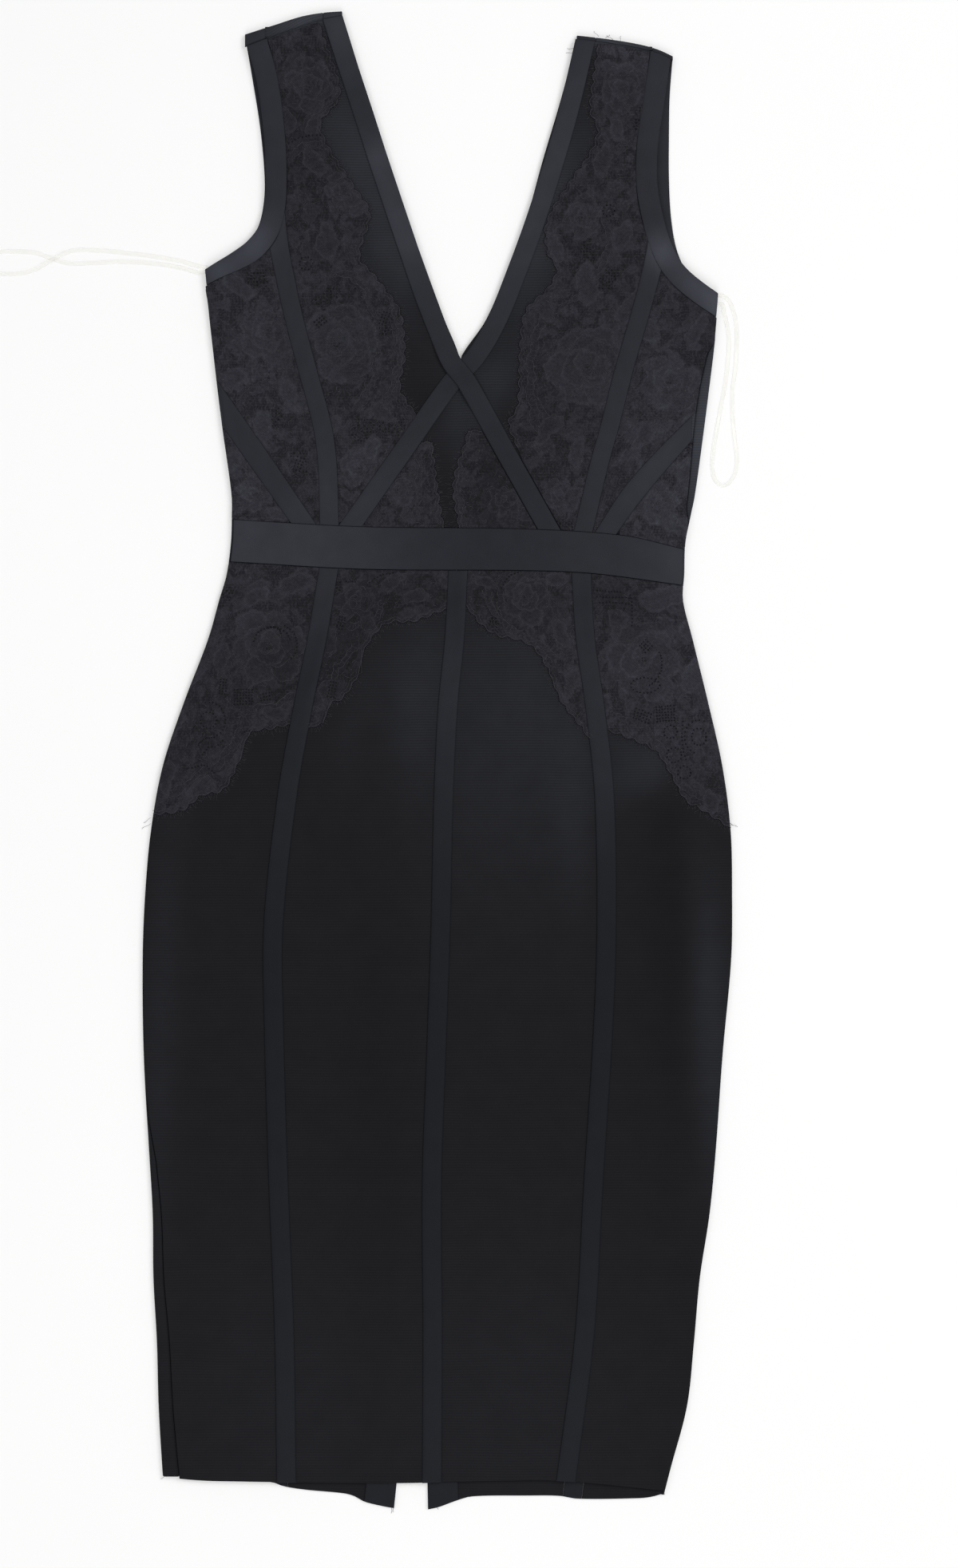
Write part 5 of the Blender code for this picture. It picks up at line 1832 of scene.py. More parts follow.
@dataclass
class FrontBands:
    """The waistband, and the bands round the neck and armholes, down the bust and from the sides."""

    dress: Dress
    across: Spacing = Spacing(2.0)
    up: Spacing = Spacing(3.0)
    waist_across: Spacing = Spacing(3.0)
    waist_up: Spacing = Spacing(2.2)
    waist_inset: float = 0.6
    waist_width: float = 300.0
    waist_height: float = 29.0
    princess_height: float = 200.0
    waist_wall: float = 2.9
    press: float = 0.32
    lip: float = 0.5
    crossing: tuple[float, float] = (16.0, 266.0)
    crossing_reach: float = 30.0
    neck_routes: dict[Side, tuple] = field(default_factory=lambda: {
        Side.LEFT: ((-72.5, 512), (-62, 479), (-50.5, 444), (-40.5, 413), (-21, 355), (-9, 320),
                    (1.5, 293), (10, 273), (20, 260), (48, 210), (76, 160)),
        Side.RIGHT: ((102, 495), (97, 473), (90.5, 446), (80.5, 411), (68.2, 372), (54.3, 334), (41.2, 302),
                     (26.8, 277.3), (9.5, 258.5), (-24, 211), (-58.5, 162))})
    arm_routes: dict[Side, tuple] = field(default_factory=lambda: {
        Side.LEFT: ((-164, 328.5), (-150.5, 336.3), (-137.5, 343), (-125.5, 351), (-116, 363.5),
                    (-111.5, 380), (-110.5, 406), (-112.5, 438), (-117.3, 470), (-124, 494)),
        Side.RIGHT: ((198, 309), (180, 321), (165, 334), (156, 348), (149.5, 367), (144.5, 393),
                     (144.5, 421), (149, 453), (154, 486))})

    def crossing_level(self, x: Array, y: Array) -> Array:
        """The height of the band that crosses over the other one."""
        rise = CROSSING_RISE * hump(x, y, self.crossing, self.crossing_reach)
        return self.dress.block.trim(x, y) + rise

    def band(self, name: str, side: Side, plan: Array, level: Callable[[Array, Array], Array],
             under: str = "front_bust") -> None:
        """Makes one band on the front, at a level, over a panel of its own side."""
        self.dress.banding(f"{name}_band_{side.word}", raised(plan, level), [f"{under}_{side.word}_cloth"],
                           TRIM_WALL, lip=self.lip, press=self.press)

    def build(self) -> None:
        """Makes all the front's bands."""
        block, inset, half = self.dress.block, self.waist_inset, PRINCESS_BAND / 2
        waist = between(moved(block.seam_edge(Side.LEFT), inset), moved(block.seam_edge(Side.RIGHT), -inset),
                        block.waist_low, block.waist_high, self.waist_across, self.waist_up,
                        self.waist_width, self.waist_height)
        lift = (self.waist_wall - KNIT_WALL) / 2
        grid = raised(waist, lambda x, y: block.front(x, y) + lift)
        # The waistband's tone marks are painted light and shade, by x.
        self.dress.banding("waistband_front", grid,
                           ["waistband_back_left_cloth", "waistband_back_right_cloth"],
                           self.waist_wall, lip=0.15, press=0.1, press_reach=5.0,
                           marks=painted_shade_marks(grid, waist_painted_shade))
        for side, level in ((Side.LEFT, self.crossing_level), (Side.RIGHT, block.trim)):
            ribbon = strip(self.neck_routes[side], NECK_BAND)
            plan = ribbon.grid(self.across, self.up, block.shoulder_seam(side), block.above_waist)
            self.band("neck", side, plan[::-1], level)
        for side, middle, foot in ((Side.LEFT, block.princess_left, block.arm_foot_left),
                                   (Side.RIGHT, block.princess_right, block.arm_foot_right)):
            ribbon = strip(self.arm_routes[side], ARMHOLE_BAND, ARMHOLE_BAND_END[side])
            plan = ribbon.grid(self.across, self.up, ARMHOLE_CUT[side], block.shoulder_seam(side))
            self.band("armhole", side, plan, block.trim)
            plan = between(moved(middle, -half), moved(middle, half), block.above_waist, foot,
                           self.across, self.up, PRINCESS_BAND, self.princess_height)
            self.band("princess", side, plan, block.trim)
            plan = ruled(DIAGONALS[side]).grid(self.across, self.up, end=block.above_waist)
            plan = plan[::-1] if side is Side.LEFT else plan[:, ::-1]
            self.band("side", side, plan, block.trim, "front_side")


# ---------------------------------------------------------------- the lace's drawing


Stroke = tuple[Array, float]
Path = tuple[tuple[float, float], ...]

# The lace between its drawn shapes: how closely worked, how pierced and how pale it is.
OPEN_WORK, OPEN_NET, OPEN_LIGHT = 0.15, 0.35, 0.95
SOFT_EDGE = 1.2
# A patch's paler rim: how far in it lies and how broad it is. How much paler one end of a patch is, painted
# shading across it, and which way from its length that end lies, and how much two patches differ.
RIM_INSET = 0.7
RIM_BREADTH = 0.9
END_LIGHT = 0.22
END_TURN = 50
OWN_LIGHT = 0.1
# The outline threads' radius, how far inside the outline they lie and the pitch of their points.
OUTLINE_RADIUS = 0.19
STROKE_INSET = 0.4
STROKE_PITCH = 1.7
# How far inside a later shape a cord is hidden.
CORD_COVER = 0.3
# A border's cords and rungs: their radii, and the pitch of their points.
CORD_RADII = (0.27, 0.22)
RUNG_RADIUS = 0.16
CORD_PITCH = 1.3


def wandering(x: Array, y: Array) -> tuple[Array, Array]:
    """Moves plan places by about a millimetre, which makes the drawing as uneven as handwork.

    Args:
        x: How far across the dress the places are.
        y: How far up it they are.

    Returns:
        The moved places, across and up.
    """
    side = 1.1 * np.sin(0.31 * y + 1.4 * np.sin(0.17 * x)) + 0.6 * np.sin(0.83 * y + 0.47 * x)
    ahead = 1.1 * np.sin(0.29 * x + 1.1 * np.sin(0.19 * y) + 1.7) + 0.6 * np.sin(0.77 * x - 0.53 * y)
    return x + side, y + ahead


def unwandered(points: Array) -> Array:
    """Where the drawing moves plan points to, so that cords follow the shapes that they outline.

    Args:
        points: The points.

    Returns:
        The moved points.
    """
    moved_to = points.copy()
    for _ in range(3):
        x, y = wandering(moved_to[:, 0], moved_to[:, 1])
        moved_to = moved_to + points - np.stack([x, y], axis=-1)
    return moved_to


@dataclass(frozen=True)
class Patch:
    """An oval or squarish stretch of the lace, such as a petal or a net, which hides what is under it.

    Its work runs from 0, open ground, to 1, closely worked. Its rim is how much paler its edge is.
    """

    x: float
    y: float
    turn: float
    half_length: float
    half_width: float
    work: float = 0.9
    net: float = 0.0
    rim: float = 0.4
    square: float = 2.0
    taper: float = 0.0
    corded: bool = False

    def depth(self, x: Array, y: Array) -> Array:
        """How far inside its outline plan places are.

        Args:
            x: How far across the dress the places are.
            y: How far up it they are.

        Returns:
            The distances, in millimetres, below 0 outside it.
        """
        along, across = seen_from(x, y, (self.x, self.y), self.turn)
        along = along / self.half_length
        across = across / self.half_width / (1 - self.taper * np.clip(along, -1.0, 1.0))
        reach = (np.abs(along) ** self.square + np.abs(across) ** self.square) ** (1 / self.square)
        return (1 - reach) * min(self.half_length, self.half_width)

    def light(self, x: Array, y: Array, depth: Array) -> Array:
        """How pale it is: one end more than the rest, which is painted shading, its rim more too, and no two
        patches alike.

        Args:
            x: How far across the dress the places are.
            y: How far up it they are.
            depth: How far inside its outline they are.

        Returns:
            Factors for the lace's colour.
        """
        # One end paler than the other: painted shading across the patch.
        slope, _ = seen_from(x, y, (self.x, self.y), self.turn + END_TURN)
        slope = slope / (self.half_length + self.half_width)
        own = OWN_LIGHT * sin(1.9 * self.x + 1.3 * self.y)
        return 1.0 + own + END_LIGHT * slope + self.rim * np.exp(-(((depth - RIM_INSET) / RIM_BREADTH) ** 2))

    def circle(self) -> tuple[float, float, float]:
        """A circle round it: its middle and radius."""
        return self.x, self.y, 1.3 * (self.half_length + self.half_width)

    def strokes(self) -> list[Stroke]:
        """Draws the thread along its outline, where it has one.

        Returns:
            The thread's path and radius, or nothing.
        """
        if not self.corded:
            return []
        length = 4 * (self.half_length + self.half_width)
        around = np.linspace(0, 2 * pi, max(10, round(length / STROKE_PITCH)))
        ahead, side = np.cos(around), np.sin(around)
        reach = (np.abs(ahead) ** self.square + np.abs(side) ** self.square) ** (-1 / self.square)
        along = ahead * reach
        across = side * reach * (1 - self.taper * along) * (self.half_width - STROKE_INSET)
        along = along * (self.half_length - STROKE_INSET)
        x, y = seen_from(along, across, (0.0, 0.0), -self.turn)
        return [(np.stack([self.x + x, self.y + y], axis=-1), OUTLINE_RADIUS)]


@dataclass(frozen=True)
class Border:
    """A border along a smooth path, with paler sides; corded ones have two cords and rungs."""

    path: Path
    gap: float = 4.2
    rung: float = 2.4
    corded: bool = True
    work: float = 0.5
    net: float = 0.0
    rim: float = 0.3

    def middle(self, pitch: float) -> Array:
        """Points along the path's middle, about a pitch apart."""
        points = np.array(self.path, float)
        return smooth_path(points, max(8, round(distances(points)[-1] * 1.03 / pitch)))

    def depth(self, x: Array, y: Array) -> Array:
        """How far inside its sides plan places are.

        Args:
            x: How far across the dress the places are.
            y: How far up it they are.

        Returns:
            The distances, in millimetres, below 0 outside it.
        """
        reach = np.full(x.shape, np.inf)
        for px, py in self.middle(min(self.gap / 2, 2.0)):
            reach = np.minimum(reach, np.hypot(x - px, y - py))
        return self.gap / 2 - reach

    def light(self, x: Array, y: Array, depth: Array) -> Array:
        """How pale it is: its sides more than its middle."""
        return 0.9 + self.rim * np.exp(-(((depth - 0.2) / RIM_BREADTH) ** 2))

    def circle(self) -> tuple[float, float, float]:
        """A circle round it.

        Returns:
            The circle's middle and radius.
        """
        points = np.array(self.path, float)
        middle = points.mean(axis=0)
        return middle[0], middle[1], float(np.hypot(*(points - middle).T).max()) + self.gap

    def strokes(self) -> list[Stroke]:
        """Draws the two cords and the rungs between them.

        Returns:
            Their paths and radii, or nothing where it isn't corded.
        """
        if not self.corded:
            return []
        middle, half = self.middle(CORD_PITCH), self.gap / 2
        side = -right_of(middle)
        drawn = [(middle + side * half, CORD_RADII[0]), (middle - side * half, CORD_RADII[1])]
        for k in range(0, len(middle), max(1, round(self.rung / CORD_PITCH))):
            drawn.append((middle[k] + side[k] * np.linspace(-half, half, 4)[:, None], RUNG_RADIUS))
        return drawn


Shape = Patch | Border


def ring_path(x: float, y: float, radius_x: float, radius_y: float, start: float = 0.0,
              end: float = 360.0) -> Path:
    """The points of an oval's arc between two angles, in degrees."""
    turns = np.radians(np.linspace(start, end, max(6, round(abs(end - start) / 24) + 1)))
    return tuple((x + radius_x * cos(t), y + radius_y * sin(t)) for t in turns)


# A rose's outer petals: how many, how far out, their length and width as shares of its radius.
OUTER_PETALS, OUTER_REACH, OUTER_LENGTH, OUTER_WIDTH = 6, 0.62, 0.42, 0.40
# Its inner petals, each turned on from the one before: how far out, size and work.
INNER_PETALS = ((0.18, 0.62, 0.55), (0.16, 0.50, 0.95), (0.14, 0.40, 0.6), (0.13, 0.30, 1.0),
                (0.10, 0.21, 0.5))
INNER_TURN = 137
HEART = 0.11


@dataclass(frozen=True)
class Rose:
    """A full-blown rose: outer petals, crescents that wrap round each other, and a small netted heart."""

    x: float
    y: float
    radius: float
    turn: float
    stretch: float = 1.0

    def petal(self, turn: float, out: float, length: float, width: float, work: float) -> Patch:
        """A petal at a bearing, whose reach and sizes are shares of the rose's radius."""
        x, y = self.radius * out * cos(radians(turn)), self.radius * out * self.stretch * sin(radians(turn))
        return Patch(self.x + x, self.y + y, turn, self.radius * length, self.radius * width * self.stretch,
                     work, corded=True)

    def shapes(self) -> list[Shape]:
        """Its parts.

        Returns:
            Its petals from the outer ring inwards, and its heart.
        """
        made: list[Shape] = []
        for k in range(OUTER_PETALS):
            sway = 1 + 0.12 * sin(2.3 * k + self.x)
            made.append(self.petal(self.turn + 360 / OUTER_PETALS * k, OUTER_REACH * sway, OUTER_LENGTH,
                                   OUTER_WIDTH * sway, 0.95 - 0.3 * (k % 2)))
        for k, (out, size, work) in enumerate(INNER_PETALS):
            made.append(self.petal(self.turn + INNER_TURN * k, out, size, size * 0.92, work))
        heart = self.radius * HEART
        made.append(Patch(self.x, self.y, self.turn, heart, heart, 0.4, 0.8, 0.1, corded=True))
        return made


# The lace's drawing, from what lies lowest up. Roses: x, y, radius, turn, stretch.
ROSES = (
    (-68, 285, 26, 20, 1.15), (104, 270, 27, 66, 1.12), (-115, 293, 20, 100, 1.1),
    (160, 259, 20, 10, 1.0), (-88, 463, 17, 44, 1.2), (128, 462, 15, 80, 1.2), (-54, 199, 12, 30, 1.0),
    (86, 181, 13, 75, 1.0), (-116, 78, 26, 12, 1.0), (143, 68, 26, 52, 1.0), (-56, 110, 14, 0, 1.0),
    (62, 112, 17, 40, 1.15), (-26, 185, 11, 60, 1.0), (46, 178, 11, 20, 1.0), (-126, 183, 13, 40, 1.0),
    (151, 176, 15, 15, 1.0), (-64, 392, 13, 70, 1.1), (100, 372, 14, 25, 1.1),
)
# Petals and leaves on their own: x, y, turn, half length, half width, taper.
LEAVES = (
    (-96, 244, 205, 12, 6, 0.3), (-38, 238, -40, 11, 5, 0.3), (-100, 330, 130, 13, 6, 0.3),
    (-47, 338, 62, 12, 5, 0.4), (-76, 356, 96, 14, 7, 0.3), (-85, 412, 118, 13, 6, 0.3),
    (-84, 438, 78, 10, 5, 0.3), (-76, 500, 120, 9, 5, 0.3), (-103, 440, 100, 11, 5, 0.4),
    (-45, 212, -100, 12, 5, 0.3), (-74, 226, 250, 12, 6, 0.3), (-54, 380, 60, 10, 5, 0.3),
    (73, 312, 115, 13, 6, 0.3), (132, 312, 66, 14, 6, 0.4), (103, 328, 92, 16, 7, 0.3),
    (76, 226, 230, 14, 6, 0.3), (131, 226, -52, 12, 6, 0.3), (96, 210, 262, 12, 5, 0.4),
    (114, 412, 80, 13, 6, 0.3), (94, 413, 104, 12, 5, 0.3), (123, 435, 108, 12, 5, 0.3),
    (122, 449, 60, 10, 5, 0.3), (127, 360, 62, 12, 6, 0.3), (81, 352, 120, 11, 5, 0.3),
    (-137, 326, 140, 13, 6, 0.3), (-106, 332, 70, 12, 5, 0.3), (-140, 261, 215, 12, 6, 0.3),
    (-101, 250, -60, 14, 5, 0.4), (-120, 226, 262, 14, 6, 0.3), (144, 298, 115, 15, 6, 0.4),
    (179, 296, 60, 13, 5, 0.3), (142, 222, 230, 12, 6, 0.3), (176, 228, -66, 12, 5, 0.3),
    (164, 330, 100, 11, 5, 0.3), (133, 209, 200, 9, 4, 0.3), (-140, 204, 240, 11, 5, 0.3),
    (-108, 169, -20, 10, 4, 0.3), (171, 199, 60, 11, 5, 0.4), (128, 168, 190, 9, 4, 0.3),
    (165, 158, -20, 10, 4, 0.3), (-148, 70, 86, 11, 5, 0.0), (-124, 112, 15, 10, 6, 0.3),
    (-86, 42, -44, 12, 6, 0.3), (-127, 58, 258, 9, 5, 0.3), (-174, 52, 230, 12, 5, 0.3),
    (-97, 121, 20, 14, 6, 0.4), (-181, 24, 250, 13, 6, 0.3), (-186, -14, 262, 13, 5, 0.3),
    (-162, -20, 210, 12, 5, 0.3), (-132, 4, 240, 9, 6, 0.2), (-112, 32, 170, 9, 5, 0.2),
    (156, 111, 10, 17, 8, 0.2), (176, 92, 44, 11, 6, 0.3), (112, 34, 236, 12, 6, 0.3),
    (176, 58, 70, 12, 8, 0.2), (124, 92, 268, 12, 6, 0.4), (190, 40, -60, 11, 5, 0.3),
    (188, -30, -80, 10, 5, 0.3), (-30, 122, 30, 12, 5, 0.3), (-76, 78, 250, 13, 6, 0.3),
    (-46, 92, -50, 10, 5, 0.3), (-14, 112, 0, 10, 5, 0.3), (32, 122, 160, 9, 4, 0.3),
    (86, 86, -60, 13, 5, 0.3), (84, 124, 20, 9, 5, 0.3), (-76, 44, 268, 10, 5, 0.3),
    (92, 52, 262, 13, 5, 0.3), (-26, 212, 60, 7, 4, 0.3), (52, 206, 110, 10, 5, 0.4),
)
# Corded borders: their paths, gap and rung.
BORDERS = (
    (ring_path(-68, 285, 27, 50, -66, 98), 3.4, 6.0), (ring_path(-60, 286, 34, 58, -52, 78), 3.0, 9.0),
    (ring_path(103, 268, 39, 50, 96, 236), 4.0, 5.0),
    (((72, 222), (66, 240), (64, 262), (66, 284), (72, 302)), 5.2, 3.9),
    (((-100, 415), (-88, 423), (-74, 423), (-62, 414)), 4.0, 2.6),
    (((106, 330), (116, 344), (118, 362), (112, 380)), 4.0, 3.9),
    (((98, 430), (108, 420), (122, 418), (134, 426)), 4.0, 2.6),
    (((-140, 232), (-132, 250), (-122, 258), (-112, 256)), 4.0, 3.9),
    (((-14, 164), (-13, 182), (-12, 200), (-14, 222)), 3.4, 5.2),
    (((2, 164), (1, 182), (0, 200), (-2, 218)), 3.0, 5.2),
    (((17, 164), (15, 186), (16, 206), (20, 224)), 3.4, 5.2),
    (ring_path(160, 259, 24, 28, 120, 260), 4.0, 3.9),
    (((-146, 38), (-136, 35), (-124, 34.5), (-110, 38), (-96, 44)), 4.6, 2.6),
    (((-196, -28), (-180, -22), (-166, -12), (-152, -4), (-142, 8), (-134, 20)), 4.2, 5.2),
    (((120, 30), (136, 26), (150, 12), (160, -6), (174, -22), (196, -34)), 4.2, 5.2),
    (((32, 127), (38, 106), (50, 90), (68, 80), (80, 70)), 4.2, 3.9),
    (ring_path(62, 114, 19, 22, 20, 250), 3.6, 3.9), (((90, 92), (91, 78), (92, 64), (94, 50)), 5.6, 2.6),
    (((-70, 98), (-58, 92), (-44, 97), (-36, 108)), 4.0, 2.6),
    (((-84, 40), (-74, 50), (-66, 66), (-56, 78)), 4.2, 3.9),
)
# Net grounds: x, y, turn, half length, half width.
NETS = (
    (-98, 76, 70, 8, 5), (-76, 318, 40, 9, 5), (118, 330, 60, 9, 5), (-80, 300, 90, 7, 5),
    (-56, 290, 60, 7, 5), (-36, 300, 90, 9, 6), (120, 222, 70, 10, 6), (-124, 330, 0, 8, 5),
    (-112, 236, 70, 8, 5), (174, 216, 40, 7, 5), (-66, 446, 90, 10, 5), (140, 440, 90, 9, 5),
    (84, 160, 0, 10, 6), (-62, 120, 0, 9, 5), (40, 96, 60, 8, 5), (-148, 112, 60, 8, 6),
    (176, 116, 0, 9, 5), (104, 350, 90, 8, 5), (-40, 228, 10, 20, 9), (-95, 203, 90, 9, 6),
)
# Rows of eyelets: their paths and pitch.
EYELET_ROWS = (
    (ring_path(-157, 27, 5.6, 5.6), 2.5), (ring_path(-157, 27, 11.6, 12.6, -70, 100), 2.6),
    (((-161, 3), (-157, 8), (-152, 9), (-147, 13)), 2.4), (((-164, 10), (-160, 14), (-155, 15)), 2.4),
    (((-134, 18), (-130, 20), (-126, 17), (-123, 12)), 2.4), (((-168, -6), (-160, -4), (-153, -9)), 2.6),
    (ring_path(-113, 79, 13, 12, 20, 170), 2.4), (ring_path(-113, 79, 17, 15, -40, 60), 2.4),
    (ring_path(-113, 86, 6, 5, 10, 120), 2.0), (ring_path(143, 51, 10, 5.2), 2.6),
    (ring_path(139, 66, 15.5, 17, -62, 26), 2.2), (ring_path(180, 15.6, 5.0, 6.0), 2.5),
    (ring_path(180, 15.6, 10.0, 11.5, 70, 250), 2.8), (((169, 26), (168.5, 18), (169, 8), (171, 0)), 2.7),
    (ring_path(160.5, 19, 4.6, 4.4), 2.5), (ring_path(163, 3, 5.2, 5.0), 2.6),
    (ring_path(170, -9, 4.4, 4.4), 2.5), (((110, 116), (118, 115.6), (126, 115)), 2.3),
    (((110, 112), (120, 111.6), (132, 111)), 2.3), (((112, 108), (122, 107.8), (132, 107)), 2.3),
    (((133, 113), (134, 104), (134, 92)), 2.3), (ring_path(-90, 341, 4.4, 4.4), 2.5),
    (ring_path(118, 377, 4.0, 4.0), 2.5), (((-106, 421), (-92, 428), (-76, 428), (-60, 419)), 2.6),
    (((-48, 120), (-40, 126), (-30, 128)), 2.4), (((44, 118), (50, 126), (60, 130)), 2.4),
)
# Grids of eyelets: x, y, turn, columns, rows and pitch.
EYELET_GRIDS = (
    (-133, 43, 0, 7, 6, 2.0), (-147, 50, 84, 6, 3, 2.0), (-118, 43, 10, 4, 3, 2.1),
    (157, 31.5, 4, 7, 6, 2.0), (141, 30, -20, 6, 4, 2.2), (143.5, 78, 45, 4, 4, 2.0),
    (-72, 48, 80, 6, 3, 2.0), (-66, 94, 75, 5, 3, 2.0), (-80, 301, 40, 4, 3, 2.2),
    (-36, 303, 70, 5, 3, 2.2), (-95, 203, 70, 5, 3, 2.2), (120, 224, 60, 4, 3, 2.2),
    (184, 66, 20, 3, 4, 2.1),
)
# Knots: single bright stitches, x, y and turn.
KNOTS = (
    (-91, 342, 0), (-86, 341, 60), (118, 377, 30), (121, 379, 0), (137, 220, 120), (134, 214, 60),
    (-69, 255, 90), (-147, 261, 0), (-26, 187, 50), (142, 219, 0), (-100, 200, 20), (176, 250, 80),
    (106, 205, 30), (92, 206, 70), (-128, 252, 10), (-35, 211, 40), (-31, 298, 90), (80, 392, 120),
    (-77, 475, 30), (121, 476, 0), (99, 205, 10),
)
KNOT_HALF, KNOT_RADIUS = 1.4, 0.5
# Small leaves strewn under the rest: the places they may take, how far off them they lie, how many
# of the places are taken, and their half length and half width with how much those vary.
FILLER_SEED = 11
FILLER_PITCH = 8.0
FILLER_REACH = ((-200, 200), (-50, 510))
FILLER_SHIFT = 6
FILLER_SHARE = 0.75
FILLER_SIZES = ((3.5, 4.5), (2.2, 1.6))


def fillers() -> list[Shape]:
    """Strews the small leaves.

    Returns:
        The leaves.
    """
    made: list[Shape] = []
    draw = np.random.default_rng(FILLER_SEED)
    (low_x, high_x), (low_y, high_y) = FILLER_REACH
    for y in np.arange(low_y, high_y, FILLER_PITCH):
        for x in np.arange(low_x, high_x, FILLER_PITCH):
            shift_x, shift_y, turn, size, kind = draw.random(5)
            if kind < FILLER_SHARE:
                half_length, half_width = (least + more * size for least, more in FILLER_SIZES)
                made.append(Patch(x + FILLER_SHIFT * (shift_x - 0.5), y + FILLER_SHIFT * (shift_y - 0.5),
                                  360 * turn, half_length, half_width, 0.4 + 0.6 * kind, 0.0, 0.25, 2.0, 0.3))
    return made


def lace_drawing() -> list[Shape]:
    """The whole lace's drawing.

    Returns:
        Its shapes, from what lies lowest up.
    """
    drawn = fillers()
    drawn += [Patch(*row, 0.15, 1.0, 0.1, 4.0) for row in NETS]
    drawn += [Border(path, gap, rung) for path, gap, rung in BORDERS]
    drawn += [Patch(*row[:5], 0.9, taper=row[5], corded=True) for row in LEAVES]
    for row in ROSES:
        drawn += Rose(*row).shapes()
    drawn += [Border(path, 1.5 * pitch, 0.0, False, 0.55) for path, pitch in EYELET_ROWS]
    drawn += [Patch(x, y, turn, columns * pitch / 2 + 0.8, rows * pitch / 2 + 0.8, 0.5, 0.0, 0.15, 4.0)
              for x, y, turn, columns, rows, pitch in EYELET_GRIDS]
    return drawn


def eyelet_places() -> Array:
    """Where all the eyelets are.

    Returns:
        Their middles.
    """
    places = [Border(path).middle(pitch) for path, pitch in EYELET_ROWS]
    for x, y, turn, columns, rows, pitch in EYELET_GRIDS:
        across = (np.arange(columns) - (columns - 1) / 2) * pitch
        up = (np.arange(rows) - (rows - 1) / 2)[:, None] * pitch
        place_x, place_y = seen_from(across, up, (0.0, 0.0), -turn)
        places.append(np.stack([x + place_x, y + place_y], axis=-1).reshape(-1, 2))
    return np.concatenate(places)


@dataclass
class LaceDrawing:
    """The lace's drawing, with its cords."""

    shapes: list[Shape] = field(default_factory=lace_drawing)
    eyelets: Array = field(default_factory=eyelet_places)
    cords: list[Stroke] = field(default_factory=list)

    def __post_init__(self) -> None:
        """Works out what shows of each shape's cords, moves them like the drawing, and adds the knots."""
        for order, shape in enumerate(self.shapes):
            for stroke, radius in shape.strokes():
                covered = np.zeros(len(stroke), bool)
                for later in self.shapes[order + 1:]:
                    if near(later, stroke.min(axis=0), stroke.max(axis=0)):
                        covered |= later.depth(stroke[:, 0], stroke[:, 1]) > CORD_COVER
                self.cords += [(unwandered(run), radius) for run in runs_of(stroke, ~covered)]
        for x, y, turn in KNOTS:
            arm = KNOT_HALF * np.array([cos(radians(turn)), sin(radians(turn))])
            self.cords.append((np.array([x, y]) + arm * np.array([[-1.0], [0.0], [1.0]]), KNOT_RADIUS))

    def marks(self, x: Array, y: Array) -> tuple[Array, Array, Array]:
        """Reads the drawing.

        Args:
            x: How far across the dress the places are.
            y: How far up it they are.

        Returns:
            How closely worked, how pierced and how pale the lace is there; the paleness holds painted shading
            across the patches.
        """
        x, y = wandering(x, y)
        work, net = np.full(x.shape, OPEN_WORK), np.full(x.shape, OPEN_NET)
        light = np.full(x.shape, OPEN_LIGHT)
        low, high = np.array([x.min(), y.min()]), np.array([x.max(), y.max()])
        for shape in self.shapes:
            if not near(shape, low, high):
                continue
            depth = shape.depth(x, y)
            share = np.clip(depth / SOFT_EDGE + 0.5, 0.0, 1.0)
            work = work + share * (shape.work - work)
            net = net + share * (shape.net - net)
            light = light + share * (shape.light(x, y, depth) - light)
        return np.clip(work, 0.0, 1.0), np.clip(net, 0.0, 1.0), light


def near(shape: Shape, low: Array, high: Array) -> bool:
    """Whether a shape may touch a box of plan places."""
    x, y, reach = shape.circle()
    return low[0] - reach < x < high[0] + reach and low[1] - reach < y < high[1] + reach


def runs_of(stroke: Array, kept: Array) -> list[Array]:
    """The unbroken stretches of a stroke's kept points, at least two steps long."""
    edges = np.flatnonzero(np.diff(np.concatenate([[False], kept, [False]]).astype(int)))
    return [stroke[a:b] for a, b in zip(edges[::2], edges[1::2]) if b - a >= 3]


def within(outline: Array, points: Array) -> Array:
    """Whether plan points lie inside a closed outline.

    Args:
        outline: The outline's corners.
        points: The points.

    Returns:
        True for each point inside.
    """
    start, end = outline, np.roll(outline, -1, axis=0)
    x, y = points[:, 0][:, None], points[:, 1][:, None]
    spans = (start[:, 1] > y) != (end[:, 1] > y)
    rise = np.where(end[:, 1] == start[:, 1], 1e-9, end[:, 1] - start[:, 1])
    crossing = (end[:, 0] - start[:, 0]) * (y - start[:, 1]) / rise + start[:, 0]
    return (np.sum(spans & (x < crossing), axis=1) % 2) == 1


# ---------------------------------------------------------------- the lace panels


LACE_TIP = 163.0
LACE_GAP = 0.05
TAIL_HALF = 8.2
LACE_ARM_LEFT = line((370, -106), (376, -104.5), (390, -103.2), (406, -103.1), (438, -105.2), (470, -110),
                     (497, -116.8))
LACE_ARM_RIGHT = line((350, 147.6), (357, 145.1), (365, 142.4), (378, 139.1), (393, 137.1), (421, 137.1),
                      (449, 141.5), (492, 147.1))
LACE_NECK_LEFT = line((237, -14), (255, -25), (276, -22), (297, -23), (310, -26), (333, -43), (345, -53),
                      (376, -46), (394, -57), (435, -80), (453, -68), (464, -67), (504, -80.5))
LACE_NECK_RIGHT = line((210, 57), (232, 49), (242, 55), (285, 57), (309, 61), (324, 76), (337, 82), (348, 76),
                       (369, 75), (400, 93), (417, 105), (434, 110), (446, 105), (494, 111))
LACE_CENTRE_LEFT = line((158, 5), (190, 0), (226, -4))
LACE_CENTRE_RIGHT = line((160, 15), (189, 11), (221, 20), (232, 23))
TAIL_LEFT = line((162, -58.5), (211, -24), (258.5, 9.5))
TAIL_RIGHT = line((160, 76), (210, 48), (260, 20))
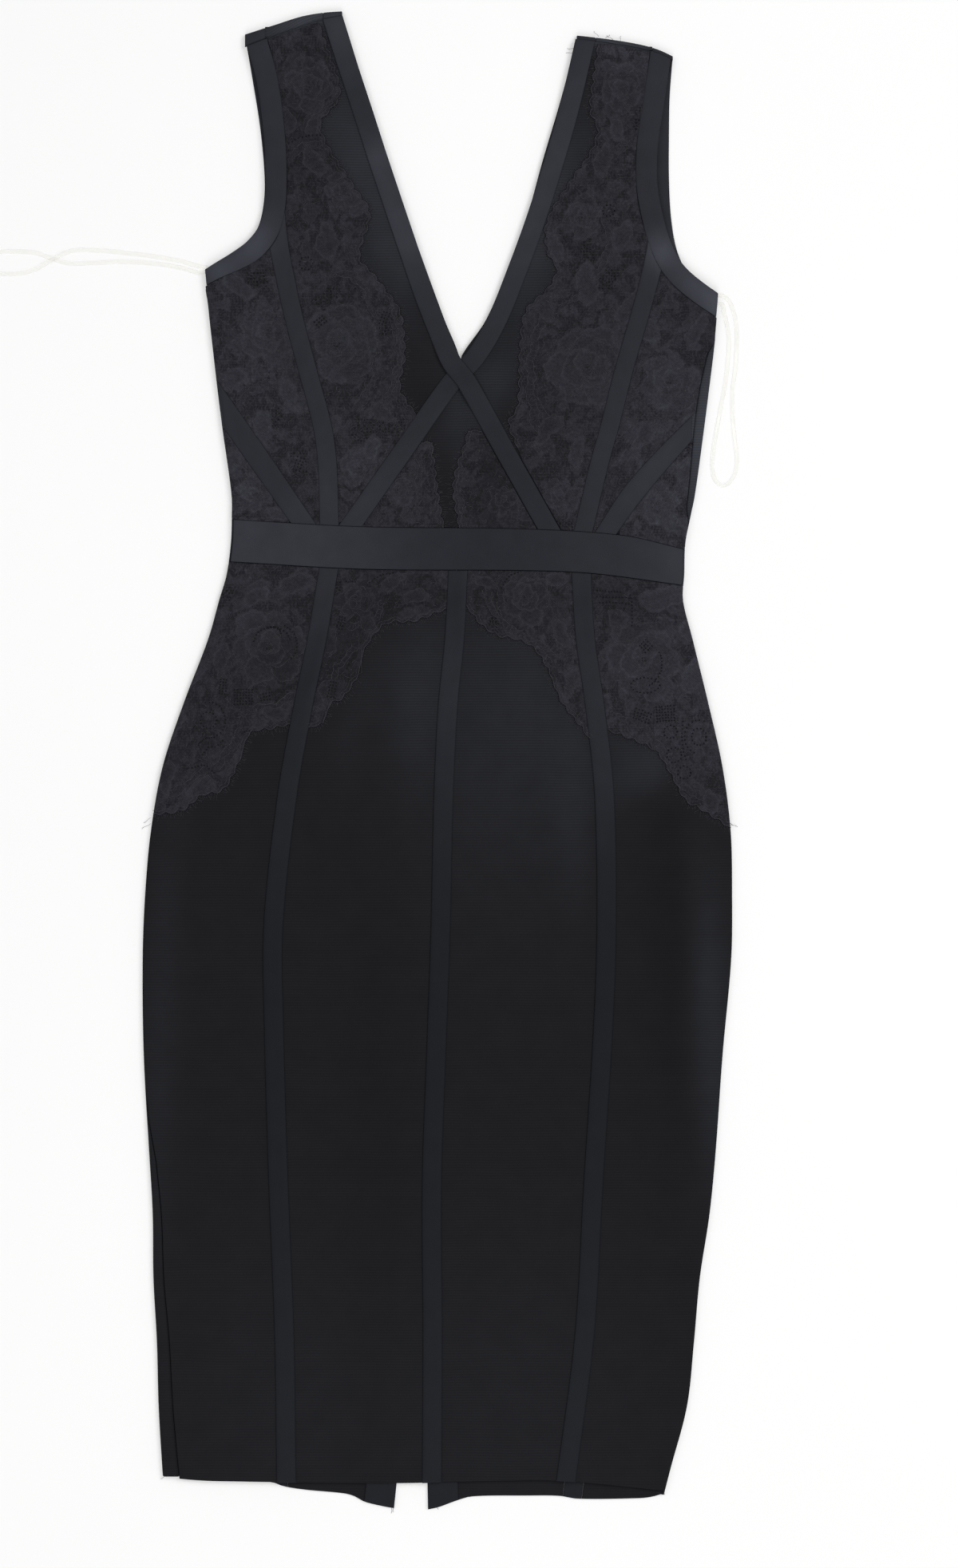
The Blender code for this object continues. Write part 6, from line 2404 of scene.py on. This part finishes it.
HIP_SIDE_LEFT = line((-198, -38), (-175, -35), (-162, -25), (-146, -20), (-136, -2), (-129, 17), (-114, 21),
                     (-102, 24))
HIP_LEFT = line((-85, 23), (-77, 26), (-74, 37), (-64, 43), (-53, 61), (-49, 77), (-35, 93), (-16, 95),
                (5, 103))
HIP_RIGHT = line((22, 103), (30, 93), (42, 85), (53, 83), (67, 76), (78, 58), (84, 42), (96, 26))
HIP_SIDE_RIGHT = line((118, 20), (143, 10), (152, 4), (160, -9), (170, -27), (181, -34), (200, -46))
# The heights above which the bust lace's inner edges are clear of the neck bands.
FREE_ABOVE = {"bust_left": 238.0, "bust_right": 213.0}
# Where the princess bands end at the armhole bands.
PRINCESS_TOPS = {Side.LEFT: 376, Side.RIGHT: 357}
LOW_LEFT_FOOT = -101.4
LOW_RIGHT_FOOT = 125.4


def diagonal_edge(side: Side, across: float, distance: float) -> Edge:
    """The line beside a side band, height by x.

    Args:
        side: The band's side.
        across: 0 for the band's upper edge, 1 for its lower one.
        distance: How far above that edge the line lies.

    Returns:
        The line.
    """
    return moved(ruled(DIAGONALS[side]).side_line(across, False), distance)


class Rim(Enum):
    """An edge of a panel's grid."""

    LEFT = "left"
    RIGHT = "right"
    BOTTOM = "bottom"
    TOP = "top"


def rim_of(grid: Array, rim: Rim, row: int = 0) -> Array:
    """The points of a grid's edge, or of a line some rows in from it."""
    return {Rim.LEFT: grid[:, row], Rim.RIGHT: grid[:, -1 - row], Rim.BOTTOM: grid[row],
            Rim.TOP: grid[-1 - row]}[rim]


def outward_of(plan: Array, rim: Rim) -> Array:
    """The plan directions that lead out of a grid across one of its edges.

    Args:
        plan: The grid.
        rim: The edge.

    Returns:
        A direction, one long, for each of the edge's points.
    """
    edge = rim_of(plan, rim)
    side = right_of(edge)
    return side * np.sign(np.sum(side * (edge - rim_of(plan, rim, 6)), axis=1, keepdims=True))


@dataclass
class LacePanels:
    """The lace between the bands: sheets with scalloped edges, cords, stitches and eyelets on them."""

    dress: Dress
    drawing: LaceDrawing = field(default_factory=LaceDrawing)
    spacing: float = 1.32
    lips: tuple[float, float] = (0.0, 0.4)
    lip: float = 0.25
    press: float = 0.1
    sunk: float = 0.12
    wall: float = 0.6
    relief: float = 0.3
    scallop: float = 9.0
    scallop_depth: float = 2.0
    scallop_reach: float = 6.0
    hair_pitch: float = 1.15
    hair_length: float = 3.6
    hair_radius: float = 0.13
    stitch_room: float = 30.0
    stitch_radius: float = 0.2
    stitch_least: float = 1.5
    stitch_more: float = 3.0
    stitch_bow: float = 2.4
    cord_room: float = 0.985
    # The ropes along a free edge: how far in from it, how far sunk into the lace, and their radius.
    ropes: tuple[tuple[float, float, float], ...] = ((0.5, 0.2, 0.25), (2.6, 0.12, 0.15))
    eyelet_radius: float = 0.54
    eyelet_shift: float = 0.5
    eyelet_room: float = 0.97
    seed: int = 5

    def panels(self) -> tuple[tuple, ...]:
        """Each panel's cut.

        Returns:
            A row for each panel: its name, four edges, widest width and height, free edges and what it
            lies on.
        """
        block = self.dress.block
        beside, by_band = PRINCESS_BAND / 2 + LACE_GAP, SKIRT_BAND / 2 + LACE_GAP
        tail = TAIL_HALF + LACE_GAP
        above_waist, below_waist = moved(block.waist_high, LACE_GAP), moved(block.waist_low, -SEAM_GAP)
        sides = block.trim_edge(Side.LEFT), block.trim_edge(Side.RIGHT)
        tip = always(LACE_TIP)

        def bust_left(y: Array) -> Array:
            """The left bust's inner edge: its own scallops, or beside the neck band's tail."""
            return np.minimum(LACE_NECK_LEFT(y), TAIL_LEFT(y) - tail)

        def bust_right(y: Array) -> Array:
            """The right bust's inner edge: its own scallops, or beside the neck band's tail."""
            return np.maximum(LACE_NECK_RIGHT(y), TAIL_RIGHT(y) + tail)

        def far_left(y: Array) -> Array:
            """The left bust's outer edge: beside the princess band, or the armhole band."""
            return np.where(y < PRINCESS_TOPS[Side.LEFT], block.princess_left(y) + beside, LACE_ARM_LEFT(y))

        def far_right(y: Array) -> Array:
            """The right bust's outer edge: beside the princess band, or the armhole band."""
            return np.where(y < PRINCESS_TOPS[Side.RIGHT], block.princess_right(y) - beside,
                            LACE_ARM_RIGHT(y))

        def over(side: Side) -> Edge:
            """The edge above a side band, and above the waistband past its end."""
            upper = diagonal_edge(side, 0.0, LACE_GAP)
            return lambda x: np.maximum(upper(x), above_waist(x))

        near_centre, past_centre = moved(block.band_centre, -by_band), moved(block.band_centre, by_band)
        bust, side, skirt = "front_bust_{}_cloth", "front_side_{}_cloth", "front_skirt_{}_cloth"
        left, right = Rim.LEFT, Rim.RIGHT
        bottom, top = Rim.BOTTOM, Rim.TOP
        return (
            ("bust_left", far_left, bust_left, tip, moved(block.seam_top_left, -1.5), 88.0, 342.0, (right,),
             bust.format("left")),
            ("bust_right", bust_right, far_right, above_waist, moved(block.fold_top_right, -4.5), 92.0,
             336.0, (left,), bust.format("right")),
            ("side_left", sides[0], moved(block.princess_left, -beside), over(Side.LEFT),
             block.arm_foot_left, 70.0, 130.0, (), side.format("left")),
            ("side_right", moved(block.princess_right, beside), sides[1], over(Side.RIGHT),
             block.arm_foot_right, 62.0, 125.0, (), side.format("right")),
            ("side_low_left", sides[0], always(LOW_LEFT_FOOT), above_waist,
             diagonal_edge(Side.LEFT, 1.0, -LACE_GAP), 42.0, 62.0, (), side.format("left")),
            ("side_low_right", always(LOW_RIGHT_FOOT), sides[1], above_waist,
             diagonal_edge(Side.RIGHT, 1.0, -LACE_GAP), 48.0, 64.0, (), side.format("right")),
            ("centre_left", moved(TAIL_LEFT, tail), LACE_CENTRE_LEFT, above_waist, always(218.0), 50.0,
             58.0, (right, top), "front_centre_cloth"),
            ("centre_right", LACE_CENTRE_RIGHT, moved(TAIL_RIGHT, -tail), above_waist, always(226.0),
             50.0, 66.0, (left, top), "front_centre_cloth"),
            ("hip_side_left", sides[0], moved(block.band_left, -by_band), HIP_SIDE_LEFT, below_waist,
             95.0, 168.0, (bottom,), skirt.format("side_left")),
            ("hip_left", moved(block.band_left, by_band), near_centre, HIP_LEFT, below_waist, 86.0,
             104.0, (bottom,), skirt.format("centre_left")),
            ("hip_right", past_centre, moved(block.band_right, -by_band), HIP_RIGHT, below_waist, 84.0,
             104.0, (bottom,), skirt.format("centre_right")),
            ("hip_side_right", moved(block.band_right, by_band), sides[1], HIP_SIDE_RIGHT, below_waist,
             92.0, 168.0, (bottom,), skirt.format("side_right")),
        )

    def build(self) -> None:
        """Makes every panel with what is sewn on it."""
        for name, low, high, bottom, top, width, height, free, under in self.panels():
            up = Spacing(self.spacing, self.lips)
            across = Spacing(self.spacing, BEND_LIPS) if "side" in name else up
            plan = between(low, high, bottom, top, across, up, width, height)
            for rim in free:
                plan = self.scalloped(plan, rim, FREE_ABOVE.get(name, -np.inf))
            work, net, light = self.drawing.marks(plan[..., 0], plan[..., 1])
            grid = raised(plan, self.dress.block.trim)
            grid[..., 2] -= self.sunk
            outline = np.concatenate([plan[0], plan[1:, -1], plan[-1, -2::-1], plan[-2:0:-1, 0]])
            sewn = [self.cords(name, plan, outline, free), self.eyelets(name, outline)]
            # The lace's tone: its drawing's paleness, partly painted shading, times its painted light and
            # shade.
            tone = light * lace_painted_shade(plan[..., 0], plan[..., 1])
            cloth = Cloth(f"lace_{name}_cloth", grid, self.wall, self.dress.finishes.lace, "lace",
                          lip=self.lip, press=self.press, relief=self.relief * work,
                          marks={"fill": work, "net": net, "tone": tone})
            self.dress.add(cloth, f"lace_{name}", [under], [piece for piece in sewn if piece])

    def scalloped(self, plan: Array, rim: Rim, start: float) -> Array:
        """Draws a panel's free edge out into small arcs.

        Args:
            plan: The panel's plan grid.
            rim: The free edge.
            start: The height above which it is free.

        Returns:
            The new plan grid.
        """
        edge, along = rim_of(plan, rim), distances(rim_of(plan, rim))
        arcs = round(along[-1] / self.scallop)
        push = self.scallop_depth * (np.abs(np.sin(pi * arcs * along / along[-1])) - 0.6)
        push *= eased(np.minimum(along, along[-1] - along) / 3.0) * eased((edge[:, 1] - start) / 5.0)
        rows = (slice(None), None) if rim in (Rim.LEFT, Rim.RIGHT) else (None, slice(None))
        reach = np.hypot(*np.moveaxis(plan - edge[rows], -1, 0)) / self.scallop_reach
        return plan + (outward_of(plan, rim) * push[:, None])[rows] * (1 - eased(reach))[..., None]

    def lifted(self, points: Array, sunk: float = 0.0) -> Array:
        """Lays plan points on the top of the lace."""
        level = self.dress.block.trim(points[:, 0], points[:, 1])
        return np.concatenate([points, (level + self.wall / 2 + self.relief * 0.6 - sunk)[:, None]], axis=1)

    def cords(self, name: str, plan: Array, outline: Array, free: tuple[Rim, ...]) -> bpy.types.Object:
        """Makes a panel's cords and stitches, and the ropes and the fringe along its free edges.

        Args:
            name: The panel's name.
            plan: Its plan grid.
            outline: Its outline's points.
            free: Its free edges.

        Returns:
            The threads, as one piece.
        """
        middle = outline.mean(axis=0)
        room = middle + (outline - middle) * self.cord_room
        low, high = outline.min(axis=0), outline.max(axis=0)
        draw = np.random.default_rng([self.seed, len(plan)])
        strokes = [stroke for stroke in self.drawing.cords
                   if not ((stroke[0].min(axis=0) > high).any() or (stroke[0].max(axis=0) < low).any())]
        strokes += self.stitches(low, high, draw)
        runs: list[tuple[Array, float, int]] = []
        for stroke, radius in strokes:
            sides = 3 if radius < self.stitch_radius * 1.4 else 4
            runs += [(self.lifted(run, 0.1), radius, sides) for run in runs_of(stroke, within(room, stroke))]
        for rim in free:
            clear = rim_of(plan, rim)[:, 1] > FREE_ABOVE.get(name, -np.inf)
            edge, out = rim_of(plan, rim)[clear], outward_of(plan, rim)[clear]
            runs += [(self.lifted(edge - out * inset, sunk), radius, 4) for inset, sunk, radius in self.ropes]
            runs += self.fringe(edge, out, draw)
        piece = add_tubes(f"lace_{name}_cords", runs, self.dress.finishes.thread)
        LOG.info("%s: %d threads, %d faces", piece.name, len(runs), len(piece.data.polygons))
        return piece

    def stitches(self, low: Array, high: Array, draw: np.random.Generator) -> list[Stroke]:
        """Strews short bent threads.

        Args:
            low: The low corner of the box of plan places where they lie.
            high: Its high corner.
            draw: Where the random numbers come from.

        Returns:
            The threads' paths and radii.
        """
        count = round(float(np.prod(high - low)) / self.stitch_room)
        made = []
        for x, y, turn, length, bend in draw.random((count, 5)):
            way = np.array([cos(2 * pi * turn), sin(2 * pi * turn)])
            steps = np.linspace(-0.5, 0.5, 5)[:, None] * (self.stitch_least + self.stitch_more * length)
            bow = self.stitch_bow * (bend - 0.5) * (1 - (steps / steps[-1]) ** 2)
            place = low + (high - low) * np.array([x, y])
            made.append((place + way * steps + np.array([-way[1], way[0]]) * bow,
                         self.stitch_radius * (0.7 + 0.6 * bend)))
        return made

    def eyelets(self, name: str, outline: Array) -> bpy.types.Object | None:
        """Makes the dark dots of a panel's eyelets: flat dots laid on the lace, painted with the dark knit
        and the shade inside each eyelet.

        Args:
            name: The panel's name.
            outline: Its outline's points.

        Returns:
            The dots, as one piece, where there are any.
        """
        middle = outline.mean(axis=0)
        room = middle + (outline - middle) * self.eyelet_room
        places = self.drawing.eyelets[within(room, self.drawing.eyelets)][:, None]
        if not len(places):
            return None
        turn = np.arange(6) * pi / 3
        draw = np.random.default_rng([self.seed, len(places)])
        size = self.eyelet_radius * (0.78 + 0.44 * draw.random((len(places), 1, 2)))
        shift = self.eyelet_shift * (draw.random((len(places), 1, 2)) - 0.5)
        plan = places + shift + size * np.stack([np.cos(turn), np.sin(turn)], axis=-1)
        first = np.arange(len(places))[:, None, None] * 6
        faces = (first + np.array([[0, 1, 2, 3], [0, 3, 4, 5]])).reshape(-1, 4)
        # The dots lie on top of the lace: a dark sheet standing for each eyelet's hole and its shade.
        piece = add_mesh(f"lace_{name}_eyelets", self.lifted(plan.reshape(-1, 2), -0.12), [faces],
                         self.dress.finishes.shadedeyelet)
        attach(piece, BODY)
        return piece

    def fringe(self, edge: Array, out: Array, draw: np.random.Generator) -> list[tuple[Array, float, int]]:
        """Makes fine hairs that stand out of a free edge over the knit.

        Args:
            edge: The edge's points.
            out: The way out of the panel at each.
            draw: Where the random numbers come from.

        Returns:
            Each hair's path, radius and number of sides.
        """
        along, steps = distances(edge), np.linspace(0, 1, 5)[:, None]
        depth = TRIM_RISE - KNIT_WALL / 2 - self.hair_radius - 0.1
        hairs = []
        for place in np.arange(1.0, along[-1] - 1.0, self.hair_pitch):
            root, way = (np.array([np.interp(place, along, part[:, k]) for k in (0, 1)])
                         for part in (edge, out))
            length, lean, curl, start = draw.random(4)
            reach = self.hair_length * (0.45 + 0.9 * length)
            across = np.array([-way[1], way[0]])
            hair = root + way * reach * steps + across * (0.9 * (lean - 0.5) * reach * steps
                                                          + 1.4 * (curl - 0.5) * steps**2)
            level = self.dress.block.trim(hair[:, 0], hair[:, 1])
            drop = 0.1 + depth * eased(steps[:, 0] * 1.6)
            hairs.append((np.concatenate([hair, (level - drop)[:, None]], axis=1), self.hair_radius, 3))
        return hairs


# Painted light and shade on the lace: x, y, turn, half length, half width, share added.
LACE_PAINTED_LIGHT = mounds(
    (-140, 190, 90, 60, 30, 0.25), (160, 180, 90, 60, 30, 0.42), (-130, 270, 90, 60, 30, 0.2),
    (190, 20, 100, 80, 26, 0.2), (-90, 470, 90, 60, 40, -0.1), (126, 465, 90, 30, 22, -0.08),
    (-52, 218, 60, 26, 22, 0.1), (40, 190, 90, 40, 16, -0.4), (-118, 62, 90, 34, 28, -0.22),
    (-62, 80, 60, 46, 26, -0.3), (-25, 112, 0, 44, 18, -0.2), (50, 112, 0, 40, 18, -0.22),
    (125, 110, 0, 18, 16, -0.27), (72, 250, 90, 40, 20, -0.14), (184, -20, 60, 30, 20, -0.2),
    (-84, 420, 90, 50, 30, -0.12), (160, 262, 90, 40, 20, 0.14), (-120, 112, 0, 20, 14, 0.12),
    (-60, 205, 60, 30, 20, 0.08), (-135, 318, 30, 24, 18, 0.06), (143, 72, 90, 14, 14, 0.14),
    (146, 34, 90, 40, 34, 0.12), (118, 489, -8, 30, 11, 0.55), (-108, 492, 20, 26, 10, 0.2),
    (-170, 5, 40, 40, 24, -0.12), (-72, 60, 90, 24, 18, -0.1),
)


def lace_painted_shade(x: Array, y: Array) -> Array:
    """The painted light and shade on the lace at plan places."""
    return 0.885 + heaped(LACE_PAINTED_LIGHT, x, y)


# ---------------------------------------------------------------- loops and threads


@dataclass
class HangerLoops:
    """Clear tape loops, sewn into the side seams below the armholes and lying loose beside the dress."""

    dress: Dress
    width: float = 3.0
    wall: float = 0.3
    crossing: tuple[float, float] = (-265.5, 344.5)
    crossing_reach: float = 12.0
    crossing_rise: float = 1.4
    # The tape's tilt at most, in degrees, how often it comes and goes, and how high the tape lies flat.
    twist: float = 16.0
    twists: float = 5.3
    twist_start: float = 0.2
    lie: float = 0.25
    rings: int = 160
    left_route: tuple = (
        (-164.5, 340), (-177, 343.5), (-197, 347), (-219, 349.5), (-238, 351), (-249, 351), (-257, 348.5),
        (-267, 343), (-276, 338), (-287, 335), (-301, 335), (-308, 338), (-311, 343), (-307, 348),
        (-300, 350), (-287, 350), (-276, 349), (-265, 345), (-254, 342), (-241, 342), (-219, 343),
        (-197, 342), (-177, 339), (-164.5, 335.5))
    right_route: tuple = (
        (197, 319.5), (201, 316), (204, 309), (206, 300), (206.5, 287), (205.5, 270), (203.5, 254),
        (203.5, 237), (205, 221), (206.5, 208), (205.5, 198), (201.5, 191), (196.5, 189), (191.5, 192.5),
        (189.5, 202), (190.5, 215), (193, 229), (195.5, 243), (198.5, 259), (200.5, 276), (201, 290),
        (199.5, 300.5), (197.5, 308), (196.5, 313.5))
    # Where each loop's ends are sewn in, just inside the dress's outline.
    sewn: dict[Side, tuple] = field(default_factory=lambda: {
        Side.LEFT: ((-158.4, 339), (-158.4, 336.3)), Side.RIGHT: ((192, 320), (192.4, 313.7))})

    def build(self) -> None:
        """Makes both loops and hides their solids."""
        for side, route in ((Side.LEFT, self.left_route), (Side.RIGHT, self.right_route)):
            first, last = self.sewn[side]
            middle = smooth_path(np.array((first, *route, last), float), self.rings)
            share = np.linspace(0, 1, len(middle))
            turns = 2 * pi * (self.twists * share + self.twist_start)
            tilt = np.radians(self.twist * np.sin(turns) * np.sin(pi * share))
            height = self.lie + np.abs(np.sin(tilt)) * self.width / 2
            if side is Side.LEFT:
                rise = hump(middle[:, 0], middle[:, 1], self.crossing, self.crossing_reach)
                height = height + self.crossing_rise * rise * (share < 0.5)
            across = np.array([-0.5, -0.25, 0.0, 0.25, 0.5]) * self.width
            lean = (across[None, :] * np.cos(tilt)[:, None])[..., None]
            plan = middle[:, None] + right_of(middle)[:, None] * lean
            level = height[:, None] + across[None, :] * np.sin(tilt)[:, None]
            grid = np.concatenate([plan, level[..., None]], axis=-1)[:, ::-1]
            name = f"hanger_loop_{side.word}"
            tape = Cloth(f"{name}_tape", grid, self.wall, self.dress.finishes.tape, "tape",
                         run=Run.ALONG_PIECE, lip=0.3).sew()
            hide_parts(name)


@dataclass
class LooseThreads:
    """Loose thread ends at the shoulder, the hips and the hem."""

    dress: Dress
    radius: float = 0.11
    # How high above the table their ends come to lie.
    lie: float = 0.4
    # Where each leaves the cloth, which way it points, its length, how far it curls, and its height.
    ends: tuple = (
        (111, 497, 95, 5, 3.0, 5.0), (116, 496, 70, 4, -2.0, 5.0), (121, 495, 110, 5, 3.0, 4.0),
        (126, 494, 60, 4, 2.0, 4.0), (96, 489, 150, 6, 3.0, 4.0), (94, 486, 190, 5, -2.0, 4.0),
        (-197, -40, 200, 6, 2.0, 3.0), (-197, -44, 230, 7, -3.0, 3.0), (199, -44, -30, 8, 2.5, 3.0),
        (200, -47, -60, 6, -2.0, 3.0), (-31, -513, 250, 6, 2.0, 1.0), (-30, -514, 290, 4, -2.0, 1.0),
        (-3, -513, 300, 5, 2.0, 1.0), (151, -504, -40, 6, 2.5, 2.0), (152, -503, -10, 5, -2.0, 2.0),
        (90, -496, -80, 5, 2.0, 4.0), (-187, -493, 200, 4, 1.5, 3.0))

    def build(self) -> None:
        """Makes them as one piece."""
        runs = []
        for x, y, turn, length, curl, height in self.ends:
            way = np.array([cos(radians(turn)), sin(radians(turn))])
            across = np.array([-way[1], way[0]])
            steps = np.linspace(0, 1, 8)[:, None]
            plan = np.array([x, y]) + way * length * steps + across * curl * np.sin(2.2 * steps) * steps
            level = self.lie + (height - self.lie) * (1 - eased(steps))
            runs.append((np.concatenate([plan, level], axis=1), self.radius, 4))
        add_tubes("loose_threads", runs, self.dress.finishes.thread)


# ---------------------------------------------------------------- the studio


@dataclass(frozen=True)
class Studio:
    """A plain pale floor, soft light from large boxes, and the camera straight above the dress."""

    view_height: float = 1080.2
    view_middle: tuple[float, float] = (28.9, -16.8)
    lens: float = 80.0
    film: float = 36.0
    floor: float = 6000.0
    floor_gap: float = 0.25
    floor_lines: int = 9
    sky: float = 0.36
    sky_colour: str = "fbfcff"
    aim_up: float = 100.0
    clip: tuple[float, float] = (0.05, 30.0)
    # Each soft box: its place x, y, z, its size, and its power in watts.
    boxes: tuple[tuple[float, float, float, float, float], ...] = (
        (-1500.0, 900.0, 2600.0, 1500.0, 16.0),
        (1500.0, 900.0, 2600.0, 1500.0, 44.0),
        (0.0, -2000.0, 2400.0, 1600.0, 34.0),
    )

    def build(self) -> None:
        """Makes the floor, the lights and the camera."""
        scene = bpy.context.scene
        scene.view_settings.view_transform = "Standard"
        half, count = self.floor / 2, self.floor_lines
        steps = np.linspace(-half, half, count)
        plan = np.stack(np.meshgrid(steps, steps), axis=-1)
        points = np.concatenate([plan, np.full((count, count, 1), -self.floor_gap)], axis=-1).reshape(-1, 3)
        floor = add_mesh("floor", points, [grid_faces(count, count)], LightTable().material())
        world = bpy.data.worlds.new("studio")
        world.use_nodes = True
        back = world.node_tree.nodes["Background"]
        back.inputs["Color"].default_value = srgb(self.sky_colour)
        back.inputs["Strength"].default_value = self.sky
        scene.world = world
        for index, (x, y, z, size, power) in enumerate(self.boxes):
            data = bpy.data.lights.new(f"softbox_{index}", "AREA")
            data.shape = "SQUARE"
            data.size = size * MM
            data.energy = power
            lamp = bpy.data.objects.new(data.name, data)
            lamp.location = Vector((x, y, z)) * MM
            aim = Vector((self.view_middle[0], self.view_middle[1] + self.aim_up, 0.0)) - Vector((x, y, z))
            lamp.rotation_mode = "QUATERNION"
            lamp.rotation_quaternion = aim.to_track_quat("-Z", "Y")
            lamp.visible_camera = False
            scene.collection.objects.link(lamp)
        camera_data = bpy.data.cameras.new("camera")
        camera_data.lens = self.lens
        camera_data.sensor_width = self.film
        camera_data.clip_start, camera_data.clip_end = self.clip
        camera = bpy.data.objects.new("camera", camera_data)
        distance = self.view_height * self.lens / self.film
        camera.location = Vector((*self.view_middle, distance)) * MM
        scene.collection.objects.link(camera)
        scene.camera = camera


def main() -> None:
    """Builds the studio and the dress, piece by piece."""
    logging.basicConfig(level=logging.INFO, format="%(name)s: %(message)s")
    Studio().build()
    finishes = Finishes(RibbedKnit().material(), BandKnit().material(), LaceCloth().material(),
                        ShadedEyelet().material(), Thread().material(), ClearTape().material())
    dress = Dress(Block(), finishes)
    for part in (HangerLoops(dress), BackSkirt(dress), BackBodice(dress), FrontSkirt(dress),
                 FrontBodice(dress), FrontBands(dress), LacePanels(dress), LooseThreads(dress)):
        part.build()
    LOG.info("%d pieces of cloth", len(dress.pieces))


if __name__ == "__main__":
    main()
